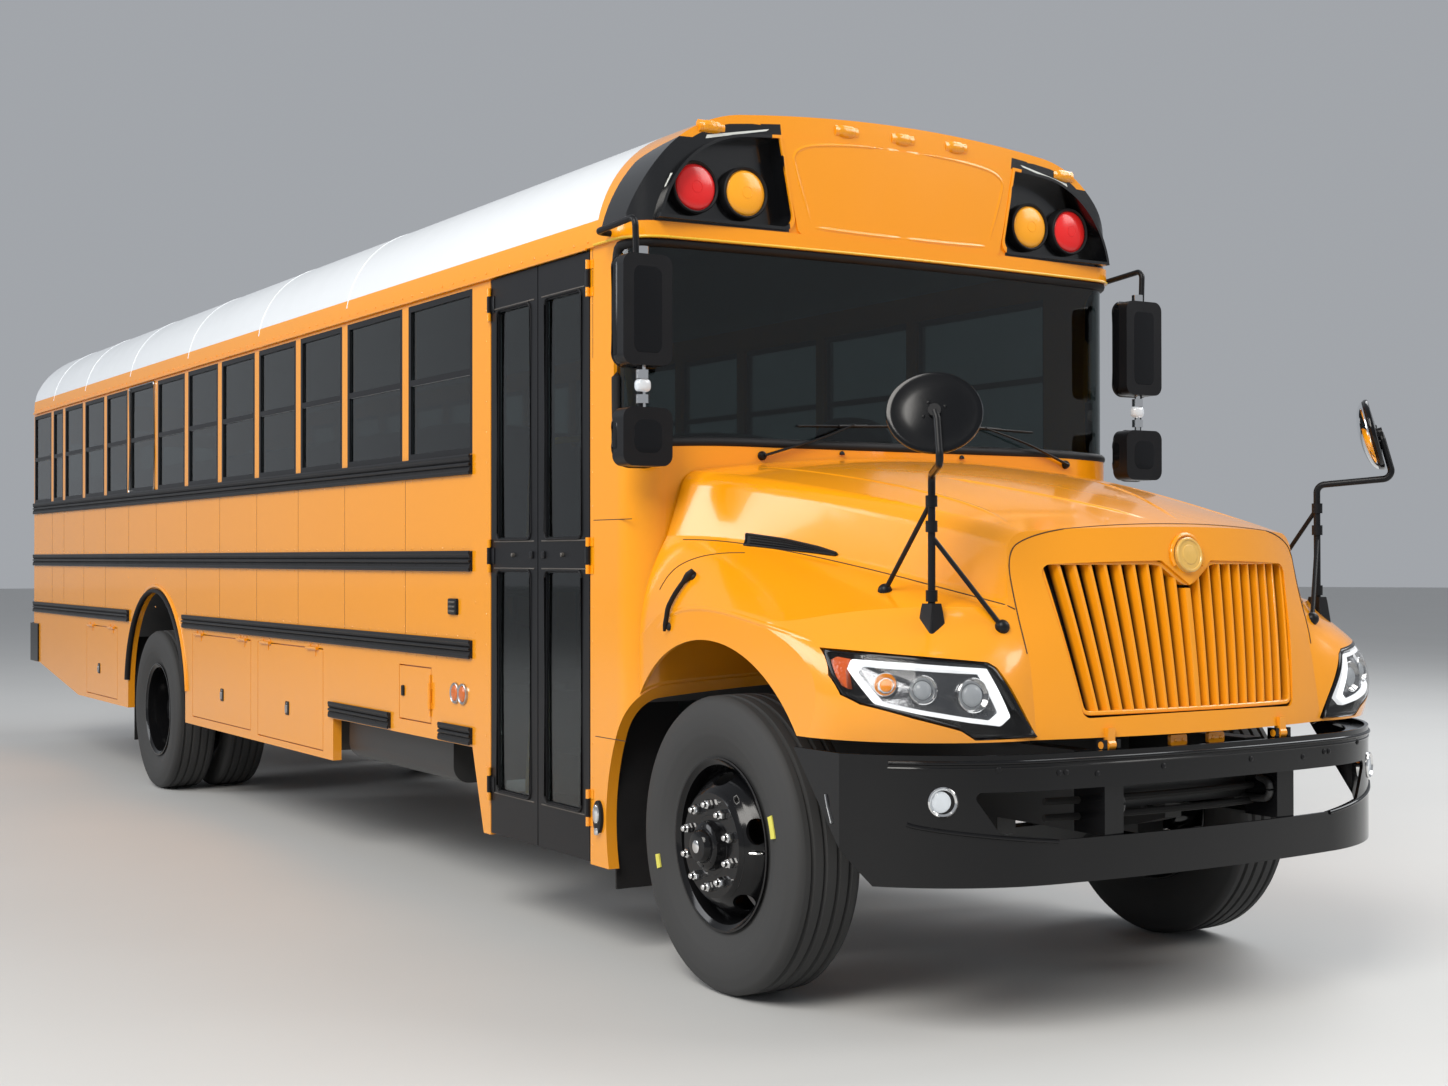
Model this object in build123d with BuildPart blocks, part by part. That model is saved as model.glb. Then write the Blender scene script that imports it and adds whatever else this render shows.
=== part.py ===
"""School bus with a tilting hood, a two leaf entrance door and steered front wheels.

Millimetres. X runs forward, Y to the driver's left and Z up from the road.
The origin lies on the road under the middle of the bus.
"""

import math
import os

from build123d import *

os.makedirs("parts", exist_ok=True)

# Overall sizes
body_width = 2408.0  # over the side panels, without the rub rails
overall_height = 3250.0
wheelbase = 7010.0
front_overhang = 1200.0  # front axle to the face of the front bumper
rear_overhang = 3890.0  # rear axle to the face of the rear bumper

# Body shell
wall = 45.0  # side, rear and front walls with their lining
eave_height = 2714.0  # where the roof bows sit on the walls
roof_crown_rise = 36.0  # from the top of the corner arcs to the crown
roof_rear_rise = 106.0  # upright part of the rear end, above the eave
roof_thickness = 40.0
cowl_setback = 497.0  # front axle back to the corner of the windshield
cowl_bulge = 57.0  # how far the windshield bows forward at the middle
cowl_corner_radius = 140.0
rear_corner_radius = 60.0
rear_bumper_standout = 129.0
cap_length = 300.0
cap_edge_radius = 60.0
rear_wall_depth = 75.0
gap = 0.3  # between pieces that seat on each other
floor_top = 1040.0
floor_thickness = 60.0
rocker_bottom = 343.0  # lower edge beside the entrance
skirt_bottom = 485.0
raised_skirt_bottom = 700.0  # between the first luggage door and the entrance
rear_skirt_bottom = 671.0
skirt_rise_length = 1342.0
skirt_tail_length = 269.0
luggage_front_setback = 3660.0  # front axle back to the first luggage panel

# Wheels and arches
tyre_radius = 521.0
tyre_width = 279.0
tyre_inner_radius = 288.0
rim_flange_radius = 305.0
front_track = 2050.0
twin_spacing = 335.0
rear_outer_track = 2146.0
rim_width = 210.0
rim_gauge = 10.0
hub_radius = 110.0
stud_circle = 285.75
stud_count = 10
front_arch_radius = 715.0
rear_arch_radius = 696.0
rear_arch_centre_height = 607.0

# Side windows
window_sill = 1975.0
window_head_drop = 20.0  # below the eave
window_post = 75.0
wide_bay = 797.0  # the two bays behind the entrance
main_bay = 700.0
rear_bay = 650.0
rear_bay_count = 3
narrow_bay = 404.0
least_last_bay = 500.0
meeting_share = 0.5  # height of the meeting rail within the window
frame_width = 28.0
frame_depth = 25.0
glass_thickness = 5.0

# Entrance door
door_front_setback = 841.0
door_width = 911.0
door_thickness = 40.0
door_gap = 8.0
door_post = 186.0
door_stile = 72.0
door_rail_low = 190.0  # from the door's foot to the lower glass
door_rail_mid_low = 1462.0
door_rail_mid_high = 1606.0
door_head_band = 154.0  # from the eave down to the upper glass
gusset_width = 69.0

# Rear emergency door
rear_door_width = 950.0
rear_door_drop = 114.0  # from the eave down to the door's head
rear_glass_low = 1560.0
rear_glass_drop = 120.0  # from the door's head down to the glass
rear_glass_width = 640.0
rear_side_glass_width = 430.0

# Floor, entrance steps and seats
step_count = 3
step_well_depth = 640.0
sheet = 12.0
seat_pitch = 730.0
bench_width = 960.0
bench_depth = 400.0
bench_height = 430.0
bench_thickness = 110.0
seat_back_height = 1110.0
seat_back_thickness = 75.0

# Frame and running gear
rail_spacing = 864.0
rail_height = 260.0
rail_flange = 80.0
rail_web = 8.0
rail_top = 900.0
frame_setback = 170.0
axle_tube_radius = 60.0
spring_thickness = 40.0
kingpin_inset = 180.0  # tyre's middle in to the steering pivot
kingpin_radius = 22.5
running_clearance = 0.05
spring_width = 80.0
front_spring_length = 1300.0
rear_spring_length = 1500.0

# Hood and fenders
hood_shell = 12.0
grille_top_height = 1512.0
grille_bottom_height = 1018.0
grille_top_half_width = 562.0
grille_bottom_half_width = 478.0
grille_notch_half_width = 114.0
grille_notch_depth = 82.0
grille_corner_radius = 30.0
grille_recess = 8.0  # bars stand this far behind the surround
grille_depth = 45.0
grille_bars = 18
grille_bar_width = 34.0
grille_frame_width = 14.0
hood_gap = 8.0
hood_pivot_setback = 50.0  # behind the bumper's face
hood_pivot_height = 925.0
hood_pin_radius = 12.0
hood_pin_clearance = 0.6
hood_lug_radius = 18.0
hood_lug_width = 30.0
hood_cheek_width = 15.0

# Bumpers
bumper_bottom = 505.0
bumper_top = 912.0
bumper_plate = 10.0
rear_bumper_bottom = 676.0
rear_bumper_top = 987.0
plate_hole_spacing_across = 177.8
plate_hole_spacing_up = 120.65
plate_hole_radius = 3.5
plate_height = 831.5

# Luggage doors, each as far behind the front axle as its front and rear edges
luggage_doors = [
    # name, front, rear, bottom, top
    ("luggage_door_front", 3806.0, 4875.0, 520.0, 1052.0),
    ("luggage_door_middle", 4997.0, 6157.0, 534.0, 1054.0),
    ("luggage_door_rear", 8000.0, 8900.0, 520.0, 1030.0),
]
luggage_depth = 600.0
luggage_wall = 15.0
panel_thickness = 20.0
panel_gap = 6.0  # round a closed door

# Places worked out from the sizes above
half_width = body_width / 2
front_axle_x = (wheelbase + rear_overhang - front_overhang) / 2
rear_axle_x = front_axle_x - wheelbase
nose_x = front_axle_x + front_overhang
tail_x = rear_axle_x - rear_overhang
body_rear_x = tail_x + rear_bumper_standout
cowl_x = front_axle_x - cowl_setback
cowl_middle_x = cowl_x + cowl_bulge
cap_seam_x = cowl_x - cap_length
door_front_x = front_axle_x - door_front_setback
door_rear_x = door_front_x - door_width
wall_front_x = door_rear_x - door_post
luggage_front_x = front_axle_x - luggage_front_setback
rear_wall_x = body_rear_x + rear_wall_depth
floor_bottom = floor_top - floor_thickness
rail_bottom = rail_top - rail_height
rail_outer = rail_spacing / 2
frame_end_x = body_rear_x + wall
frame_front_x = nose_x - frame_setback
wheel_height = tyre_radius
front_wheel_y = front_track / 2
kingpin_y = front_wheel_y - kingpin_inset
hood_pivot_x = nose_x - hood_pivot_setback
hood_pivot_y = rail_outer - rail_flange / 2
hood_pin_half = hood_lug_width / 2 + panel_gap + hood_cheek_width
rear_outer_y = rear_outer_track / 2
rear_inner_y = rear_outer_y - twin_spacing
twin_middle_y = (rear_outer_y + rear_inner_y) / 2
inner_face = half_width - wall
roof_corner_radius = overall_height - eave_height - roof_crown_rise
roof_rear_radius = overall_height - eave_height - roof_rear_rise
window_head = eave_height - window_head_drop
meeting_rail_height = window_sill + meeting_share * (window_head - window_sill)
door_glass_head = eave_height - door_head_band
rear_door_head = eave_height - rear_door_drop
rear_glass_high = rear_door_head - rear_glass_drop


def block(x0, x1, y0, y1, z0, z1, mode=Mode.ADD):
    """Add or cut a box between two opposite corners."""
    with Locations(((x0 + x1) / 2, (y0 + y1) / 2, (z0 + z1) / 2)):
        Box(x1 - x0, y1 - y0, z1 - z0, mode=mode)


def across(y):
    """Upright plane along the bus, at a distance y from its middle."""
    return Plane.XZ.offset(-y)


def bow_face(inset):
    """Roof section from eave to eave: two corner arcs and a shallow crown."""
    side = half_width - inset
    corner = roof_corner_radius - inset
    middle = half_width - roof_corner_radius
    rise = overall_height - eave_height
    crown_radius = (middle**2 + rise**2 - roof_corner_radius**2) / (2 * (rise - roof_corner_radius))
    crown_z = overall_height - crown_radius
    lean = math.asin(middle / (crown_radius - roof_corner_radius))
    half = math.radians(45) + lean / 2
    join_y = middle + corner * math.sin(lean)
    join_z = eave_height + corner * math.cos(lean)
    bend_y = middle + corner * math.sin(half)
    bend_z = eave_height + corner * math.cos(half)
    with BuildSketch(Plane.YZ.offset(body_rear_x + inset), mode=Mode.PRIVATE) as section:
        with BuildLine():
            ThreePointArc((-side, eave_height), (-bend_y, bend_z), (-join_y, join_z))
            ThreePointArc((-join_y, join_z), (0, crown_z + crown_radius - inset), (join_y, join_z))
            ThreePointArc((join_y, join_z), (bend_y, bend_z), (side, eave_height))
            Line((side, eave_height), (-side, eave_height))
        make_face()
    return section


def cabin_plan(inset, height):
    """Body outline seen from above: bowed windshield end and rounded corners."""
    side = half_width - inset
    rear = body_rear_x + inset
    front = cowl_x - inset
    with BuildSketch(Plane.XY.offset(height), mode=Mode.PRIVATE) as plan:
        with BuildLine():
            Line((rear, -side), (front, -side))
            ThreePointArc((front, -side), (front + cowl_bulge, 0), (front, side))
            Line((front, side), (rear, side))
            Line((rear, side), (rear, -side))
        make_face()
        fillet(plan.vertices().group_by(Axis.X)[-1], max(cowl_corner_radius - inset, 5))
        fillet(plan.vertices().group_by(Axis.X)[0], max(rear_corner_radius - inset, 5))
    return plan


def shell_ring(bottom, top):
    """Wall of the body all round, between two heights."""
    extrude(cabin_plan(0, bottom).sketch, amount=top - bottom)
    extrude(cabin_plan(wall, bottom).sketch, amount=top - bottom, mode=Mode.SUBTRACT)


def roof_form(inset):
    """Closed roof form, its rear end rounded down to the rear wall."""
    length = cowl_x + cowl_bulge - body_rear_x - 2 * inset
    rise = overall_height - eave_height - inset
    with BuildPart(mode=Mode.PRIVATE) as form:
        extrude(bow_face(inset).sketch, amount=length)
        with BuildSketch(across(-half_width), mode=Mode.PRIVATE) as side:
            with Locations((body_rear_x + inset, eave_height)):
                Rectangle(length, rise, align=(Align.MIN, Align.MIN))
            top_corners = side.vertices().group_by(Axis.Y)[-1].sort_by(Axis.X)
            fillet(top_corners[0], roof_rear_radius - inset)
            fillet(top_corners[-1], max(cap_edge_radius - inset, 5))
        extrude(side.sketch, amount=body_width, dir=(0, 1, 0), mode=Mode.INTERSECT)
        extrude(cabin_plan(inset, eave_height).sketch, amount=rise, mode=Mode.INTERSECT)
    return form.part


def side_panel(outline, y0, y1, mode=Mode.ADD):
    """Plate across the bus from a closed outline of (x, z) points."""
    with BuildSketch(across(y0), mode=Mode.PRIVATE) as panel:
        Polygon(*outline, align=None)
    extrude(panel.sketch, amount=y1 - y0, dir=(0, 1, 0), mode=mode)


def rod(x, y, z, radius, length, direction, mode=Mode.ADD):
    """Round bar or bore from a point along a direction."""
    with BuildSketch(Plane(origin=(x, y, z), z_dir=direction), mode=Mode.PRIVATE) as section:
        Circle(radius)
    extrude(section.sketch, amount=length, mode=mode)


def tube_path(points, radius, bend, mode=Mode.ADD):
    """Round bar bent through a list of points."""
    with BuildLine(mode=Mode.PRIVATE) as path:
        FilletPolyline(*points, radius=bend)
    with BuildSketch(Plane(origin=path.line @ 0, z_dir=path.line % 0), mode=Mode.PRIVATE) as section:
        Circle(radius)
    sweep(section.sketch, path=path.line, mode=mode)


# Frame: two channel rails and their crossmembers
crossmember_width = 80.0
crossmember_places = [
    # rear face
    frame_end_x,
    rear_axle_x - 1300,
    rear_axle_x - 760,
    rear_axle_x + 820,
    rear_axle_x + 2600,
    front_axle_x - 1300,
    frame_front_x - crossmember_width,
]
with BuildPart() as frame_rails:
    for side in (-1, 1):
        web = sorted((side * rail_outer, side * (rail_outer - rail_web)))
        flange = sorted((side * rail_outer, side * (rail_outer - rail_flange)))
        block(frame_end_x, frame_front_x, *web, rail_bottom, rail_top)
        block(frame_end_x, frame_front_x, *flange, rail_bottom, rail_bottom + rail_web)
        block(frame_end_x, frame_front_x, *flange, rail_top - rail_web, rail_top)
    for cross_x in crossmember_places:
        block(
            cross_x, cross_x + crossmember_width, rail_web - rail_outer, rail_outer - rail_web,
            rail_bottom + 60, rail_top - 60,
        )
frame_rails.part.label = "frame_rails"
export_step(frame_rails.part, "parts/frame_rails.step")

# Front axle: dropped beam with an eye at each end for the steering pivot
beam_depth = 90.0
beam_drop = 80.0
eye_radius = 50.0
eye_height = 120.0
with BuildPart() as front_axle:
    beam_end = wheel_height - beam_depth / 2
    half_beam = [
        (kingpin_y, beam_end),
        (rail_outer + 190, beam_end),
        (rail_outer + 20, beam_end - beam_drop),
    ]
    lower = [(-y, z) for y, z in half_beam] + half_beam[::-1]
    outline = lower + [(y, z + beam_depth) for y, z in lower[::-1]]
    with BuildSketch(Plane.YZ.offset(front_axle_x - 45)):
        Polygon(*outline, align=None)
    extrude(amount=90)
    for side in (-1, 1):
        rod(front_axle_x, side * kingpin_y, wheel_height - eye_height / 2, eye_radius, eye_height, (0, 0, 1))
        rod(
            front_axle_x,
            side * kingpin_y,
            wheel_height - eye_height / 2,
            kingpin_radius + running_clearance,
            eye_height,
            (0, 0, 1),
            mode=Mode.SUBTRACT,
        )
front_axle.part.label = "front_axle"
export_step(front_axle.part, "parts/front_axle.step")

# Rear axle: tube, differential housing and the driveshaft that turns it
drive_height = wheel_height + 60
with BuildPart() as rear_axle:
    rod(rear_axle_x, -rear_outer_y - 20, wheel_height, axle_tube_radius, 2 * rear_outer_y + 40, (0, 1, 0))
    with Locations((rear_axle_x, 0, wheel_height)):
        Sphere(210)
    rod(rear_axle_x, 0, drive_height, 45, front_axle_x - 700 - rear_axle_x, (1, 0, 0))
rear_axle.part.label = "rear_axle"
export_step(rear_axle.part, "parts/rear_axle.step")

# Leaf springs: a bowed pack under each rail with its two hangers
spring_y = rail_outer - spring_width / 2
spring_places = [
    # axle place, half length, seat height, end height
    (
        front_axle_x, front_spring_length / 2,
        wheel_height + beam_depth / 2 - beam_drop, rail_bottom - 60,
    ),
    (
        rear_axle_x, rear_spring_length / 2,
        wheel_height + axle_tube_radius + gap, rail_bottom - spring_thickness,
    ),
]
with BuildPart() as leaf_springs:
    for axle_x, half, seat, end in spring_places:
        for side in (-1, 1):
            with BuildSketch(across(side * spring_y - spring_width / 2)) as pack:
                with BuildLine():
                    ThreePointArc((axle_x - half, end), (axle_x, seat), (axle_x + half, end))
                    Line((axle_x + half, end), (axle_x + half, rail_bottom))
                    Line((axle_x + half, rail_bottom), (axle_x + half - 60, rail_bottom))
                    Line((axle_x + half - 60, rail_bottom), (axle_x + half - 60, end + spring_thickness * 0.8))
                    ThreePointArc(
                        (axle_x + half - 60, end + spring_thickness * 0.8),
                        (axle_x, seat + spring_thickness),
                        (axle_x - half + 60, end + spring_thickness * 0.8),
                    )
                    Line((axle_x - half + 60, end + spring_thickness * 0.8), (axle_x - half + 60, rail_bottom))
                    Line((axle_x - half + 60, rail_bottom), (axle_x - half, rail_bottom))
                    Line((axle_x - half, rail_bottom), (axle_x - half, end))
                make_face()
            extrude(pack.sketch, amount=spring_width, dir=(0, 1, 0))
leaf_springs.part.label = "leaf_springs"
export_step(leaf_springs.part, "parts/leaf_springs.step")

# Engine: one plain block between the rails with its four mounts
engine_width = 600.0
engine_bottom = 620.0
engine_top = 1450.0
with BuildPart() as engine:
    block(
        cowl_middle_x + 115, front_axle_x + 520,
        -engine_width / 2, engine_width / 2, engine_bottom, engine_top,
    )
    for mount_x in (front_axle_x - 350, front_axle_x + 300):
        inner = rail_outer - rail_web
        block(mount_x, mount_x + 80, -inner, inner, rail_bottom + 60, rail_top - 60)
engine.part.label = "engine"
export_step(engine.part, "parts/engine.step")

# Radiator: core standing on the rails behind the grille
radiator_width = 960.0
radiator_top = 1400.0
with BuildPart() as radiator:
    block(
        front_axle_x + 640, front_axle_x + 700,
        -radiator_width / 2, radiator_width / 2, rail_top, radiator_top,
    )
radiator.part.label = "radiator"
export_step(radiator.part, "parts/radiator.step")

# Fuel tank hung on the right rail ahead of the first luggage box
tank_bottom = 500.0
with BuildPart() as fuel_tank:
    block(luggage_front_x + 60, wall_front_x - 350, -inner_face + 20, -rail_outer, tank_bottom, rail_top)
    fillet(fuel_tank.edges().filter_by(Axis.X).sort_by(Axis.Y)[:2], 80)
fuel_tank.part.label = "fuel_tank"
export_step(fuel_tank.part, "parts/fuel_tank.step")

# Exhaust on the left rail: muffler, tailpipe and hangers
pipe_radius = 45.0
pipe_y = rail_outer + 75
pipe_height = 650.0
muffler_radius = 110.0
with BuildPart() as exhaust:
    rod(luggage_front_x, rail_outer + muffler_radius + 15, 620, muffler_radius, 1100, (1, 0, 0))
    rod(body_rear_x + 90, pipe_y, pipe_height, pipe_radius, luggage_front_x - body_rear_x, (1, 0, 0))
    for hanger_x in (luggage_front_x + 200, luggage_front_x - 1500, rear_axle_x - 900, rear_axle_x - 2600):
        block(hanger_x, hanger_x + 40, rail_outer, pipe_y, pipe_height, pipe_height + 40)
exhaust.part.label = "exhaust"
export_step(exhaust.part, "parts/exhaust.step")

# Floor: deck, rear wheel housings and the entrance steps
well_front_x = door_front_x
well_rear_x = door_rear_x
step_rise = (floor_top - rocker_bottom) / (step_count + 1)
tread = step_well_depth / step_count
housing_inner_y = rear_inner_y - tyre_width / 2 - 40
floor_front_x = front_axle_x - front_arch_radius
sill_count = 14
sill_width = 50.0
sill_reach = inner_face - luggage_depth - 20
with BuildPart() as floor:
    extrude(cabin_plan(wall, floor_bottom).sketch, amount=floor_thickness)
    for side in (-1, 1):
        near = min(side * housing_inner_y, side * inner_face)
        with BuildSketch(across(near)) as housing:
            with Locations((rear_axle_x, rear_arch_centre_height)):
                Circle(rear_arch_radius + sheet)
            with Locations((rear_axle_x, floor_bottom)):
                Rectangle(
                    2 * rear_arch_radius + 100,
                    2 * rear_arch_radius,
                    align=(Align.CENTER, Align.MIN),
                    mode=Mode.INTERSECT,
                )
        extrude(housing.sketch, amount=inner_face - housing_inner_y, dir=(0, 1, 0))
    for side in (-1, 1):
        near = min(side * (housing_inner_y + sheet), side * inner_face)
        rod(
            rear_axle_x,
            near,
            rear_arch_centre_height,
            rear_arch_radius,
            inner_face - housing_inner_y - sheet,
            (0, 1, 0),
            mode=Mode.SUBTRACT,
        )
    rod(front_axle_x, -half_width, wheel_height, front_arch_radius, body_width, (0, 1, 0), mode=Mode.SUBTRACT)
    well_inner_y = inner_face - step_well_depth
    block(well_rear_x, well_front_x, -inner_face, -well_inner_y, floor_bottom, floor_top, mode=Mode.SUBTRACT)
    for step in range(1, step_count + 1):
        height = floor_top - step * step_rise
        edge = well_inner_y + (step - 1) * tread
        block(well_rear_x, well_front_x, -edge - tread, -edge, height - sheet, height)
        block(well_rear_x, well_front_x, -edge, -edge + sheet, height - sheet, height + step_rise)
floor.part.label = "floor"
export_step(floor.part, "parts/floor.step")
with BuildPart() as floor_sills:
    sill_span = floor_front_x - rear_wall_x
    for sill in range(sill_count):
        sill_x = rear_wall_x + 60 + sill * (sill_span - 200) / (sill_count - 1)
        block(sill_x, sill_x + sill_width, -sill_reach, sill_reach, rail_top, floor_bottom)
    block(
        well_rear_x, well_front_x, -inner_face, sheet - well_inner_y, rail_top, floor_bottom,
        mode=Mode.SUBTRACT,
    )
floor_sills.part.label = "floor_sills"
export_step(floor_sills.part, "parts/floor_sills.step")

# Side walls: skirt line, rear arch, windows and the recesses of the outside doors
window_start_x = wall_front_x + window_post / 2
window_end_x = body_rear_x + window_post / 2
fixed_bays = [wide_bay] * 2 + [rear_bay] * rear_bay_count + [narrow_bay]
spare_length = window_start_x - window_end_x - sum(fixed_bays)
main_count = int((spare_length - least_last_bay) // main_bay)
last_bay = spare_length - main_count * main_bay
bays = [wide_bay] * 2 + [main_bay] * main_count + [rear_bay] * rear_bay_count + [narrow_bay, last_bay]
window_spans = []
bay_front = window_start_x
for bay in bays:
    window_spans.append((bay_front - bay + window_post / 2, bay_front - window_post / 2))
    bay_front = bay_front - bay
driver_window = (wall_front_x + window_post, door_front_x - window_post)
below = rocker_bottom - 10


def luggage_span(front, rear):
    """Ends of an outside door along the bus."""
    return front_axle_x - rear, front_axle_x - front


def wall_cuts(side, near, front_x):
    """Cut the skirt line, the arch and the windows out of one side wall."""
    far = near + wall
    skirt = [
        (rear_wall_x - 1, below),
        (rear_wall_x - 1, rear_skirt_bottom),
        (body_rear_x + skirt_tail_length, rear_skirt_bottom),
        (body_rear_x + skirt_tail_length + skirt_rise_length, skirt_bottom),
        (luggage_front_x, skirt_bottom),
        (luggage_front_x, raised_skirt_bottom),
    ]
    if side < 0:
        skirt = skirt + [(wall_front_x, raised_skirt_bottom), (front_x - gusset_width, rocker_bottom)]
    else:
        skirt = skirt + [(front_x, raised_skirt_bottom)]
    skirt = skirt + [(front_x, rocker_bottom), (front_x, below)]
    side_panel(skirt, near, far, mode=Mode.SUBTRACT)
    rod(rear_axle_x, near, rear_arch_centre_height, rear_arch_radius, wall, (0, 1, 0), mode=Mode.SUBTRACT)
    arch = rear_arch_radius
    block(
        rear_axle_x - arch, rear_axle_x + arch, near, far, below, rear_arch_centre_height, mode=Mode.SUBTRACT
    )
    for rear, front in window_spans:
        block(rear, front, near, far, window_sill, window_head, mode=Mode.SUBTRACT)


hinge_radius = 9.0
hinge_strap = 3.0


def hinge(place, length, reach, moving):
    """Half of a hinge: the leaf's barrel, or the two lugs that hold it, each with a strap.

    The place has its Z along the pin, X towards the leaf and Y out of the panel.
    """
    with Locations(place):
        if moving:
            with Locations((0, hinge_radius, 0)):
                Cylinder(hinge_radius, length)
            with Locations((reach / 2, hinge_strap / 2, 0)):
                Box(reach, hinge_strap, length)
        else:
            for end in (-1, 1):
                middle = end * (length * 0.75 + gap)
                with Locations((0, hinge_radius, middle)):
                    Cylinder(hinge_radius, length / 2)
                with Locations((-reach / 2, hinge_strap / 2, middle)):
                    Box(reach, hinge_strap, length / 2)


def upright_hinge(x, y, z, toward_x, out_y):
    """Place of a hinge with an upright pin on a side panel."""
    return Plane(origin=(x, y, z), x_dir=(toward_x, 0, 0), z_dir=(0, 0, toward_x * out_y))


def level_hinge(x, y, z, out_y):
    """Place of a hinge with a level pin along the top of a panel."""
    return Plane(origin=(x, y, z), x_dir=(0, 0, -1), z_dir=(out_y, 0, 0))


hatch_front_setback = 2389.0
hatch_rear_setback = 2773.0
hatch_bottom = 765.0
hatch_top = 1023.0
hatch_rear_x, hatch_front_x = luggage_span(hatch_front_setback, hatch_rear_setback)
door_hinge_heights = [560.0, 1530.0, door_glass_head + 40]
hatch_hinge_height = (hatch_bottom + hatch_top) / 2
luggage_lip = 25.0
hatch_hinge = upright_hinge(
    hatch_front_x - panel_gap / 2, -half_width, hatch_hinge_height, -1, -1
)

with BuildPart() as right_wall:
    block(rear_wall_x, door_rear_x, -half_width, -inner_face, rocker_bottom, eave_height)
    wall_cuts(-1, -half_width, door_rear_x)
    for name, front, rear, bottom, top in luggage_doors:
        rear_x, front_x = luggage_span(front, rear)
        recess = -half_width + panel_thickness
        block(rear_x, front_x, -half_width, recess, bottom, top, mode=Mode.SUBTRACT)
        block(
            rear_x + luggage_lip,
            front_x - luggage_lip,
            recess,
            -inner_face,
            bottom + luggage_lip,
            floor_bottom - luggage_lip,
            mode=Mode.SUBTRACT,
        )
        for hinge_x in (rear_x + 150, front_x - 150):
            hinge(level_hinge(hinge_x, -half_width, top - panel_gap / 2, -1), 80, 22, moving=False)
    block(
        hatch_rear_x, hatch_front_x, -half_width, -half_width + panel_thickness, hatch_bottom, hatch_top,
        mode=Mode.SUBTRACT,
    )
    block(
        hatch_rear_x + 60, hatch_front_x - 60, -half_width + panel_thickness, -inner_face,
        hatch_bottom + 40, hatch_top - 60, mode=Mode.SUBTRACT,
    )
    hinge(hatch_hinge, 60, 22, moving=False)
    for hinge_z in door_hinge_heights:
        place = upright_hinge(door_rear_x + door_gap / 2, -half_width, hinge_z, 1, -1)
        hinge(place, 70, 30, moving=False)
right_wall.part.label = "right_wall"
export_step(right_wall.part, "parts/right_wall.step")

stop_arm_setback = 1120.0
stop_arm_x = front_axle_x - stop_arm_setback
stop_arm_height = 1720.0
with BuildPart() as left_wall:
    block(rear_wall_x, door_front_x, inner_face, half_width, rocker_bottom, eave_height)
    wall_cuts(1, inner_face, door_front_x)
    block(*driver_window, inner_face, half_width, window_sill, window_head, mode=Mode.SUBTRACT)
    hinge(upright_hinge(stop_arm_x, half_width, stop_arm_height, -1, 1), 120, 40, moving=False)
left_wall.part.label = "left_wall"
export_step(left_wall.part, "parts/left_wall.step")

# Rear wall with its doorway and two fixed windows
rear_window_y = (rear_door_width / 2 + inner_face) / 2
rear_hinge_y = -rear_door_width / 2
rear_hinge_heights = [1250.0, 1800.0, rear_glass_high - 130]


def rear_hinge(z):
    """Place of a hinge with an upright pin on the rear wall."""
    return Plane(origin=(body_rear_x, rear_hinge_y + panel_gap / 2, z), x_dir=(0, 1, 0), z_dir=(0, 0, 1))


with BuildPart() as rear_wall:
    shell_ring(rear_skirt_bottom, eave_height)
    block(
        rear_wall_x, nose_x, -half_width, half_width, rear_skirt_bottom, eave_height, mode=Mode.SUBTRACT
    )
    half_door = rear_door_width / 2
    block(body_rear_x, rear_wall_x, -half_door, half_door, floor_top, rear_door_head, mode=Mode.SUBTRACT)
    for side in (-1, 1):
        near = side * rear_window_y - rear_side_glass_width / 2
        block(
            body_rear_x, rear_wall_x, near, near + rear_side_glass_width, rear_glass_low, rear_glass_high,
            mode=Mode.SUBTRACT,
        )
    for hinge_z in rear_hinge_heights:
        hinge(rear_hinge(hinge_z), 80, 40, moving=False)
rear_wall.part.label = "rear_wall"
export_step(rear_wall.part, "parts/rear_wall.step")

# Rear emergency door, hinged on the right, with one large window
with BuildPart() as rear_door:
    block(
        body_rear_x, body_rear_x + wall, panel_gap - half_door, half_door - panel_gap,
        floor_top + panel_gap, rear_door_head - panel_gap,
    )
    block(
        body_rear_x, body_rear_x + wall, -rear_glass_width / 2, rear_glass_width / 2,
        rear_glass_low, rear_glass_high, mode=Mode.SUBTRACT,
    )
    for hinge_z in rear_hinge_heights:
        hinge(rear_hinge(hinge_z), 80, 40, moving=True)
rear_door.part.label = "rear_door"
export_step(rear_door.part, "parts/rear_door.step")
with BuildPart() as rear_door_glass:
    half_glass = rear_glass_width / 2 - gap
    block(
        body_rear_x + 20, body_rear_x + 20 + glass_thickness, -half_glass, half_glass,
        rear_glass_low + gap, rear_glass_high - gap,
    )
rear_door_glass.part.label = "rear_door_glass"
export_step(rear_door_glass.part, "parts/rear_door_glass.step")

# Luggage doors with their top hinges, and the boxes behind them
for name, front, rear, bottom, top in luggage_doors:
    rear_x, front_x = luggage_span(front, rear)
    with BuildPart() as luggage_door:
        block(
            rear_x + panel_gap, front_x - panel_gap, -half_width, -half_width + panel_thickness - gap,
            bottom + panel_gap, top - panel_gap,
        )
        for hinge_x in (rear_x + 150, front_x - 150):
            hinge(level_hinge(hinge_x, -half_width, top - panel_gap / 2, -1), 80, 40, moving=True)
    luggage_door.part.label = name
    export_step(luggage_door.part, f"parts/{name}.step")
with BuildPart() as luggage_boxes:
    for name, front, rear, bottom, top in luggage_doors:
        rear_x, front_x = luggage_span(front, rear)
        deep = -inner_face + luggage_depth
        block(rear_x, front_x, -inner_face, deep, bottom, floor_bottom)
        block(
            rear_x + luggage_wall, front_x - luggage_wall, -inner_face, deep - luggage_wall,
            bottom + luggage_wall, floor_bottom - luggage_wall, mode=Mode.SUBTRACT,
        )
luggage_boxes.part.label = "luggage_boxes"
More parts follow.
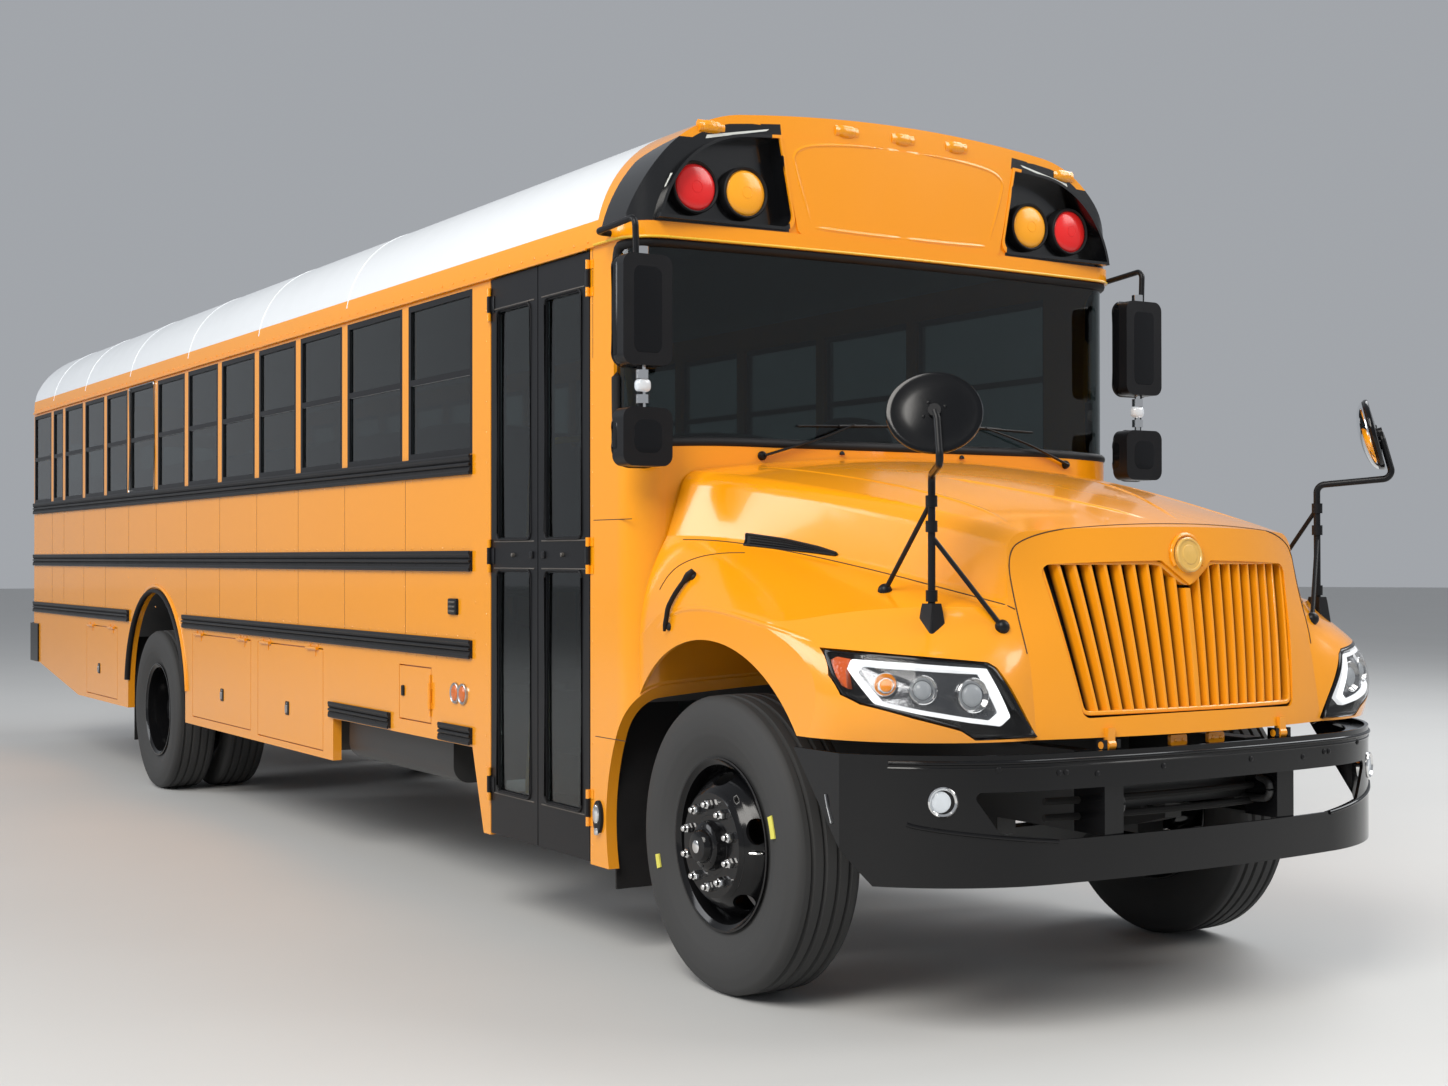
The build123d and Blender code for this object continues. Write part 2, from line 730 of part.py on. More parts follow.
export_step(luggage_boxes.part, "parts/luggage_boxes.step")

# Fuel door, hinged at its front edge
with BuildPart() as fuel_door:
    block(
        hatch_rear_x + panel_gap, hatch_front_x - panel_gap, -half_width, -half_width + panel_thickness - gap,
        hatch_bottom + panel_gap, hatch_top - panel_gap,
    )
    hinge(hatch_hinge, 60, 40, moving=True)
fuel_door.part.label = "fuel_door"
export_step(fuel_door.part, "parts/fuel_door.step")

# Stop arm: an octagonal plate folded flat against the left side
stop_arm_width = 450.0
stop_arm_plate = 10.0
with BuildPart() as stop_arm:
    hinge(upright_hinge(stop_arm_x, half_width, stop_arm_height, -1, 1), 120, 60, moving=True)
    with BuildSketch(across(half_width + hinge_radius)) as octagon:
        with Locations((stop_arm_x - 60 - stop_arm_width / 2, stop_arm_height)):
            RegularPolygon(stop_arm_width / 2, 8, major_radius=False, rotation=22.5)
        with Locations((stop_arm_x - 60, stop_arm_height)):
            Rectangle(120, 100)
    extrude(octagon.sketch, amount=stop_arm_plate, dir=(0, 1, 0))
stop_arm.part.label = "stop_arm"
export_step(stop_arm.part, "parts/stop_arm.step")

# Entrance door: two leaves that swing outwards from the posts, glazed above and below
leaf_width = (door_width - 3 * door_gap) / 2
leaf_bottom = rocker_bottom + 10
leaf_top = eave_height - door_gap
leaf_glass = [
    # bottom, top
    (leaf_bottom + door_rail_low, door_rail_mid_low),
    (door_rail_mid_high, door_glass_head),
]
door_leaves = [
    # name, rear edge, front edge, side the hinges are on
    ("front", door_front_x - door_gap - leaf_width, door_front_x - door_gap, 1),
    ("rear", door_rear_x + door_gap, door_rear_x + door_gap + leaf_width, -1),
]
for name, rear, front, hinge_side in door_leaves:
    hinge_x = front + door_gap / 2 if hinge_side > 0 else rear - door_gap / 2
    with BuildPart() as leaf:
        block(rear, front, -half_width, -half_width + door_thickness, leaf_bottom, leaf_top)
        for low, high in leaf_glass:
            block(
                rear + door_stile, front - door_stile, -half_width, -half_width + door_thickness, low, high,
                mode=Mode.SUBTRACT,
            )
        for hinge_z in door_hinge_heights:
            hinge(upright_hinge(hinge_x, -half_width, hinge_z, -hinge_side, -1), 70, 40, moving=True)
    leaf.part.label = f"door_{name}_leaf"
    export_step(leaf.part, f"parts/door_{name}_leaf.step")
    with BuildPart() as leaf_panes:
        for low, high in leaf_glass:
            pane_y = -half_width + 12
            block(
                rear + door_stile + gap, front - door_stile - gap, pane_y, pane_y + glass_thickness,
                low + gap, high - gap,
            )
    leaf_panes.part.label = f"door_{name}_glass"
    export_step(leaf_panes.part, f"parts/door_{name}_glass.step")

# Cowl: the front of the body, with the windshield opening and the front post of the entrance
windshield_low = 1950.0
windshield_drop = 14.0  # from the eave down to the opening
windshield_end_x = cowl_x - 155  # the glass wraps round the corner to here
windshield_radius = 85.0
windshield_inset = 14.0
windshield_high = eave_height - windshield_drop


def windshield_cut(clearance):
    """Side view of the windshield opening, right across the bus."""
    length = 600.0
    with BuildPart(mode=Mode.PRIVATE) as cut:
        with BuildSketch(across(-body_width / 2 - 10)) as face:
            with Locations((windshield_end_x + length / 2 + clearance, (windshield_low + windshield_high) / 2)):
                Rectangle(length, windshield_high - windshield_low - 2 * clearance)
            fillet(face.vertices().group_by(Axis.X)[0], windshield_radius - clearance)
        extrude(amount=body_width + 20, dir=(0, 1, 0))
    return cut.part


with BuildPart() as cowl:
    shell_ring(rocker_bottom, eave_height)
    block(
        body_rear_x, door_front_x, -half_width, half_width, rocker_bottom, eave_height, mode=Mode.SUBTRACT
    )
    rod(front_axle_x, -half_width, wheel_height, front_arch_radius, body_width, (0, 1, 0), mode=Mode.SUBTRACT)
    add(windshield_cut(0), mode=Mode.SUBTRACT)
    for hinge_z in door_hinge_heights:
        place = upright_hinge(door_front_x - door_gap / 2, -half_width, hinge_z, -1, -1)
        hinge(place, 70, 30, moving=False)
cowl.part.label = "cowl"
export_step(cowl.part, "parts/cowl.step")

# Fixed windows: black frames with a meeting rail, and the panes they hold
frame_y = half_width - frame_depth
panes = [
    # bottom, top
    (window_sill + frame_width, meeting_rail_height - frame_width / 2),
    (meeting_rail_height + frame_width / 2, window_head - frame_width),
]
side_openings = [(-1, window_spans), (1, window_spans + [driver_window])]
rear_openings = [
    (side * rear_window_y - rear_side_glass_width / 2, side * rear_window_y + rear_side_glass_width / 2)
    for side in (-1, 1)
]


def upright_rectangle(x0, x1, z0, z1, mode=Mode.ADD):
    """Rectangle on an upright plane along the bus."""
    with Locations(((x0 + x1) / 2, (z0 + z1) / 2)):
        Rectangle(x1 - x0, z1 - z0, mode=mode)


with BuildPart() as window_frames:
    for side, spans in side_openings:
        with BuildSketch(across(min(side * frame_y, side * half_width))) as frames:
            for rear, front in spans:
                upright_rectangle(rear + gap, front - gap, window_sill + gap, window_head - gap)
                for low, high in panes:
                    upright_rectangle(rear + frame_width, front - frame_width, low, high, mode=Mode.SUBTRACT)
        extrude(frames.sketch, amount=frame_depth, dir=(0, 1, 0))
window_frames.part.label = "window_frames"
export_step(window_frames.part, "parts/window_frames.step")
with BuildPart() as window_glass:
    for side, spans in side_openings:
        with BuildSketch(across(side * (half_width - frame_depth / 2) - glass_thickness / 2)) as side_panes:
            for rear, front in spans:
                for low, high in panes:
                    upright_rectangle(
                        rear + frame_width + gap, front - frame_width - gap, low + gap, high - gap
                    )
        extrude(side_panes.sketch, amount=glass_thickness, dir=(0, 1, 0))
    for near, far in rear_openings:
        block(
            body_rear_x + 20, body_rear_x + 20 + glass_thickness, near + gap, far - gap,
            rear_glass_low + gap, rear_glass_high - gap,
        )
    with BuildPart(mode=Mode.PRIVATE) as windshield:
        add(windshield_cut(gap))
        height = windshield_high - windshield_low
        extrude(cabin_plan(windshield_inset, windshield_low).sketch, amount=height, mode=Mode.INTERSECT)
        inner = windshield_inset + glass_thickness
        extrude(cabin_plan(inner, windshield_low).sketch, amount=height, mode=Mode.SUBTRACT)
    add(windshield.part)
window_glass.part.label = "window_glass"
export_step(window_glass.part, "parts/window_glass.step")

# Roof: bowed shell from the rear dome to the front cap
gutter_standout = 12.0
gutter_height = 14.0
with BuildPart() as roof:
    add(roof_form(0))
    add(roof_form(roof_thickness), mode=Mode.SUBTRACT)
    block(
        cap_seam_x, nose_x, -half_width, half_width, eave_height - 1, overall_height, mode=Mode.SUBTRACT
    )
    for side in (-1, 1):
        near, far = sorted((side * (half_width - 5), side * (half_width + gutter_standout)))
        block(rear_wall_x, cap_seam_x, near, far, eave_height, eave_height + gutter_height)
roof.part.label = "roof"
export_step(roof.part, "parts/roof.step")

# Warning lamps, side by side in hooded recesses on the front cap and on the rear wall
lamp_radius = 88.0
lamp_depth = 30.0
red_lamp_y = 938.5
amber_lamp_y = 714.0
front_lamp_height = eave_height + 208
rear_lamp_height = eave_height - 114
lamp_hood_standout = 55.0
lamp_hood_wall = 12.0
lamp_recess_corner = 45.0
lamp_recess_depth = 85.0
lamp_recess_inset = 88.0  # from the roof's outline
lamp_recess_foot = 22.0  # from the cap's lip and from the centre panel
tail_lamp_y = 990.0
brake_lamp_height = 1250.0
turn_lamp_height = 1440.0
cap_lip_height = 62.0
cap_lip_standout = 12.0
cap_panel_low = 501.0  # half width of the raised panel between the lamps, at its foot
cap_panel_high = 590.0
cap_panel_top = overall_height - 100
cap_panel_standout = 6.0
lamp_hood_x = cowl_x + lamp_hood_standout
lamp_seat_x = lamp_hood_x - lamp_recess_depth


def lamp_recess(side, grow, front_x):
    """Space round one pair of lamps: inside the roof's outline and beside the centre panel."""
    foot = eave_height + cap_lip_height + lamp_recess_foot - grow
    edge = lamp_recess_inset - grow
    with BuildPart(mode=Mode.PRIVATE) as recess:
        extrude(bow_face(edge).sketch, amount=front_x - body_rear_x - edge)
        with BuildSketch(Plane.YZ.offset(lamp_seat_x), mode=Mode.PRIVATE) as beside:
            Polygon(
                (side * (cap_panel_low + lamp_recess_foot - grow), foot),
                (side * half_width, foot),
                (side * half_width, overall_height),
                (side * (cap_panel_high + lamp_recess_foot - grow), overall_height),
                align=None,
            )
            inner_corner = beside.vertices().sort_by(Axis.Y)[:2].sort_by_distance((0, foot))[:1]
            fillet(inner_corner, lamp_recess_corner)
        extrude(beside.sketch, amount=front_x - lamp_seat_x, dir=(1, 0, 0), mode=Mode.INTERSECT)
    return recess.part


with BuildPart() as front_cap:
    add(roof_form(0))
    for side in (-1, 1):
        add(lamp_recess(side, lamp_hood_wall, lamp_hood_x))
    extrude(cabin_plan(-cap_lip_standout, eave_height).sketch, amount=cap_lip_height)
    block(
        body_rear_x - 20, cap_seam_x, -body_width, body_width, eave_height - 1, overall_height,
        mode=Mode.SUBTRACT,
    )
    with BuildSketch(Plane.YZ.offset(cowl_x), mode=Mode.PRIVATE) as panel:
        low = eave_height + cap_lip_height
        Polygon(
            (-cap_panel_low, low), (cap_panel_low, low), (cap_panel_high, cap_panel_top),
            (-cap_panel_high, cap_panel_top), align=None,
        )
        fillet(panel.vertices(), 25)
    with BuildPart(mode=Mode.PRIVATE) as raised_panel:
        extrude(panel.sketch, amount=200)
        extrude(cabin_plan(-cap_panel_standout, eave_height).sketch, amount=700, mode=Mode.INTERSECT)
    add(raised_panel.part)
    with BuildPart(mode=Mode.PRIVATE) as hollow:
        inner_end = body_rear_x + roof_thickness
        extrude(bow_face(roof_thickness).sketch, amount=lamp_seat_x - lamp_hood_wall - inner_end)
        extrude(
            cabin_plan(roof_thickness, eave_height).sketch, amount=overall_height - eave_height,
            mode=Mode.INTERSECT,
        )
    add(hollow.part, mode=Mode.SUBTRACT)
    for side in (-1, 1):
        add(lamp_recess(side, 0, lamp_hood_x + 100), mode=Mode.SUBTRACT)
front_cap.part.label = "front_cap"
export_step(front_cap.part, "parts/front_cap.step")


def round_lamps(lamp_y, low_height):
    """Front and rear warning lamps at one distance from the middle, and a lamp low on the rear wall."""
    for side in (-1, 1):
        rod(lamp_seat_x, side * lamp_y, front_lamp_height, lamp_radius, lamp_depth, (1, 0, 0))
        rod(body_rear_x, side * lamp_y, rear_lamp_height, lamp_radius, lamp_depth, (-1, 0, 0))
        rod(body_rear_x, side * tail_lamp_y, low_height, lamp_radius, lamp_depth, (-1, 0, 0))


with BuildPart() as red_lamps:
    round_lamps(red_lamp_y, brake_lamp_height)
red_lamps.part.label = "red_lamps"
export_step(red_lamps.part, "parts/red_lamps.step")
with BuildPart() as amber_lamps:
    round_lamps(amber_lamp_y, turn_lamp_height)
amber_lamps.part.label = "amber_lamps"
export_step(amber_lamps.part, "parts/amber_lamps.step")

# Rub rails: ribbed strips along both sides, the lowest one broken at the wheel arch
rail_standout = 15.0
rub_rails_table = [
    # rear end, front end, bottom, top
    (body_rear_x + rear_wall_depth, wall_front_x, 1887.0, 1973.5),
    (body_rear_x + rear_wall_depth, wall_front_x, 1463.5, 1552.0),
    (body_rear_x + rear_wall_depth, rear_axle_x - 671, 1084.0, 1163.0),
    (rear_axle_x + 657, wall_front_x, 1084.0, 1163.0),
    (front_axle_x - 3697, front_axle_x - 2878, 709.0, 785.0),
    (front_axle_x - 2286, wall_front_x, 709.0, 783.0),
]
with BuildPart() as rub_rails:
    for side in (-1, 1):
        for rear, front, bottom, top in rub_rails_table:
            rib = (top - bottom) / 5
            outer = side * (half_width + rail_standout)
            valley = side * (half_width + rail_standout / 2)
            outline = [
                (side * half_width, bottom),
                (outer, bottom + rib / 2),
                (outer, bottom + rib * 1.5),
                (valley, bottom + rib * 2),
                (valley, bottom + rib * 3),
                (outer, bottom + rib * 3.5),
                (outer, bottom + rib * 4.5),
                (side * half_width, top),
            ]
            with BuildSketch(Plane.YZ.offset(rear)) as strip:
                Polygon(*outline, align=None)
            extrude(strip.sketch, amount=front - rear)
rub_rails.part.label = "rub_rails"
export_step(rub_rails.part, "parts/rub_rails.step")

# Mud flaps behind the front and rear wheels
flap_thickness = 8.0
flap_bottom = 260.0
flap_places = [
    # rear face, inner edge, outer edge, top
    (rear_axle_x - rear_arch_radius, rear_inner_y - tyre_width / 2, half_width - wall, floor_bottom),
    (front_axle_x - front_arch_radius, front_wheel_y - tyre_width / 2, inner_face - gap, floor_bottom),
]
with BuildPart() as mud_flaps:
    for flap_x, inner, outer, top in flap_places:
        for side in (-1, 1):
            near, far = sorted((side * inner, side * outer))
            block(flap_x - flap_thickness, flap_x, near, far, flap_bottom, top)
mud_flaps.part.label = "mud_flaps"
export_step(mud_flaps.part, "parts/mud_flaps.step")

# Benches in rows on both sides of the aisle, and the driver's seat
first_row_x = wall_front_x - 520
seat_rows = int((first_row_x - bench_depth - 80 - rear_wall_x) // seat_pitch) + 1
seat_top = floor_top + bench_height
aisle_edge = inner_face - gap - bench_width
with BuildPart(mode=Mode.PRIVATE) as bench:
    block(-bench_depth, 0, aisle_edge, inner_face - gap, seat_top - bench_thickness, seat_top)
    back = [
        (-bench_depth - 20, seat_top - bench_thickness),
        (-bench_depth + seat_back_thickness, seat_top - bench_thickness),
        (-bench_depth + seat_back_thickness - 30, floor_top + seat_back_height),
        (-bench_depth - 60, floor_top + seat_back_height),
    ]
    side_panel(back, aisle_edge, inner_face - gap)
    for leg_x in (-bench_depth + 40, -80):
        block(leg_x, leg_x + 40, aisle_edge + 120, aisle_edge + 160, floor_top, seat_top - bench_thickness)
    mirror(about=Plane.XZ)
with BuildPart() as seats:
    with Locations(*[(first_row_x - row * seat_pitch, 0, 0) for row in range(seat_rows)]):
        add(bench.part)
seats.part.label = "seats"
export_step(seats.part, "parts/seats.step")

driver_x = front_axle_x - 1350.0
driver_y = 620.0
with BuildPart() as driver_seat:
    block(driver_x - 230, driver_x + 230, driver_y - 240, driver_y + 240, floor_top + 330, floor_top + 450)
    block(driver_x - 320, driver_x - 200, driver_y - 230, driver_y + 230, floor_top + 330, floor_top + 1120)
    block(driver_x - 150, driver_x + 150, driver_y - 150, driver_y + 150, floor_top, floor_top + 330)
driver_seat.part.label = "driver_seat"
export_step(driver_seat.part, "parts/driver_seat.step")

# Dashboard with its column, and the steering wheel that turns on it
dash_top = 1880.0
dash_depth = 330.0
wheel_rim_radius = 225.0
wheel_centre = (cowl_x - wall - dash_depth - 170, driver_y, 1790.0)
column_axis = (-0.75, 0, 0.66)
with BuildPart() as dashboard:
    with BuildSketch(across(-inner_face + 400)) as dash_side:
        Polygon(
            (cowl_x - wall - 1, floor_top),
            (cowl_x - wall - 1, dash_top),
            (cowl_x - wall - dash_depth, dash_top - 120),
            (cowl_x - wall - dash_depth + 90, dash_top - 330),
            (cowl_x - wall - 140, floor_top),
            align=None,
        )
    extrude(dash_side.sketch, amount=2 * inner_face - 460, dir=(0, 1, 0))
    rod(*wheel_centre, 30, 420, tuple(-c for c in column_axis))
dashboard.part.label = "dashboard"
export_step(dashboard.part, "parts/dashboard.step")
with BuildPart() as steering_wheel:
    hub_plane = Plane(origin=wheel_centre, z_dir=column_axis).offset(gap)
    with BuildSketch(hub_plane):
        Circle(wheel_rim_radius + 15)
        Circle(wheel_rim_radius - 15, mode=Mode.SUBTRACT)
        Circle(70)
        with PolarLocations(0, 3, start_angle=90):
            Rectangle(wheel_rim_radius, 30, align=(Align.MIN, Align.CENTER))
    extrude(amount=28)
steering_wheel.part.label = "steering_wheel"
export_step(steering_wheel.part, "parts/steering_wheel.step")

# Tyres and wheels
tyre_shoulder = 16.0
tread_edge = 18.0
tread_crown = 3.0
half_rim = rim_width / 2
rim_radius = tyre_inner_radius - gap
bead_height = 20.0
disc_gauge = 12.0


def tyre(x, y):
    """Road tyre round the line through its middle, beads standing on the rim."""
    half_tyre = tyre_width / 2
    bulge_radius = (tyre_radius + tyre_inner_radius) / 2
    bead_top = tyre_inner_radius + bead_height
    shoulder_y = half_tyre - tyre_shoulder
    shoulder_radius = tyre_radius - tyre_shoulder
    tread_y = shoulder_y - tread_edge
    bead_y = half_rim - gap
    tread_radius = tyre_radius - tread_crown
    with BuildSketch(Plane.YZ.offset(x), mode=Mode.PRIVATE) as section:
        with BuildLine():
            Line((-bead_y, tyre_inner_radius), (bead_y, tyre_inner_radius))
            Line((bead_y, tyre_inner_radius), (bead_y, bead_top))
            ThreePointArc((bead_y, bead_top), (half_tyre, bulge_radius), (shoulder_y, shoulder_radius))
            Line((shoulder_y, shoulder_radius), (tread_y, tread_radius))
            ThreePointArc((tread_y, tread_radius), (0, tyre_radius), (-tread_y, tread_radius))
            Line((-tread_y, tread_radius), (-shoulder_y, shoulder_radius))
            ThreePointArc((-shoulder_y, shoulder_radius), (-half_tyre, bulge_radius), (-bead_y, bead_top))
            Line((-bead_y, bead_top), (-bead_y, tyre_inner_radius))
        make_face()
    moved = section.sketch.moved(Location((0, y, wheel_height)))
    revolve(moved, axis=Axis((x, y, wheel_height), (0, 1, 0)))


def rim(x, y, out, face):
    """Rim and disc; the disc's bolt face stands off the rim's middle by face, outwards if positive."""
    flange_y = half_rim + 12
    inner_radius = rim_radius - rim_gauge
    bolt_edge = stud_circle / 2 + 45
    outline = [
        (-flange_y, inner_radius),
        (-flange_y, rim_flange_radius),
        (-half_rim, rim_flange_radius),
        (-half_rim, rim_radius),
        (half_rim, rim_radius),
        (half_rim, rim_flange_radius),
        (flange_y, rim_flange_radius),
        (flange_y, inner_radius),
    ]
    root = math.copysign(half_rim * 0.4, face)
    disc = [
        (root, inner_radius + 1),
        (root + math.copysign(40, face), inner_radius + 1),
        (face, bolt_edge),
        (face, hub_radius - 30),
        (face - math.copysign(disc_gauge, face), hub_radius - 30),
        (face - math.copysign(disc_gauge, face), bolt_edge - 4),
    ]
    with BuildSketch(Plane.YZ.offset(x), mode=Mode.PRIVATE) as section:
        for points in (outline, disc):
            with BuildLine():
                Polyline(*[(out * along, radius) for along, radius in points], close=True)
            make_face()
    moved = section.sketch.moved(Location((0, y, wheel_height)))
    revolve(moved, axis=Axis((x, y, wheel_height), (0, 1, 0)))


def studs(x, y, out):
    """Ring of wheel nuts standing out of the bolt face."""
    plane = Plane(origin=(x, y, wheel_height), z_dir=(0, out, 0))
    with BuildSketch(plane, mode=Mode.PRIVATE) as ring:
        with PolarLocations(stud_circle / 2, stud_count):
            RegularPolygon(16, 6)
    extrude(ring.sketch, amount=stud_length)


stud_length = 28.0
bolt_face = half_rim + 45
front_cap_reach = 62.0
spindle_radius = 38.0
for name, side in (("left", 1), ("right", -1)):
    wheel_y = side * front_wheel_y
    with BuildPart() as front_tyre:
        tyre(front_axle_x, wheel_y)
    front_tyre.part.label = f"tyre_front_{name}"
    export_step(front_tyre.part, f"parts/tyre_front_{name}.step")

    outer_face = wheel_y + side * bolt_face
    hub_start = kingpin_y + 105
    with BuildPart() as front_wheel:
        rim(front_axle_x, wheel_y, side, bolt_face)
        rod(front_axle_x, side * hub_start, wheel_height, hub_radius, abs(outer_face) - hub_start, (0, side, 0))
        rod(front_axle_x, outer_face, wheel_height, hub_radius - 32, front_cap_reach, (0, side, 0))
        studs(front_axle_x, outer_face, side)
        rod(
            front_axle_x, side * hub_start, wheel_height, spindle_radius + running_clearance,
            abs(outer_face) - hub_start + 20, (0, side, 0), mode=Mode.SUBTRACT,
        )
    front_wheel.part.label = f"wheel_front_{name}"
    export_step(front_wheel.part, f"parts/wheel_front_{name}.step")

    # Steering knuckle: pin, fork round the axle's eye, spindle
    fork_height = eye_height / 2 + 45
    fork_gap = 5.0
    with BuildPart() as knuckle:
        near, far = sorted((side * (kingpin_y - 45), side * (kingpin_y + 95)))
        block(
            front_axle_x - 50, front_axle_x + 50, near, far,
            wheel_height - fork_height, wheel_height + fork_height,
        )
        near, far = sorted((side * (kingpin_y - 46), side * (kingpin_y + 60)))
        block(
            front_axle_x - 51, front_axle_x + 51, near, far, wheel_height - eye_height / 2 - fork_gap,
            wheel_height + eye_height / 2 + fork_gap, mode=Mode.SUBTRACT,
        )
        rod(
            front_axle_x, side * kingpin_y, wheel_height - fork_height,
            kingpin_radius, 2 * fork_height, (0, 0, 1),
        )
        rod(
            front_axle_x, side * (kingpin_y + 90), wheel_height, spindle_radius,
            abs(outer_face) - kingpin_y - 90 + 10, (0, side, 0),
        )
    knuckle.part.label = f"knuckle_{name}"
    export_step(knuckle.part, f"parts/knuckle_{name}.step")

    with BuildPart() as rear_tyres:
        tyre(rear_axle_x, side * rear_outer_y)
        tyre(rear_axle_x, side * rear_inner_y)
    rear_tyres.part.label = f"tyres_rear_{name}"
    export_step(rear_tyres.part, f"parts/tyres_rear_{name}.step")

    dish = rear_outer_y - twin_middle_y
    hub_start = rear_inner_y - 60
    hub_length = rear_outer_y + 60 - hub_start
    with BuildPart() as rear_wheels:
        rim(rear_axle_x, side * rear_outer_y, side, -dish + disc_gauge)
        rim(rear_axle_x, side * rear_inner_y, side, dish - disc_gauge)
        rod(
            rear_axle_x, side * (twin_middle_y - disc_gauge), wheel_height,
            hub_radius + 60, 2 * disc_gauge, (0, side, 0),
        )
        rod(rear_axle_x, side * hub_start, wheel_height, hub_radius, hub_length, (0, side, 0))
        studs(rear_axle_x, side * (twin_middle_y + disc_gauge), side)
        rod(
            rear_axle_x, side * hub_start, wheel_height, axle_tube_radius + running_clearance,
            rear_outer_y + 30 - hub_start, (0, side, 0), mode=Mode.SUBTRACT,
        )
    rear_wheels.part.label = f"wheels_rear_{name}"
    export_step(rear_wheels.part, f"parts/wheels_rear_{name}.step")

# Hood: nacelle and fenders moulded as one tilting shell
nose_bottom = 949.0
hood_floor = 600.0
fender_edge_radius = 45.0
shoulder_radius = 80.0
seam_radius = 40.0
hood_sections = [
    # x from the axle, then height and distance in from the body's side
    # of the fender edge, the seam and the shoulder, and the crown
    (-560.0, 1190.0, 44.0, 1598.0, 126.0, 1850.0, 192.0, 1921.0),
    (-100.0, 1350.0, 4.0, 1575.0, 208.0, 1800.0, 289.0, 1884.0),
    (200.0, 1332.0, 2.0, 1530.0, 304.0, 1752.0, 366.0, 1840.0),
    (600.0, 1275.0, 2.0, 1450.0, 424.0, 1678.0, 469.0, 1757.0),
    (1190.0, 1180.0, 2.0, 1320.0, 589.0, 1545.0, 609.0, 1592.0),
]
nose_plans = [
    # height, then x from the axle of the middle, the corner and the side, and the corner's distance in
    (hood_floor, 1220.0, 1148.0, 560.0, 545.0),
    (950.0, 1178.0, 1100.0, 580.0, 552.0),
    (1180.0, 1149.0, 1065.0, 590.0, 558.0),
    (1290.0, 1136.0, 1038.0, 330.0, 558.0),
    (1400.0, 1122.0, 1004.0, 0.0, 555.0),
    (2000.0, 1047.0, 890.0, -100.0, 572.0),
]
dome_rise = 22.0
grille_face_reach = 1180.0  # front axle to the foot of the grille's plane
grille_face_lean = 70.0  # how far the plane leans back from its foot to its head


def bulged(start, end, rise):
    """Point standing off the middle of a line, to the right of its direction."""
    length = math.dist(start, end)
    along = ((end[0] - start[0]) / length, (end[1] - start[1]) / length)
    return ((start[0] + end[0]) / 2 + along[1] * rise, (start[1] + end[1]) / 2 - along[0] * rise)


def hood_section(row, inset):
    """One upright section across the hood: fender side, dome, nacelle side and crown."""
    x, fender_z, fender_in, seam_z, seam_in, shoulder_z, shoulder_in, crown_z = row
    fender = (half_width - fender_in - inset, fender_z - inset)
    seam = (half_width - seam_in - inset, seam_z - inset / 2)
    shoulder = (half_width - shoulder_in - inset, shoulder_z - inset)
    dome = bulged(fender, seam, dome_rise)
    with BuildSketch(Plane.YZ.offset(front_axle_x + x), mode=Mode.PRIVATE) as section:
        with BuildLine():
            Line((fender[0], hood_floor), fender)
            ThreePointArc(fender, dome, seam)
            Line(seam, shoulder)
            ThreePointArc(shoulder, (0, crown_z - inset), (-shoulder[0], shoulder[1]))
            Line((-shoulder[0], shoulder[1]), (-seam[0], seam[1]))
            ThreePointArc((-seam[0], seam[1]), (-dome[0], dome[1]), (-fender[0], fender[1]))
            Line((-fender[0], fender[1]), (-fender[0], hood_floor))
            Line((-fender[0], hood_floor), (fender[0], hood_floor))
        make_face()
        corners = [
            (fender, max(fender_edge_radius - inset, 5)),
            (seam, seam_radius + inset),
            (shoulder, max(shoulder_radius - inset, 5)),
        ]
        for corner, radius in corners:
            ends = [v for v in section.vertices() if abs(abs(v.X) - corner[0]) < 1 and abs(v.Y - corner[1]) < 1]
            fillet(ends, radius)
    return section.sketch


def nose_plan(row, inset):
    """Level section of the nose: bowed grille shell between two swept fender corners."""
    height, middle_x, corner_x, side_x, corner_in = row
    middle = (front_axle_x + middle_x - inset, 0)
    corner = (front_axle_x + corner_x - inset, half_width - corner_in)
    side = (front_axle_x + side_x - inset, half_width)
    reach = half_width - corner[1]
    radius = ((corner[0] - side[0]) ** 2 + reach**2) / (2 * reach)
    turn = math.asin((corner[0] - side[0]) / radius) / 2
    bend = (side[0] + radius * math.sin(turn), half_width - radius * (1 - math.cos(turn)))
    rear_x = cowl_x - 200
    with BuildSketch(Plane.XY.offset(height), mode=Mode.PRIVATE) as plan:
        with BuildLine():
            ThreePointArc((corner[0], -corner[1]), middle, corner)
            ThreePointArc(corner, bend, side)
            Line(side, (rear_x, half_width))
            Line((rear_x, half_width), (rear_x, -half_width))
            Line((rear_x, -half_width), (side[0], -half_width))
            ThreePointArc((side[0], -half_width), (bend[0], -bend[1]), (corner[0], -corner[1]))
        make_face()
    return plan.sketch


def hood_form(inset):
    """Closed outer form of the hood, drawn in by inset."""
    with BuildPart(mode=Mode.PRIVATE) as form:
        loft([hood_section(row, inset) for row in hood_sections])
        with BuildPart(mode=Mode.PRIVATE) as nose:
            loft([nose_plan(row, inset) for row in nose_plans])
        add(nose.part, mode=Mode.INTERSECT)
        extrude(cabin_plan(-hood_gap - inset, hood_floor - 1).sketch, amount=eave_height, mode=Mode.SUBTRACT)
    return form.part


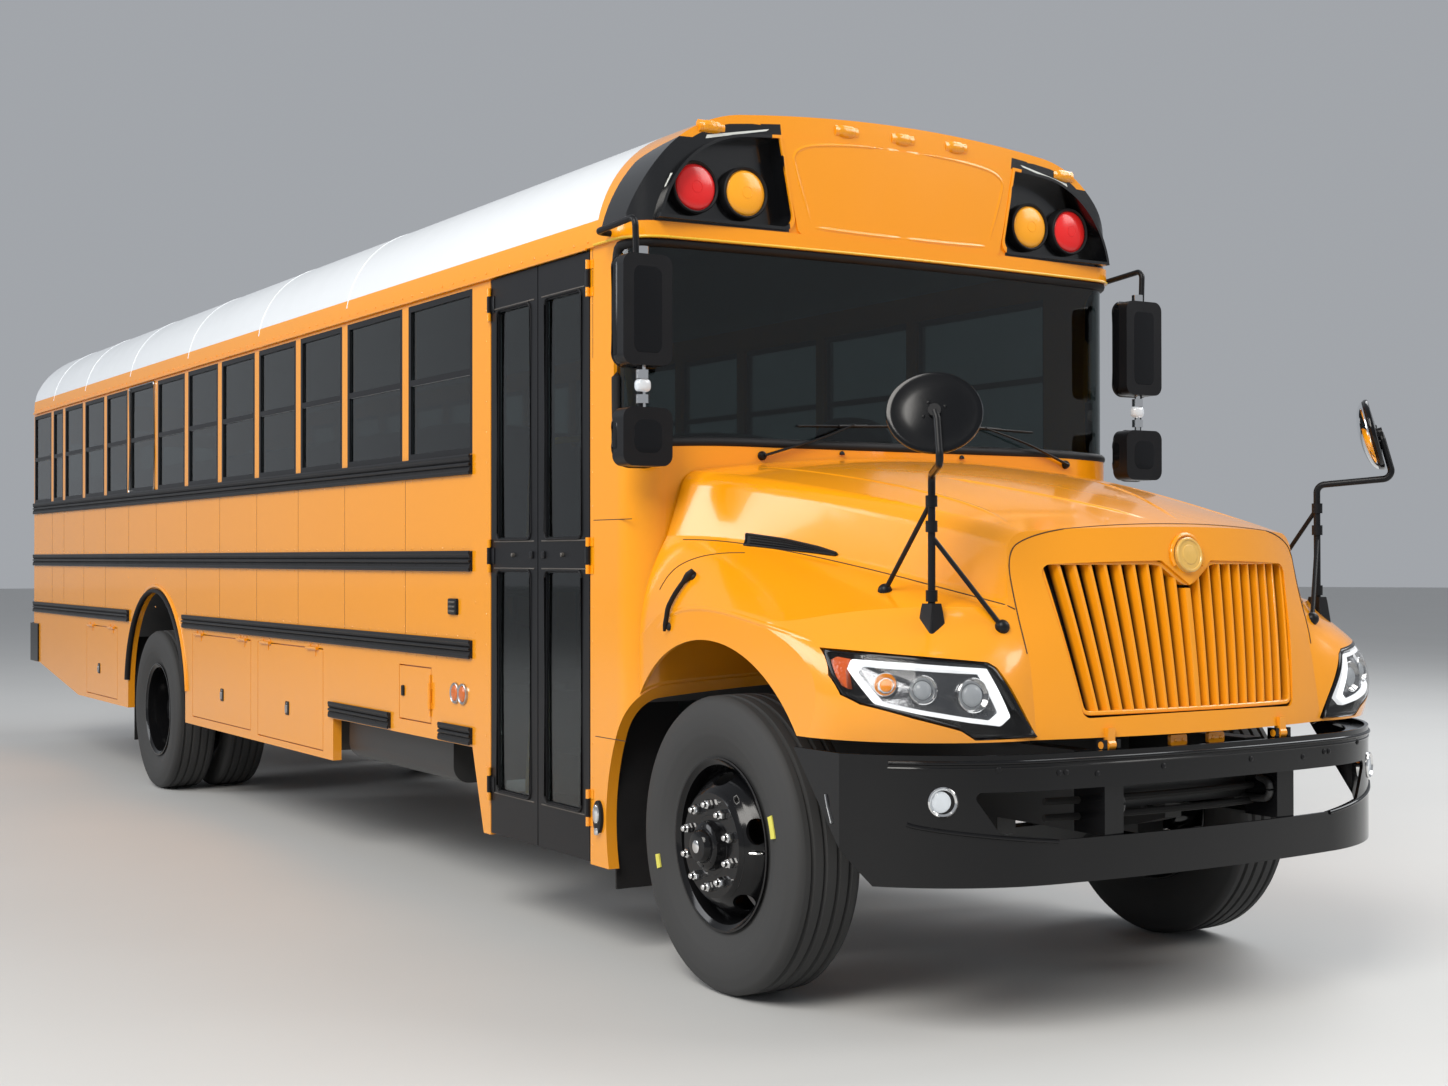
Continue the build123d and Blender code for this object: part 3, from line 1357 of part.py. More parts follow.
grille_lean = math.atan2(grille_face_lean, grille_top_height - grille_bottom_height)
grille_plane = Plane(
    origin=(front_axle_x + grille_face_reach, 0, grille_bottom_height),
    x_dir=(0, 1, 0),
    z_dir=(math.cos(grille_lean), 0, math.sin(grille_lean)),
)
grille_back = grille_plane.offset(-grille_depth - 150)
grille_height = (grille_top_height - grille_bottom_height) / math.cos(grille_lean)
headlamp_outline = [
    # distance in from the body's side, and height, seen from the front
    (28.0, 1236.0),
    (162.0, 1220.0),
    (394.0, 1196.0),
    (420.0, 1179.0),
    (556.0, 958.0),
    (334.0, 956.0),
    (288.0, 986.0),
    (163.0, 1024.0),
    (51.0, 1065.0),
    (23.0, 1092.0),
    (14.0, 1152.0),
]


def grille_outline(sketch, shrink):
    """Outline of the grille on its plane, wider at its top, with a notch for the badge."""
    Polygon(
        (shrink - grille_bottom_half_width, shrink),
        (grille_bottom_half_width - shrink, shrink),
        (grille_top_half_width - shrink, grille_height - shrink),
        (shrink - grille_top_half_width, grille_height - shrink),
        align=None,
    )
    fillet(sketch.vertices(), grille_corner_radius)
    Polygon(
        (-grille_notch_half_width - shrink, grille_height + 1),
        (0, grille_height - grille_notch_depth - shrink),
        (grille_notch_half_width + shrink, grille_height + 1),
        align=None,
        mode=Mode.SUBTRACT,
    )


def headlamp_prism(side, shrink):
    """Front view of one headlamp, drawn in by shrink."""
    with BuildSketch(Plane.YZ.offset(front_axle_x + 400), mode=Mode.PRIVATE) as face:
        Polygon(*[(side * (half_width - inward), z) for inward, z in headlamp_outline], align=None)
        offset(amount=-shrink, kind=Kind.INTERSECTION)
    return face.sketch


hood_outer = hood_form(0)
hood_inner = hood_form(hood_shell)
with BuildPart() as hood:
    add(hood_outer)
    add(hood_inner, mode=Mode.SUBTRACT)
    block(cowl_x - 200, nose_x, -body_width, body_width, hood_floor - 1, nose_bottom, mode=Mode.SUBTRACT)
    rod(front_axle_x, -half_width, wheel_height, front_arch_radius, body_width, (0, 1, 0), mode=Mode.SUBTRACT)
    with BuildSketch(grille_back, mode=Mode.PRIVATE) as opening:
        grille_outline(opening, 0)
    extrude(opening.sketch, amount=400, mode=Mode.SUBTRACT)
    for side in (-1, 1):
        extrude(headlamp_prism(side, 0), amount=800, mode=Mode.SUBTRACT)
        lug_y = side * hood_pivot_y
        rod(
            hood_pivot_x, lug_y - hood_lug_width / 2, hood_pivot_height,
            hood_lug_radius, hood_lug_width, (0, 1, 0),
        )
        rod(
            hood_pivot_x, lug_y - hood_pin_half, hood_pivot_height,
            hood_pin_radius, 2 * hood_pin_half, (0, 1, 0),
        )
        block(
            hood_pivot_x - hood_pin_radius, hood_pivot_x + hood_pin_radius,
            lug_y - hood_lug_width / 2, lug_y + hood_lug_width / 2,
            hood_pivot_height + hood_pin_radius, nose_bottom + hood_lug_width,
        )
hood.part.label = "hood"
export_step(hood.part, "parts/hood.step")

# Grille: a frame and upright bars that draw together towards the bottom, bowed like the nose
with BuildPart() as grille:
    with BuildSketch(grille_back, mode=Mode.PRIVATE) as pattern:
        grille_outline(pattern, gap)
        openings = grille_bars + 1
        half_bar = grille_bar_width / 2
        notch_slope = grille_notch_depth / grille_notch_half_width
        low = grille_bottom_half_width - grille_frame_width
        high = grille_top_half_width - grille_frame_width
        for slot in range(openings):
            left = -1 + 2 * slot / openings
            right = left + 2 / openings
            nearest = min(abs(left), abs(right)) * high
            notch = max(0, grille_notch_depth - nearest * notch_slope)
            slot_top = grille_height - grille_frame_width - notch
            spread = low + (high - low) * slot_top / grille_height
            Polygon(
                (left * low + half_bar, grille_frame_width),
                (right * low - half_bar, grille_frame_width),
                (right * spread - half_bar, slot_top),
                (left * spread + half_bar, slot_top),
                align=None,
                mode=Mode.SUBTRACT,
            )
    extrude(pattern.sketch, amount=400)
    add(hood_form(grille_recess), mode=Mode.INTERSECT)
    add(hood_form(grille_recess + grille_depth), mode=Mode.SUBTRACT)
grille.part.label = "grille"
export_step(grille.part, "parts/grille.step")

# Headlamps: swept lenses filling their openings in the fenders
lamp_inset = 3.0
lamp_body_depth = 60.0
with BuildPart() as headlamps:
    for side in (-1, 1):
        extrude(headlamp_prism(side, gap), amount=800)
    add(hood_form(lamp_inset), mode=Mode.INTERSECT)
    add(hood_form(lamp_body_depth), mode=Mode.SUBTRACT)
headlamps.part.label = "headlamps"
export_step(headlamps.part, "parts/headlamps.step")

# Mirrors on the hood: a domed oval head on a braced mast above each fender
mast_x = front_axle_x + 880.0
mast_y = 893.0
mast_foot = 1230.0
mast_base_top = 1376.0
mast_top = 1785.0
mast_radius = 12.0
brace_radius = 8.0
mirror_braces = [
    # height on the mast, then x from the axle, y and height of the foot
    (1590.0, 1010.0, 714.0, 1302.0),
    (1700.0, 631.0, 891.0, 1413.0),
]
cross_arm = [
    # x from the axle, y, height
    (880.0, 892.0, mast_top),
    (1105.0, 1036.0, 1806.0),
    (1070.0, 1020.0, 1945.0),
]
cross_head_x = front_axle_x + 1035.0
cross_head_y = 1003.0
cross_head_height = 1963.0
cross_head_long = 145.0  # half axes of the oval head
cross_head_short = 128.0
cross_head_toe = 38.0
cross_head_tilt = 14.0
cross_head_rim = 14.0
cross_head_rings = [
    # along the head's axis, share of the half axes
    (cross_head_rim, 1.0),
    (0.0, 1.0),
    (-14.0, 0.93),
    (-26.0, 0.78),
    (-36.0, 0.54),
    (-42.0, 0.22),
]
cross_boss_radius = 20.0  # where the arm is screwed to the head
cross_boss_reach = 28.0


def brace(start, end, radius):
    """Straight bar between two points."""
    rod(*start, radius, math.dist(start, end), tuple(b - a for a, b in zip(start, end)))


with BuildPart() as hood_mirrors:
    for side in (-1, 1):
        with BuildSketch(Plane.XY.offset(mast_foot), mode=Mode.PRIVATE) as foot:
            with Locations((mast_x, side * mast_y)):
                RectangleRounded(96, 84, 20)
        extrude(foot.sketch, amount=mast_base_top - mast_foot, taper=9)
        mast_point = (mast_x, side * mast_y)
        for height, foot_x, foot_y, foot_z in mirror_braces:
            foot_point = (front_axle_x + foot_x, side * foot_y, foot_z)
            brace((*mast_point, height), foot_point, brace_radius)
            with Locations(foot_point):
                Sphere(3 * brace_radius)
        arm = [(*mast_point, mast_base_top - 10)]
        arm = arm + [(front_axle_x + x, side * y, z) for x, y, z in cross_arm]
        tube_path(arm, mast_radius, 30)
        toe = math.radians(cross_head_toe)
        tilt = math.radians(cross_head_tilt)
        back = (math.cos(toe) * math.cos(tilt), side * math.sin(toe) * math.cos(tilt), math.sin(tilt))
        across_head = (-math.sin(toe), side * math.cos(toe), 0)
        head_plane = Plane(
            origin=(cross_head_x, side * cross_head_y, cross_head_height), x_dir=across_head, z_dir=back
        )
        rings = []
        for reach, share in cross_head_rings:
            with BuildSketch(head_plane.offset(reach), mode=Mode.PRIVATE) as ring:
                Ellipse(share * cross_head_long, share * cross_head_short)
            rings.append(ring.sketch)
        loft(sections=rings, ruled=True)
        head_centre = (cross_head_x, side * cross_head_y, cross_head_height)
        boss_foot, boss_middle = (
            tuple(c + reach * b for c, b in zip(head_centre, back)) for reach in (cross_head_rim - 2, 30)
        )
        rod(*boss_foot, cross_boss_radius, cross_boss_reach, back)
        brace(arm[-1], boss_middle, mast_radius)
        with Locations(arm[-1]):
            Sphere(mast_radius)
    add(hood_outer, mode=Mode.SUBTRACT)
hood_mirrors.part.label = "hood_mirrors"
export_step(hood_mirrors.part, "parts/hood_mirrors.step")

# Side mirrors: flat head above a convex head on bent arms from the windshield pillars
mirror_x = front_axle_x - 387.0
mirror_y = 1229.0
mirror_width = 205.0
mirror_thickness = 85.0
flat_head = (2221.0, 2625.0)
convex_head = (1855.0, 2068.0)
stalk_radius = 12.0
arm_root_height = eave_height + cap_lip_height / 2
arm_root_y = half_width + cap_lip_standout
with BuildPart() as side_mirrors:
    for side in (-1, 1):
        for low, high in (flat_head, convex_head):
            with BuildSketch(Plane.YZ.offset(mirror_x - mirror_thickness / 2)) as head:
                with Locations((side * mirror_y, (low + high) / 2)):
                    RectangleRounded(mirror_width, high - low, 40)
            extrude(head.sketch, amount=mirror_thickness)
        arm = [
            (cowl_x - 160, side * arm_root_y, arm_root_height),
            (cowl_x - 160, side * (arm_root_y + 60), arm_root_height),
            (mirror_x, side * (mirror_y + 30), arm_root_height + 20),
            (mirror_x, side * mirror_y, convex_head[0] + 60),
        ]
        tube_path(arm, stalk_radius, 30)
side_mirrors.part.label = "side_mirrors"
export_step(side_mirrors.part, "parts/side_mirrors.step")

# Bumpers: pressed plates that wrap round the corners
bumper_plan_points = [
    # how far the face falls back from the middle, and half width there
    (34.0, 608.0),
    (164.0, 974.5),
    (400.0, half_width - 8),
]
bumper_end_x = front_axle_x + 555.0
bumper_end_foot_x = front_axle_x + 890.0
bumper_lip = 60.0
bumper_lip_drop = 16.0  # below the top edge
bumper_rail_drop = 40.0  # the rails pass under the lip
bumper_opening = [
    # half width and height of the opening's corners
    (900.0, 798.0),
    (815.0, 668.0),
    (600.0, 642.0),
]


def bumper_outline(inset, height):
    """Front bumper seen from above, drawn in by inset."""
    face = nose_x - inset
    near, bend, far = [(face - back, y - inset * y / half_width) for back, y in bumper_plan_points]
    end = (bumper_end_x - 20, half_width - inset)
    with BuildSketch(Plane.XY.offset(height), mode=Mode.PRIVATE) as plan:
        with BuildLine():
            ThreePointArc((near[0], -near[1]), (face, 0), near)
            ThreePointArc(near, bend, far)
            Line(far, end)
            Line(end, (end[0], -end[1]))
            Line((end[0], -end[1]), (far[0], -far[1]))
            ThreePointArc((far[0], -far[1]), (bend[0], -bend[1]), (near[0], -near[1]))
        make_face()
    return plan.sketch


with BuildPart() as front_bumper:
    lip_top = bumper_top - bumper_lip_drop
    extrude(bumper_outline(0, bumper_bottom), amount=bumper_top - bumper_bottom)
    extrude(bumper_outline(bumper_lip, bumper_bottom), amount=bumper_top - bumper_bottom, mode=Mode.SUBTRACT)
    extrude(
        bumper_outline(bumper_plate, bumper_bottom), amount=lip_top - bumper_plate - bumper_bottom,
        mode=Mode.SUBTRACT,
    )
    extrude(bumper_outline(bumper_plate, lip_top), amount=bumper_lip_drop, mode=Mode.SUBTRACT)
    side_panel(
        [
            (bumper_end_x - 40, bumper_bottom - 1),
            (bumper_end_foot_x, bumper_bottom - 1),
            (bumper_end_x, bumper_top + 1),
            (bumper_end_x - 40, bumper_top + 1),
        ],
        -body_width, body_width, mode=Mode.SUBTRACT,
    )
    with BuildSketch(Plane.YZ.offset(bumper_end_foot_x), mode=Mode.PRIVATE) as opening:
        Polygon(*bumper_opening, *[(-y, z) for y, z in bumper_opening[::-1]], align=None)
        fillet(opening.vertices(), 18)
    extrude(opening.sketch, amount=400, mode=Mode.SUBTRACT)
    for side in (-1, 1):
        near, far = sorted((side * rail_outer, side * (rail_outer - rail_flange)))
        block(frame_front_x, nose_x - 28, near, far, rail_bottom, rail_top - bumper_rail_drop)
        for cheek in (-1, 1):
            middle = side * hood_pivot_y + cheek * (hood_pin_half - hood_cheek_width / 2)
            block(
                hood_pivot_x - 2 * hood_pin_radius, hood_pivot_x + 14,
                middle - hood_cheek_width / 2, middle + hood_cheek_width / 2,
                rail_top - bumper_rail_drop - 1, hood_pivot_height + 1.45 * hood_pin_radius,
            )
        rod(
            hood_pivot_x, side * hood_pivot_y - hood_pin_half, hood_pivot_height,
            hood_pin_radius + hood_pin_clearance, 2 * hood_pin_half, (0, 1, 0), mode=Mode.SUBTRACT,
        )
front_bumper.part.label = "front_bumper"
export_step(front_bumper.part, "parts/front_bumper.step")

rear_wrap_x = front_axle_x - 10525.0
rear_bumper_side = 12.0
rear_bumper_corner = 110.0
bumper_bracket_height = 60.0


def rear_bumper_plan(inset):
    """Rear bumper seen from above, drawn in by inset."""
    side = half_width + rear_bumper_side - inset
    with BuildSketch(Plane.XY.offset(rear_bumper_bottom), mode=Mode.PRIVATE) as plan:
        with Locations((tail_x + inset, 0)):
            Rectangle(rear_wrap_x - tail_x - inset, 2 * side, align=(Align.MIN, Align.CENTER))
        fillet(plan.vertices().group_by(Axis.X)[0], rear_bumper_corner - inset)
    return plan.sketch


with BuildPart() as rear_bumper:
    extrude(rear_bumper_plan(0), amount=rear_bumper_top - rear_bumper_bottom)
    extrude(rear_bumper_plan(bumper_plate), amount=rear_bumper_top - rear_bumper_bottom, mode=Mode.SUBTRACT)
    bracket_front_x = body_rear_x - gap
    bracket_top = rear_bumper_bottom + bumper_bracket_height
    for side in (-1, 1):
        near, far = sorted((side * rail_outer, side * (rail_outer - rail_flange)))
        block(tail_x + bumper_plate, frame_end_x, near, far, rail_bottom, rear_skirt_bottom)
        block(tail_x + bumper_plate, bracket_front_x, near, far, rail_bottom, bracket_top)
    with Locations(Plane(origin=(tail_x, 0, plate_height), z_dir=(-1, 0, 0))):
        with GridLocations(plate_hole_spacing_up, plate_hole_spacing_across, 2, 2):
            Hole(plate_hole_radius, depth=2 * bumper_plate)
rear_bumper.part.label = "rear_bumper"
export_step(rear_bumper.part, "parts/rear_bumper.step")
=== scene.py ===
"""School bus: finishes and fittings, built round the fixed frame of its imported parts."""

import math
from functools import partial

import bmesh
import bpy
import numpy as np
from bpy.props import FloatProperty, FloatVectorProperty, IntProperty, PointerProperty
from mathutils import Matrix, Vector
from mathutils.bvhtree import BVHTree


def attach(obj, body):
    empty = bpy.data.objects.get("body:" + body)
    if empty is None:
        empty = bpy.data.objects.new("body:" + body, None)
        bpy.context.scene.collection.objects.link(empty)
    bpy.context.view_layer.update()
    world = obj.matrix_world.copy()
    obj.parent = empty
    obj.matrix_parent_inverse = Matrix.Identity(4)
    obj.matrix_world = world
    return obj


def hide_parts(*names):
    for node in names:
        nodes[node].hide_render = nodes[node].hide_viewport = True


bl_info = {
    "name": "School bus fittings",
    "version": (1, 0, 0),
    "blender": (4, 5, 0),
    "location": "View3D > Sidebar > School bus",
    "description": "Finishes and fittings for a school bus",
    "category": "Object",
}

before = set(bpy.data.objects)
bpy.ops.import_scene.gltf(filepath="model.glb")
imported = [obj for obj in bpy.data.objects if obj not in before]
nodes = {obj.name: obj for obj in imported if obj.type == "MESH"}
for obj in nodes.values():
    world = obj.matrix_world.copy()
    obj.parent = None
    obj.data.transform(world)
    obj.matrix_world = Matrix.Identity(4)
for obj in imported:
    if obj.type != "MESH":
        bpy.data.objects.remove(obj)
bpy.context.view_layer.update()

# Places in metres, the same as in the part's source
FRONT_AXLE = 4.85
REAR_AXLE = -2.16
WHEEL_HEIGHT = 0.521
HALF_WIDTH = 1.204
STOP_FACE = HALF_WIDTH + 0.019
REAR_WALL = -5.921
WALL_FRONT = 2.912
EAVE = 2.714
HALF_POST = 0.0375
BAYS = [0.797] * 2 + [0.7] * 6 + [0.65] * 3 + [0.404, 0.685]
X, Y, Z = np.eye(3)


# Settings


def colour(name, description, default):
    """Setting for a colour."""
    return FloatVectorProperty(
        name=name, description=description, subtype="COLOR", min=0, max=1, default=default,
    )


class FinishSettings(bpy.types.PropertyGroup):
    """Colours of the bus and how used it looks."""

    body: colour("Body", "Colour of the body paint", (0.86, 0.315, 0.003))
    roof: colour("Roof", "Colour of the roof paint", (0.8, 0.83, 0.86))
    trim: colour("Trim", "Colour of the black paint", (0.003, 0.0032, 0.004))
    tint: colour("Glass", "Colour seen through the panes", (0.17, 0.21, 0.21))
    seat: colour("Benches", "Colour of the bench covers", (0.016, 0.022, 0.035))
    dust: FloatProperty(
        name="Dust", description="Road dust on the lower body", subtype="FACTOR", min=0, max=1, default=0.16,
    )


class FittingSettings(bpy.types.PropertyGroup):
    """Sizes of the small fittings."""

    rivet: FloatProperty(
        name="Rivet", description="Radius of a rivet's head", unit="LENGTH", min=0.002, default=0.0055,
    )
    rivet_pitch: FloatProperty(
        name="Rivet pitch", description="Distance between rivets", unit="LENGTH", min=0.02, default=0.117,
    )
    seam: FloatProperty(
        name="Seam", description="Radius of the dark line in a panel gap", unit="LENGTH", min=0.0005,
        default=0.0022,
    )
    groove: FloatProperty(
        name="Tread groove", description="Depth of the grooves round a tyre", unit="LENGTH", min=0.002,
        default=0.013,
    )
    hand_holes: IntProperty(
        name="Hand holes", description="Openings in a wheel's disc", min=2, max=12, default=5,
    )


class StudioSettings(bpy.types.PropertyGroup):
    """Floor and light of the studio."""

    floor: colour("Floor", "Colour of the studio floor", (0.56, 0.56, 0.55))
    key: FloatProperty(
        name="Key light", description="Power of the main light", unit="POWER", min=0, default=2900,
    )
    sky: FloatProperty(
        name="Sky", description="Strength of the even light all round", min=0, default=0.42,
    )


# Shapes: every function gives points and faces worked out as whole arrays


def quads(rows, columns, closed_rows=False, closed_columns=False):
    """Faces between neighbours of a grid: (i, j), (i+1, j), (i+1, j+1), (i, j+1)."""
    i, j = np.meshgrid(
        np.arange(rows if closed_rows else rows - 1),
        np.arange(columns if closed_columns else columns - 1), indexing="ij",
    )
    k, m = (i + 1) % rows, (j + 1) % columns
    return np.stack(
        [i * columns + j, k * columns + j, k * columns + m, i * columns + m], -1,
    ).reshape(-1, 4).tolist()


def skin(points, closed_rows=False, closed_columns=True, ends=True):
    """Surface P(row, column) over a grid, its first and last rows closed by a face each."""
    rows, columns, _ = points.shape
    faces = quads(rows, columns, closed_rows, closed_columns)
    if ends and not closed_rows:
        faces += [list(range(columns)), list(range((rows - 1) * columns, rows * columns))]
    return points.reshape(-1, 3), faces


def unit(v):
    """Vectors divided by their lengths."""
    v = np.asarray(v, float)
    return v / np.maximum(np.linalg.norm(v, axis=-1, keepdims=True), 1e-12)


def across_of(axis):
    """Two directions square to an axis and to each other."""
    axis = unit(axis)
    first = unit(np.cross(axis, Z if abs(axis[2]) < 0.9 else X))
    return first, np.cross(axis, first)


def full_turn(count):
    """Angles spread evenly over a full turn."""
    return np.linspace(0, 2 * math.pi, count, endpoint=False)


def lathe(profile, centre, axis, steps=48, closed=False):
    """Turned form: C + a * axis + r * (cos t * e1 + sin t * e2) for each (a, r) of a profile."""
    profile = np.asarray(profile, float)
    e1, e2 = across_of(axis)
    t = full_turn(steps)
    circle = np.cos(t)[:, None] * e1 + np.sin(t)[:, None] * e2
    points = np.asarray(centre) + profile[:, None, :1] * unit(axis) + profile[:, None, 1:] * circle
    return skin(points, closed_rows=closed, ends=not closed)


def tube(path, radius, sides=10, flat=1.0):
    """Round bar: P(i) + r * (cos t * n + flat * sin t * b), square to the path at each of its points."""
    path = np.asarray(path, float)
    along = unit(np.gradient(path, axis=0))
    side = unit(np.cross(along, Z if abs(along[:, 2]).mean() < 0.8 else X))
    up = np.cross(side, along)
    t = full_turn(sides)
    radius = np.broadcast_to(radius, len(path))[:, None, None]
    ring = np.cos(t)[None, :, None] * side[:, None] + flat * np.sin(t)[None, :, None] * up[:, None]
    return skin(path[:, None] + radius * ring)


def bent(points, times=3):
    """Path with rounded corners: each pass keeps the points a quarter and three quarters along each run."""
    points = np.asarray(points, float)
    for _ in range(times):
        cut = np.stack([points[:-1] * 0.75 + points[1:] * 0.25, points[:-1] * 0.25 + points[1:] * 0.75], 1)
        points = np.concatenate([points[:1], cut.reshape(-1, points.shape[1]), points[-1:]])
    return points


def spread(points, count):
    """Path sampled at even distances, straight between its points."""
    points = np.asarray(points, float)
    far = np.concatenate([[0], np.cumsum(np.linalg.norm(np.diff(points, axis=0), axis=1))])
    at = np.linspace(0, far[-1], count)
    return np.stack([np.interp(at, far, points[:, k]) for k in range(points.shape[1])], 1)


def rounded(width, height, corner=0.0, centre=(0, 0), steps=5):
    """Rectangle outline with quarter circles of the corner radius."""
    corner = max(corner, 1e-5)
    t = np.linspace(0, math.pi / 2, steps)
    turns = [(1, 1, 0), (-1, 1, 1), (-1, -1, 2), (1, -1, 3)]
    runs = [
        np.stack([
            a * (width / 2 - corner) + corner * np.cos(t + q * math.pi / 2),
            b * (height / 2 - corner) + corner * np.sin(t + q * math.pi / 2),
        ], 1) for a, b, q in turns
    ]
    return np.concatenate(runs) + np.asarray(centre)


def oval(width, height, steps=40, centre=(0, 0)):
    """Ellipse outline (a * cos t, b * sin t)."""
    t = full_turn(steps)
    return np.stack([width * np.cos(t), height * np.sin(t)], 1) + np.asarray(centre)


def drawn_in(outline, by):
    """Closed outline moved inwards by a distance along the mean of its two edge normals."""
    outline = np.asarray(outline, float)
    edge = unit(np.roll(outline, -1, 0) - outline)
    area = np.sum(outline[:, 0] * np.roll(outline[:, 1], -1) - np.roll(outline[:, 0], -1) * outline[:, 1])
    normal = np.stack([edge[:, 1], -edge[:, 0]], 1) * np.sign(area)
    both = normal + np.roll(normal, 1, 0)
    both = both / np.maximum((both**2).sum(1, keepdims=True) / 2, 0.3)
    return outline - by * both


def rings_of(outline, levels, origin, u, v, w):
    """Rings O + a * u + b * v + h * w, of an outline of (a, b) drawn in by each level's first number."""
    flats = [(drawn_in(outline, by), h) for by, h in levels]
    return np.stack([np.asarray(origin) + flat[:, :1] * u + flat[:, 1:] * v + h * w for flat, h in flats])


def plate(outline, origin, u, v, w, depth, edge=0.002):
    """Plate O + a * u + b * v + h * w over an outline of (a, b), with a rounded front edge."""
    edge = min(edge, depth * 0.9)
    levels = [(0, 0), (0, depth - edge), (edge * 0.3, depth - edge * 0.3), (edge, depth)]
    return skin(rings_of(outline, levels, origin, u, v, w))


def on_side(outline, depth, base=HALF_WIDTH, edge=0.002):
    """Plate standing on the side wall of the entrance, its outline in (x, z)."""
    return plate(outline, (0, 0.002 - base, 0), X, Z, -Y, depth + 0.002, edge)


def on_end(x, toward, outline, depth, edge=0.002):
    """Plate on an upright face across the bus at x, its outline in (y, z)."""
    return plate(outline, (x - toward * 0.002, 0, 0), Y, Z, toward * X, depth + 0.002, edge)


def crowned(centre, half, power=0.32, steps=(18, 30), dish=0.0):
    """Cushion form: half sizes times signed powers of cos and sin, (cu^p * cv^p, cu^p * sv^p, su^p)."""
    u = np.linspace(-math.pi / 2, math.pi / 2, steps[0])[:, None]
    v = full_turn(steps[1])[None, :]
    turn = lambda value: np.sign(value) * np.abs(value) ** power
    x = turn(np.cos(u)) * turn(np.cos(v))
    y = turn(np.cos(u)) * turn(np.sin(v))
    z = turn(np.sin(u)) * (1 + dish * (1 - x**2) * (1 - y**2)) + 0 * v
    return skin(np.asarray(centre) + np.stack([x * half[0], y * half[1], z * half[2]], -1), ends=False)


def slab(top, bottom):
    """Closed sheet between two grids of the same size."""
    return skin(np.concatenate([top, bottom[:, ::-1]], axis=1))


def flipped(part):
    """Part mirrored to the other side of the bus."""
    return part[0] * np.array([1, -1, 1]), part[1]


def both_sides(parts):
    """Parts and their mirror images."""
    return parts + [flipped(p) for p in parts]


def around(part, count, centre, axis):
    """Copies of a part turned evenly about an axis: p' = p turned by 2 pi k / n."""
    axis = unit(axis)
    made = []
    for angle in np.arange(count) * 2 * math.pi / count:
        p = part[0] - np.asarray(centre)
        turned = (
            p * math.cos(angle) + np.cross(axis, p) * math.sin(angle)
            + (p @ axis)[:, None] * axis * (1 - math.cos(angle))
        )
        made.append((turned + np.asarray(centre), part[1]))
    return made


def dots(places, normal, radius, height=None, sides=10):
    """Domed heads at many places: rings of radius r * cos(q) raised by h * sin(q)."""
    places = np.asarray(places, float).reshape(-1, 3)
    height = radius * 0.45 if height is None else height
    q = np.array([-0.25, 0.0, 0.5, 1.0, 1.45])
    e1, e2 = across_of(normal)
    t = full_turn(sides)
    ring = np.cos(t)[:, None] * e1 + np.sin(t)[:, None] * e2
    heads = radius * np.cos(q)[:, None, None] * ring + height * np.sin(q)[:, None, None] * unit(normal)
    points = places[:, None, None] + heads
    first = np.arange(len(places))[:, None] * len(q) * sides
    many = first[..., None] + np.array(quads(len(q), sides, False, True))
    tops = first + np.arange(sides) + (len(q) - 1) * sides
    foot = first + np.arange(sides)
    return points.reshape(-1, 3), many.reshape(-1, 4).tolist() + tops.tolist() + foot.tolist()


def surface_of(*names, heart=None):
    """Tester of some nodes' surfaces, and a place inside them that their outer faces are seen from."""
    points, faces, start = [], [], 0
    for name in names:
        mesh = nodes[name].data
        mesh.calc_loop_triangles()
        place = np.empty(3 * len(mesh.vertices))
        corners = np.empty(3 * len(mesh.loop_triangles), np.int32)
        mesh.vertices.foreach_get("co", place)
        mesh.loop_triangles.foreach_get("vertices", corners)
        points.append(place.reshape(-1, 3))
        faces.append(corners.reshape(-1, 3) + start)
        start += len(mesh.vertices)
    tree = BVHTree.FromPolygons(np.concatenate(points).tolist(), np.concatenate(faces).tolist())
    return tree, heart


def hits(surface, starts, directions):
    """Where rays first meet a surface, and the outward normals there; NaN for a miss."""
    found = [surface[0].ray_cast(Vector(p), Vector(d)) for p, d in zip(starts, directions)]
    gap = Vector((math.nan,) * 3)
    place = np.array([f[0] if f[0] is not None else gap for f in found])
    normal = np.array([f[1] if f[0] is not None else gap for f in found])
    return place, normal * -np.sign((normal * directions).sum(1, keepdims=True))


def settled(surface, points, lift=0.0):
    """Points moved along their lines from the heart to the outer face, or without a heart to the nearest
    place, and raised along the normal; also the normals."""
    points = np.asarray(points, float)
    flat = points.reshape(-1, 3)
    near = [surface[0].find_nearest(Vector(p)) for p in flat]
    place, normal = (np.array([f[k] for f in near]) for k in (0, 1))
    if surface[1] is not None:
        out = unit(flat - np.asarray(surface[1]))
        seen, facing = hits(surface, flat + 0.4 * out, -out)
        good = np.isfinite(seen[:, 0]) & (np.linalg.norm(seen - flat, axis=1) < 0.12)
        place, normal = np.where(good[:, None], seen, place), np.where(good[:, None], facing, normal)
    normal = unit(normal)
    return (place + lift * normal).reshape(points.shape), normal.reshape(points.shape)


def cast(surface, points, direction=(-1, 0, 0)):
    """Where rays from points, towards the rear unless told, meet a surface; a miss keeps its start."""
    points = np.asarray(points, float)
    flat = points.reshape(-1, 3)
    place, _ = hits(surface, flat, np.broadcast_to(np.asarray(direction, float), flat.shape))
    return np.where(np.isfinite(place), place, flat).reshape(points.shape)


def places_at(x, y, z):
    """Places from their coordinates, each an array or one number for all of them."""
    return np.stack(np.broadcast_arrays(x, y, z), -1).astype(float)


def closed_loop(points, count):
    """Closed outline sampled at even distances."""
    return spread(np.concatenate([points, points[:1]]), count + 1)[:-1]


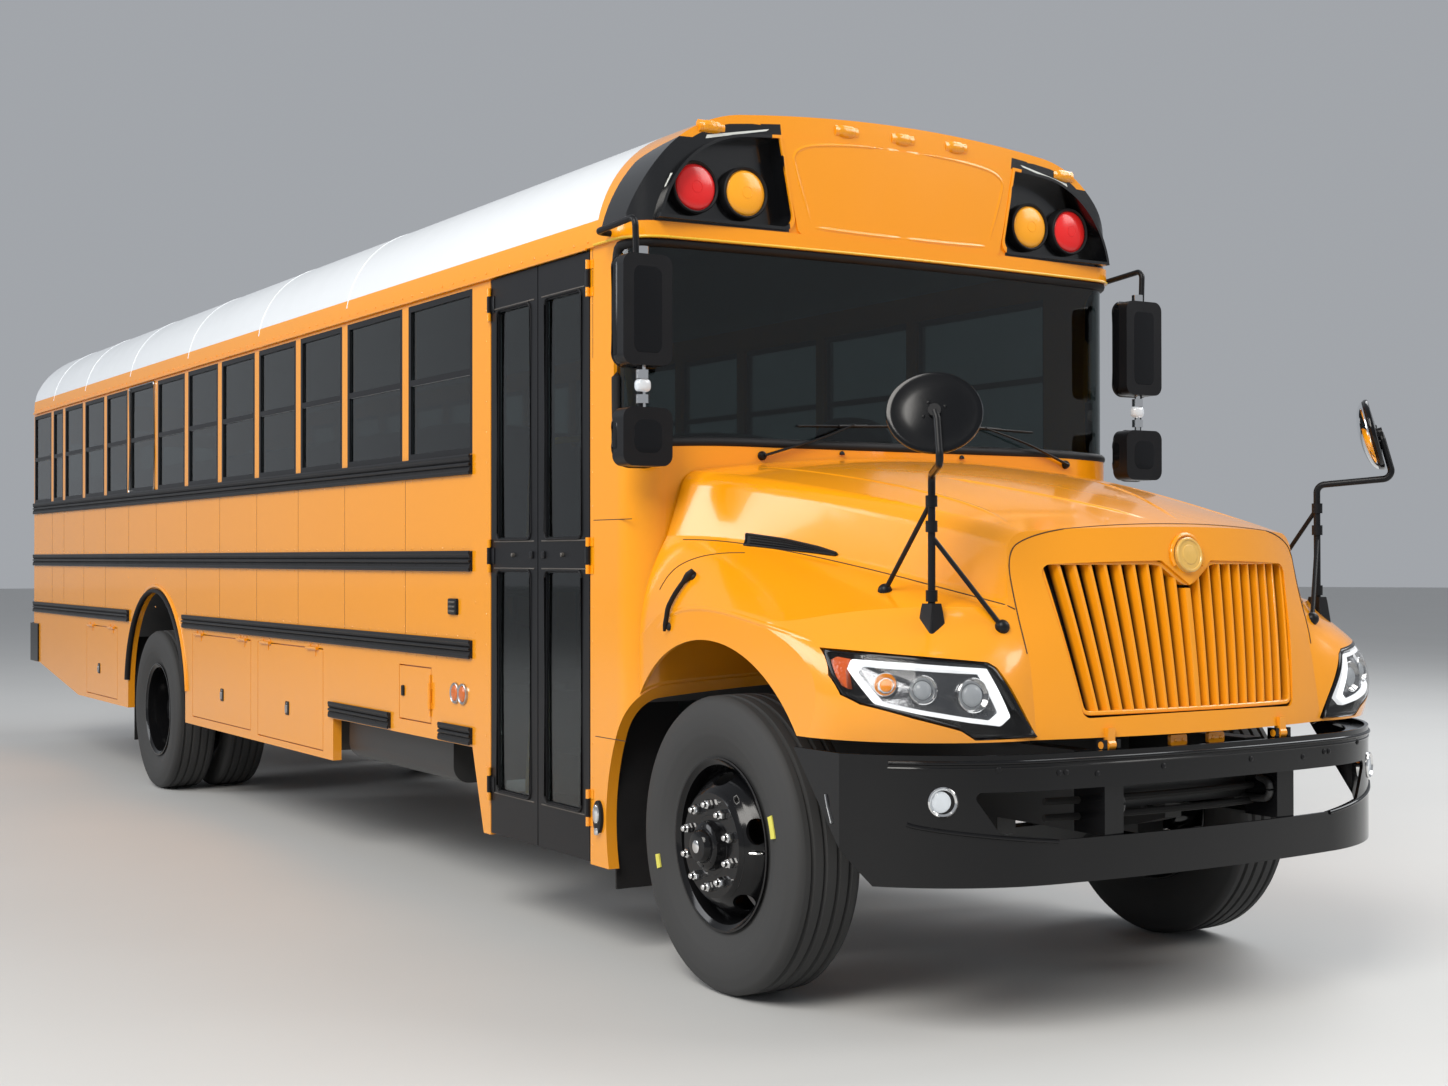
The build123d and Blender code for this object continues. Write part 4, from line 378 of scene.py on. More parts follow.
def hoop(outline, axis, level, radius, sides=8, flat=1.0):
    """Round bar along a closed flat outline, whose coordinate along an axis is level all the way round."""
    ring = np.insert(outline, axis, level, 1)
    return tube(np.concatenate([ring, ring[:2]]), radius, sides, flat)


def dome(centre, axis, foot, start, rise, radius, rings, steps):
    """Lens with a round face: (start + rise * sin a, radius * cos a) over a flat foot."""
    a = np.linspace(0, math.pi / 2, rings)
    return lathe([(foot, 0), *zip(start + rise * np.sin(a), radius * np.cos(a))], centre, axis, steps)


def joint_strip(width, height, centre):
    """Thin dark strip on the entrance side, where two sheets of the skin meet."""
    return on_side(rounded(width, height, 0.001, centre), 0.0006, edge=0.0003)


def seam_line(tree, path, radius):
    """Dark line lying in a panel gap: a thin bar half sunk along a surface."""
    place, _ = settled(tree, spread(bent(path), 70))
    return tube(place, radius, 6)


def ridge(tree, path, half, height, count=48, sunk=0.0015):
    """Pressed ridge: h * cos^2(pi t / 2) across a strip that follows a path on a surface."""
    line, normal = settled(tree, spread(bent(path), count))
    along = unit(np.gradient(line, axis=0))
    side = np.cross(normal, along)
    t = np.linspace(-1, 1, 9)
    fade = np.minimum(1, np.linspace(0, 1, count) * 6) * np.minimum(1, np.linspace(1, 0, count) * 6)
    flat = line[:, None] + t[None, :, None] * half * side[:, None]
    place, normals = settled(tree, flat)
    rise = height * np.cos(math.pi * t / 2)[None, :] ** 2 * fade[:, None]
    return slab(place + (rise[..., None] - sunk * 0.3) * normals, place - sunk * 3 * normals)


def patch(low, high, rows=8, count=40, thick=0.003, lift=0.001, tree=None):
    """Sheet between two edges, P = (1 - t) * low(s) + t * high(s), settled on a surface if one is given."""
    low, high = spread(low, count), spread(high, count)
    t = np.linspace(0, 1, rows)[:, None, None]
    points = low[None] * (1 - t) + high[None] * t
    if tree is None:
        normal = unit(np.cross(np.gradient(points, axis=1), np.gradient(points, axis=0)))
    else:
        points, normal = settled(tree, points)
    return slab(points + lift * normal, points - thick * normal)


# Slot of each finish in the library; what isn't listed is black paint
SLOTS = {
    "amber_lens": "amber_lens", "badge_disc": "body_yellow", "bench_cover": "seat_vinyl",
    "body_paint": "body_yellow", "chassis_black": "chassis_black", "chrome": "bare_steel",
    "dim_amber": "amber_lens", "dull_steel": "bare_steel", "eye_lens": "headlamp_lens",
    "grille_paint": "body_yellow", "lamp_cover": "headlamp_lens", "lamp_grey": "bare_steel",
    "mark_yellow": "amber_lens", "marker_lens": "amber_lens", "mirror_face": "bare_steel",
    "red_lens": "red_lens", "reflective_white": "headlamp_lens", "roof_paint": "roof_white",
    "sash_silver": "bare_steel", "side_amber": "amber_lens", "turn_amber": "amber_lens",
    "tyre_rubber": "tyre_rubber", "warm_yellow": "body_yellow", "white_glow": "headlamp_lens",
}


def piece(name, parts, finish, body="chassis", replaces=(), angle=35, slot=None):
    """Make one finished piece from closed parts, each given as (points, faces) or with a finish number."""
    finishes = finish if isinstance(finish, (list, tuple)) else [finish]
    slot = slot or SLOTS.get(finishes[0], "black_paint")
    points, faces, number, start = [], [], [], 0
    for part in parts:
        points.append(part[0])
        faces += [[start + k for k in face] for face in part[1]]
        number += [part[2] if len(part) > 2 else 0] * len(part[1])
        start += len(part[0])
    mesh = bpy.data.meshes.new(name)
    mesh.from_pydata(np.concatenate(points), [], faces)
    mesh.polygons.foreach_set("material_index", np.array(number, np.int32))
    shell = bmesh.new()
    shell.from_mesh(mesh)
    bmesh.ops.remove_doubles(shell, verts=shell.verts, dist=1e-6)
    bmesh.ops.dissolve_degenerate(shell, edges=shell.edges, dist=1e-7)
    bmesh.ops.recalc_face_normals(shell, faces=shell.faces)
    shell.to_mesh(mesh)
    shell.free()
    mesh.polygons.foreach_set("use_smooth", np.ones(len(mesh.polygons), bool))
    mesh.set_sharp_from_angle(angle=math.radians(angle))
    for material in finishes:
        mesh.materials.append(look(material))
    made = bpy.data.objects.new(name, mesh)
    bpy.context.scene.collection.objects.link(made)
    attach(made, body)
    if replaces:
        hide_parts(*replaces)
    return made


def twins(name, parts, *rest):
    """Make one finished piece from parts and their mirror images."""
    return piece(name, both_sides(parts), *rest)


def with_finish(parts, number):
    """Parts marked with the number of their finish."""
    return [(p[0], p[1], number) for p in parts]


# Finishes


def add_node(tree, kind, inputs=None, **settings):
    """Add a shader node, set it up and link or fill its inputs."""
    node = tree.nodes.new("ShaderNode" + kind)
    for key, value in settings.items():
        setattr(node, key, value)
    for key, value in (inputs or {}).items():
        if isinstance(value, bpy.types.NodeSocket):
            tree.links.new(value, node.inputs[key])
        else:
            node.inputs[key].default_value = value
    return node


def calc(tree, operation, first, second=0.0, clamp=False):
    """One step of arithmetic between sockets or numbers."""
    node = add_node(tree, "Math", {0: first, 1: second}, operation=operation, use_clamp=clamp)
    return node.outputs[0]


def maths(tree):
    """Steps of arithmetic on a tree: sum, difference, product, power, minimum and maximum."""
    kinds = ("ADD", "SUBTRACT", "MULTIPLY", "POWER", "MINIMUM", "MAXIMUM")
    return [partial(calc, tree, kind) for kind in kinds]


def blended(tree, factor, first, second):
    """Colour between two colours."""
    node = add_node(tree, "Mix", {0: factor, 6: first, 7: second}, data_type="RGBA")
    return node.outputs[2]


def used_surface():
    """Group shared by the finishes: mottled colour, dust that fades upwards, uneven gloss, fine grain."""
    if "Used surface" in bpy.data.node_groups:
        return bpy.data.node_groups["Used surface"]
    group = bpy.data.node_groups.new("Used surface", "ShaderNodeTree")
    wanted = [
        ("Colour", "Color"), ("Second colour", "Color"), ("Mottle scale", "Float"), ("Mottle", "Float"),
        ("Dust", "Float"), ("Roughness", "Float"), ("Unevenness", "Float"), ("Grain scale", "Float"),
    ]
    for label, kind in wanted:
        group.interface.new_socket(label, in_out="INPUT", socket_type="NodeSocket" + kind)
    for label, kind in (("Colour", "Color"), ("Roughness", "Float"), ("Grain", "Float")):
        group.interface.new_socket(label, in_out="OUTPUT", socket_type="NodeSocket" + kind)
    given = group.nodes.new("NodeGroupInput").outputs
    place = add_node(group, "TexCoord").outputs["Object"]
    mottle = add_node(group, "TexNoise", {"Vector": place, "Scale": given["Mottle scale"], "Detail": 5.0})
    fine = add_node(group, "TexNoise", {"Vector": place, "Scale": given["Grain scale"], "Detail": 2.0})
    smear = add_node(group, "TexNoise", {"Vector": place, "Scale": 5.0, "Detail": 6.0, "Roughness": 0.65})
    height = add_node(group, "SeparateXYZ", {0: place}).outputs[2]
    fade = add_node(group, "MapRange", {"Value": height, 1: 0.3, 2: 1.5, 3: 1.0, 4: 0.0}).outputs[0]
    add, minus, times = maths(group)[:3]
    patchy = times(fade, smear.outputs[0])
    mask = times(patchy, given["Dust"], clamp=True)
    amount = times(mottle.outputs[0], given["Mottle"], clamp=True)
    colour = blended(group, amount, given["Colour"], given["Second colour"])
    dusty = blended(group, mask, colour, (0.3, 0.26, 0.21, 1))
    wave = minus(smear.outputs[0], 0.5)
    uneven = times(wave, given["Unevenness"])
    rough = add(given["Roughness"], uneven)
    rougher = times(mask, 0.5)
    total = add(rough, rougher, clamp=True)
    out = group.nodes.new("NodeGroupOutput").inputs
    for socket, label in ((dusty, "Colour"), (total, "Roughness"), (fine.outputs[0], "Grain")):
        group.links.new(socket, out[label])
    return group


# Colour, share of it in the second colour, mottle scale, mottle, dust share, roughness, unevenness,
# grain scale, bump and other sockets of the shader
FINISHES = {
    "body_paint": (
        "body", 0.93, 1.3, 0.5, 1.0, 0.2, 0.1, 260, 0.012, {"Coat Weight": 0.5, "Coat Roughness": 0.06},
    ),
    "roof_paint": (
        "roof", 0.94, 0.9, 0.5, 0.2, 0.24, 0.1, 260, 0.012, {"Coat Weight": 0.3, "Coat Roughness": 0.1},
    ),
    "black_gloss": ("trim", 1.6, 3.0, 0.6, 0.1, 0.13, 0.1, 240, 0.012, {"Specular IOR Level": 0.3}),
    "black_satin": (
        (0.006, 0.0063, 0.0075), 1.8, 5.0, 0.6, 0.15, 0.36, 0.12, 500, 0.05, {"Specular IOR Level": 0.2},
    ),
    "black_rubber": (
        (0.007, 0.007, 0.008), 1.9, 9.0, 0.7, 0.25, 0.55, 0.15, 700, 0.12, {"Specular IOR Level": 0.22},
    ),
    "tyre_rubber": (
        (0.009, 0.0092, 0.01), 2.0, 7.0, 0.7, 0.25, 0.52, 0.16, 420, 0.1, {"Specular IOR Level": 0.22},
    ),
    "gap_dark": ((0.05, 0.018, 0.002), 0.5, 20.0, 0.5, 0.2, 0.7, 0.1, 300, 0.02, {}),
    "void_black": ((0.003, 0.003, 0.0032), 1.5, 8.0, 0.5, 0.3, 0.8, 0.1, 200, 0.05, {}),
    "chrome": ((0.78, 0.78, 0.78), 0.92, 20.0, 0.5, 0.3, 0.1, 0.1, 300, 0.01, {"Metallic": 1.0}),
    "sash_silver": ((0.5, 0.51, 0.52), 0.85, 6.0, 0.6, 0.3, 0.3, 0.12, 400, 0.02, {"Metallic": 1.0}),
    "dull_steel": ((0.17, 0.155, 0.14), 0.55, 5.0, 0.9, 1.2, 0.55, 0.25, 120, 0.1, {"Metallic": 0.7}),
    "chassis_black": ((0.014, 0.0135, 0.013), 2.2, 5.0, 0.8, 1.3, 0.45, 0.2, 160, 0.06, {}),
    "core_metal": ((0.16, 0.165, 0.17), 0.7, 12.0, 0.6, 0.7, 0.45, 0.15, 300, 0.05, {"Metallic": 0.8}),
    "floor_cover": ((0.03, 0.031, 0.033), 1.5, 6.0, 0.7, 0.6, 0.6, 0.15, 160, 0.1, {}),
    "bench_cover": ("seat", 1.5, 4.0, 0.6, 0.1, 0.42, 0.14, 260, 0.25, {"Sheen Weight": 0.15}),
    "dash_plastic": ((0.018, 0.018, 0.02), 1.5, 6.0, 0.6, 0.1, 0.5, 0.1, 600, 0.15, {}),
    "warm_yellow": ((0.8, 0.5, 0.03), 0.8, 8.0, 0.6, 0.2, 0.28, 0.1, 300, 0.02, {}),
    "reflective_white": ((0.72, 0.74, 0.7), 0.88, 30.0, 0.6, 0.4, 0.35, 0.1, 900, 0.1, {}),
    "mark_yellow": ((0.72, 0.66, 0.1), 0.8, 30.0, 0.6, 0.5, 0.55, 0.1, 500, 0.05, {}),
    "badge_disc": ((0.75, 0.45, 0.1), 0.75, 30.0, 0.7, 0.3, 0.25, 0.12, 300, 0.05, {"Coat Weight": 0.4}),
    "mirror_face": ((0.86, 0.87, 0.88), 0.96, 4.0, 0.4, 0.1, 0.03, 0.02, 100, 0.002, {"Metallic": 1.0}),
    "lamp_grey": ((0.3, 0.31, 0.33), 0.6, 40.0, 0.8, 0.1, 0.25, 0.15, 90, 0.5, {"Metallic": 0.9}),
    "stop_red": ((0.52, 0.012, 0.01), 0.85, 12.0, 0.5, 0.5, 0.34, 0.1, 400, 0.02, {}),
}
LENSES = {
    # colour, roughness, bump, glow, how clear
    "red_lens": ((0.62, 0.006, 0.005), 0.12, 0.35, 0.35, 0.0),
    "amber_lens": ((0.78, 0.095, 0.002), 0.12, 0.4, 0.25, 0.0),
    "marker_lens": ((0.85, 0.34, 0.01), 0.15, 0.3, 0.05, 0.0),
    "dim_amber": ((0.62, 0.13, 0.01), 0.16, 0.3, 0.05, 0.0),
    "white_glow": ((0.92, 0.94, 0.96), 0.25, 0.05, 1.5, 0.0),
    "turn_amber": ((0.95, 0.3, 0.01), 0.15, 0.2, 0.9, 0.0),
    "side_amber": ((0.55, 0.085, 0.01), 0.14, 0.3, 0.02, 0.0),
    "eye_lens": ((0.62, 0.66, 0.7), 0.03, 0.02, 0.25, 0.0),
    "clear_lens": ((0.97, 0.98, 0.98), 0.02, 0.02, 0.0, 1.0),
    "lamp_cover": ((0.02, 0.02, 0.02), 0.03, 0.01, 0.0, 0.0),
}
GLASSES = {
    # name: how much of the tint it takes, roughness
    "cabin_glass": (1.0, 0.015),
    "door_glass": (1.25, 0.015),
}


def own_colour(name, share=1.0):
    """A colour from the settings or a fixed one, darkened or lightened by a share."""
    settings = bpy.context.scene.bus_finishes
    rgb = getattr(settings, name) if isinstance(name, str) else name
    return (*(min(1.0, c * share) for c in rgb), 1)


def new_material(name):
    """New material with its nodes and its shader."""
    material = bpy.data.materials.new(name)
    material.use_nodes = True
    return material, material.node_tree, material.node_tree.nodes["Principled BSDF"]


def plain_finish(name):
    """Material whose colour, gloss and grain come from the shared group."""
    first, share, scale, mottle, dust, rough, uneven, grain, bump, sockets = FINISHES[name]
    material, tree, shader = new_material(name)
    group = tree.nodes.new("ShaderNodeGroup")
    group.node_tree = used_surface()
    values = {
        "Colour": own_colour(first), "Second colour": own_colour(first, share), "Mottle scale": scale,
        "Mottle": mottle, "Dust": dust * bpy.context.scene.bus_finishes.dust, "Roughness": rough,
        "Unevenness": uneven, "Grain scale": grain,
    }
    for key, value in values.items():
        group.inputs[key].default_value = value
    raised = add_node(tree, "Bump", {"Height": group.outputs["Grain"], "Strength": bump, "Distance": 0.002})
    tree.links.new(group.outputs["Colour"], shader.inputs["Base Color"])
    tree.links.new(group.outputs["Roughness"], shader.inputs["Roughness"])
    tree.links.new(raised.outputs[0], shader.inputs["Normal"])
    for key, value in sockets.items():
        shader.inputs[key].default_value = value
    return material, tree, group


def place_of(tree):
    """Object coordinates as x, y, z, with y measured from the middle either way."""
    split = add_node(tree, "SeparateXYZ", {0: add_node(tree, "TexCoord").outputs["Object"]}).outputs
    return split[0], calc(tree, "ABSOLUTE", split[1]), split[2]


def repaint(name, base, mask_of, second):
    """Copy of a finish with another colour where a mask of the place is 1."""
    material, tree, group = plain_finish(base)
    material.name = name
    mask = mask_of(tree)
    for key, share in (("Colour", 1.0), ("Second colour", 0.93)):
        first = tuple(group.inputs[key].default_value)
        other = own_colour(second, share)
        tree.links.new(blended(tree, mask, first, other), group.inputs[key])
    return material


# How sharply one painted colour gives way to the next, per metre
PAINT_EDGE = 400.0


def above_stripe(tree):
    """1 below the roof's white part: z under the paint edge."""
    _, _, z = place_of(tree)
    return calc(tree, "MULTIPLY", calc(tree, "SUBTRACT", 2.822, z), PAINT_EDGE, clamp=True)


def lamp_bays(tree):
    """1 in the black field round the front lamps: behind an edge that runs back over the corner of the cap,
    30 mm inside the bow on its face, outwards of the middle panel and above the lip."""
    x, y, z = place_of(tree)
    add, minus, times, power, least, most = maths(tree)
    x = minus(x, FRONT_AXLE)
    high = most(minus(z, 3.03), 0.0)
    edge = add(times(minus(z, 2.82), 0.25), -0.75)
    edge = add(edge, times(power(high, 2.0), 36.0))
    behind = times(minus(x, edge), PAINT_EDGE, clamp=True)
    out = power(most(minus(y, 0.704), 0.0), 2.0)
    up = power(minus(z, EAVE), 2.0)
    corner = minus(0.5, calc(tree, "SQRT", add(out, up)))
    drop = times(power(y, 2.0), 0.0726)
    crown = minus(minus(3.25, drop), z)
    inside = least(most(corner, minus(0.7, y)), crown)
    deep = times(minus(inside, 0.03), PAINT_EDGE, clamp=True)
    ahead = calc(tree, "GREATER_THAN", x, -0.56)
    face = times(deep, ahead)
    field = most(behind, face)
    jog = most(times(minus(z, 3.068), 0.9), 0.0)
    inner = add(times(minus(z, 2.774), 0.108), 0.539)
    inner = add(inner, least(jog, 0.045))
    recessed = times(calc(tree, "LESS_THAN", x, -0.452), 0.05)
    beyond = minus(y, minus(inner, recessed))
    beside = times(beyond, PAINT_EDGE, clamp=True)
    above = times(minus(z, 2.779), PAINT_EDGE, clamp=True)
    return times(times(field, beside), above)


def lens_finish(name):
    """Lamp lens: moulded prisms as a bump, its own colour, and a little light of its own."""
    colour, rough, bump, glow, clear = LENSES[name]
    material, tree, shader = new_material(name)
    place = add_node(tree, "TexCoord").outputs["Object"]
    cells = add_node(tree, "TexVoronoi", {"Vector": place, "Scale": 95.0}).outputs["Distance"]
    cloud = add_node(tree, "TexNoise", {"Vector": place, "Scale": 22.0}).outputs[0]
    shade = blended(tree, cloud, (*colour, 1), (*(c * 0.72 for c in colour), 1))
    raised = add_node(tree, "Bump", {"Height": cells, "Strength": bump, "Distance": 0.004})
    dull = calc(tree, "MULTIPLY_ADD", cloud, 0.08)
    dull.node.inputs[2].default_value = rough
    tree.links.new(shade, shader.inputs["Base Color"])
    tree.links.new(dull, shader.inputs["Roughness"])
    tree.links.new(raised.outputs[0], shader.inputs["Normal"])
    if glow:
        tree.links.new(shade, shader.inputs["Emission Color"])
        shader.inputs["Emission Strength"].default_value = glow
    shader.inputs["Transmission Weight"].default_value = clear
    shader.inputs["IOR"].default_value = 1.46
    shader.inputs["Coat Weight"].default_value = 0.4
    if name == "lamp_cover":
        shader.inputs["Alpha"].default_value = 0.22
    return material


def glass_finish(name):
    """Tinted pane with a faint film of dust."""
    share, rough = GLASSES[name]
    material, tree, shader = new_material(name)
    place = add_node(tree, "TexCoord").outputs["Object"]
    film = add_node(tree, "TexNoise", {"Vector": place, "Scale": 2.5, "Detail": 6.0}).outputs[0]
    dull = calc(tree, "MULTIPLY_ADD", film, 0.03)
    dull.node.inputs[2].default_value = rough
    tree.links.new(dull, shader.inputs["Roughness"])
    tint = own_colour("tint", share)
    tree.links.new(blended(tree, film, tint, own_colour("tint", share * 0.85)), shader.inputs["Base Color"])
    shader.inputs["Transmission Weight"].default_value = 1.0
    shader.inputs["IOR"].default_value = 1.45
    return material


def bow(y, z):
    """Terms of the grille's bowed front: 1, z, z^2, y^2, y^2 z and y^4, from its middle."""
    y, z = np.asarray(y, float), np.asarray(z, float) - 1.27
    return np.stack([y * 0 + 1, z, z**2, y**2, y**2 * z, y**4], -1)


def bow_shares():
    """How much of each term the grille has: least squares over casts on its bars, the gaps left out."""
    surface = surface_of("grille")
    y, z = (a.ravel() for a in np.meshgrid(np.linspace(-0.5, 0.5, 90), np.linspace(1.05, 1.46, 14)))
    place, _ = hits(surface, places_at(6.6, y, z), np.tile([-1.0, 0, 0], (len(y), 1)))
    keep = np.isfinite(place[:, 0]) & (place[:, 0] > 5.8)
    for _ in range(6):
        shares = np.linalg.lstsq(bow(y[keep], z[keep]), place[keep, 0], rcond=None)[0]
        keep = np.isfinite(place[:, 0]) & (place[:, 0] > bow(y, z) @ shares - 0.006)
    return shares


def shade_behind_bars(tree):
    """Painted shade between the grille's bars: 0 down to 22 mm behind the bowed front of the grille, 1 from
    about 40 mm.
    """
    x, y, z = place_of(tree)
    add, minus, times, power = maths(tree)[:4]
    z1 = minus(z, 1.27)
    y2 = power(y, 2.0)
    terms = [1.0, z1, power(z1, 2.0), y2, times(y2, z1), power(y, 4.0)]
    front = 0.0
    for share, term in zip(bow_shares(), terms):
        front = add(front, times(term, float(share)))
    deep = minus(minus(front, x), 0.022)
    inside = calc(tree, "LESS_THAN", calc(tree, "ABSOLUTE", z1), 0.262)
    return times(times(deep, 55.0, clamp=True), inside)


def look(name):
    """The material of a finish, made once."""
    if name in bpy.data.materials:
        return bpy.data.materials[name]
    if name == "roof_two_tone":
        return repaint(name, "roof_paint", above_stripe, "body")
    # Body paint on the grille's bars, turning black deep behind their fronts as painted shade in the gaps
    if name == "grille_paint":
        return repaint(name, "body_paint", shade_behind_bars, "trim")
    if name == "cap_two_tone":
        return repaint(name, "body_paint", lamp_bays, "trim")
    if name in LENSES:
        return lens_finish(name)
    if name in GLASSES:
        return glass_finish(name)
    return plain_finish(name)[0]


NODE_FINISHES = {
    "body_paint": [
        "right_wall", "left_wall", "rear_wall", "cowl", "hood", "rear_door", "luggage_door_front",
        "luggage_door_middle", "luggage_door_rear", "fuel_door",
    ],
    # Body paint with painted shade on the backs of the bars
    "grille_paint": ["grille"],
    "roof_two_tone": ["roof"],
    "cap_two_tone": ["front_cap"],
    "black_gloss": [
        "front_bumper", "rear_bumper", "wheel_front_left", "wheel_front_right", "wheels_rear_left",
        "wheels_rear_right",
    ],
    "black_rubber": ["rub_rails", "mud_flaps"],
    "black_satin": ["door_front_leaf", "door_rear_leaf", "window_frames", "side_mirrors", "hood_mirrors"],
    "chassis_black": [
        "frame_rails", "floor_sills", "front_axle", "rear_axle", "leaf_springs", "engine", "fuel_tank",
        "knuckle_left", "knuckle_right",
    ],
    "dull_steel": ["exhaust", "luggage_boxes"],
    "core_metal": ["radiator"],
    "floor_cover": ["floor"],
    "cabin_glass": ["window_glass", "rear_door_glass"],
    "door_glass": ["door_front_glass", "door_rear_glass"],
    "red_lens": ["red_lamps"],
    "amber_lens": ["amber_lamps"],
    "stop_red": ["stop_arm"],
    "bench_cover": ["seats", "driver_seat"],
    "dash_plastic": ["dashboard", "steering_wheel"],
    "clear_lens": ["headlamps"],
    "tyre_rubber": ["tyre_front_left", "tyre_front_right", "tyres_rear_left", "tyres_rear_right"],
}


class BUS_OT_finishes(bpy.types.Operator):
    """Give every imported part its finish"""

    bl_idname = "bus.finishes"
    bl_label = "Finishes"

    def execute(self, context):
        for finish, names in NODE_FINISHES.items():
            for name in names:
                nodes[name].data.materials.clear()
                nodes[name].data.materials.append(look(finish))
        return {"FINISHED"}


# Wheels

FRONT_TYRE = 1.025
REAR_TYRES = (1.073, 0.738)
STUD_CIRCLE = 0.142875
# Inner and outer radius of the holed ring, half the turn of a hole in radians and half its height
HAND_HOLE = (0.198, 0.258, 0.2, 0.022)
RIM_HALF = [
    (-0.105, 0.288), (-0.11, 0.3), (-0.113, 0.305), (-0.117, 0.304), (-0.117, 0.297), (-0.111, 0.29),
    (-0.105, 0.278), (-0.03, 0.27),
]


def tyre_profile(groove):
    """Section of a tyre as (along the axle, radius): crown 0.521 - 3 (y / b)^2 mm, less the grooves."""
    half_tread = 0.1055
    y = np.linspace(-half_tread, half_tread, 61)
    wave = sum(np.exp(-(((y - place) / 0.0058) ** 4)) for place in (-0.075, -0.027, 0.027, 0.075))
    tread = 0.521 - 0.003 * (y / half_tread) ** 2 - groove * wave
    t = np.linspace(0, 1, 22)
    swell = np.sin(math.pi * t**0.9)
    side_y = 0.1235 + (0.1047 - 0.1235) * t**2 + 0.0205 * swell
    side_r = 0.505 - (0.505 - 0.308) * t
    lines = sum(
        way * np.exp(-(((t - place) / width) ** 2))
        for place, width, way in ((0.22, 0.03, 1), (0.62, 0.02, 1), (0.9, 0.02, -1))
    )
    side_y = np.minimum(side_y + 0.0012 * lines, 0.1404)
    outer = np.stack([side_y, side_r], 1)
    inner = outer[::-1] * [-1, 1]
    bead = np.array([[0.1047, 0.288], [-0.1047, 0.288]])
    return np.concatenate([inner, np.stack([y, tread], 1), outer, bead])


def rim_barrel(centre, axis):
    """Barrel of a rim, the same both ways from its middle."""
    return lathe(RIM_HALF + [(-a, r) for a, r in RIM_HALF[::-1]], centre, axis, 72, closed=True)


def disc_sectors(centre, out, profile, count, thick=0.011):
    """Disc of equal sectors, each a ring from an oval hole to the sector's edge; profile gives y from r."""
    r_in, r_out, hole_turn, hole_height = HAND_HOLE
    r_mid, half_height = (r_in + r_out) / 2, (r_out - r_in) / 2
    half_angle = math.pi / count
    s = np.linspace(0, 1, 48, endpoint=False) * 4
    side = s.astype(int)
    f = s - side
    a = np.choose(side, [2 * f - 1, f * 0 + 1, 1 - 2 * f, f * 0 - 1]) * half_angle
    b = np.choose(side, [f * 0 - 1, 2 * f - 1, f * 0 + 1, 1 - 2 * f]) * half_height
    turn = np.arctan2(b / half_height, a / half_angle)
    t = np.linspace(0, 1, 6)[:, None]
    angle = a * (1 - t) + hole_turn * np.cos(turn) * t
    radius = r_mid + b * (1 - t) + hole_height * np.sin(turn) * t
    y = centre[1] + out * np.interp(radius, profile[:, 1], profile[:, 0])
    parts = []
    for k in range(count):
        turned = angle + k * 2 * half_angle
        grid = places_at(centre[0] + radius * np.sin(turned), y, centre[2] + radius * np.cos(turned))
        back = grid - out * thick * Y
        parts.append(skin(np.concatenate([grid, back[::-1]]), closed_rows=True))
    return parts


def wheel_disc(centre, out, cone, back, outer_ring, holes):
    """Dished disc with its hand holes, the ring that its nuts hold and the ring at the rim."""
    cone = np.array(cone)
    flat = [(y, r) for y, r in cone if r < HAND_HOLE[0] + 0.001]
    inner_ring = flat + [(back, HAND_HOLE[0])] + [(y - 0.012, r) for y, r in flat[::-1]]
    rings = [lathe(ring, centre, out * Y, 72, closed=True) for ring in (inner_ring, outer_ring)]
    return disc_sectors(centre, out, cone, holes) + rings


def wheel_nuts(x, y, out):
    """Ten nuts on their stud circle, each a six sided nut and a stud's end."""
    place, centre = (x, y, WHEEL_HEIGHT + STUD_CIRCLE), (x, y, WHEEL_HEIGHT)
    nut = lathe(
        [(0, 0), (0, 0.0175), (0.003, 0.019), (0.017, 0.0185), (0.022, 0.015), (0.022, 0)], place, out * Y, 6,
    )
    stud = lathe([(0.01, 0), (0.01, 0.0105), (0.034, 0.0105), (0.037, 0.008), (0.038, 0)], place, out * Y, 14)
    return [p for part in (nut, stud) for p in around(part, 10, centre, Y)]


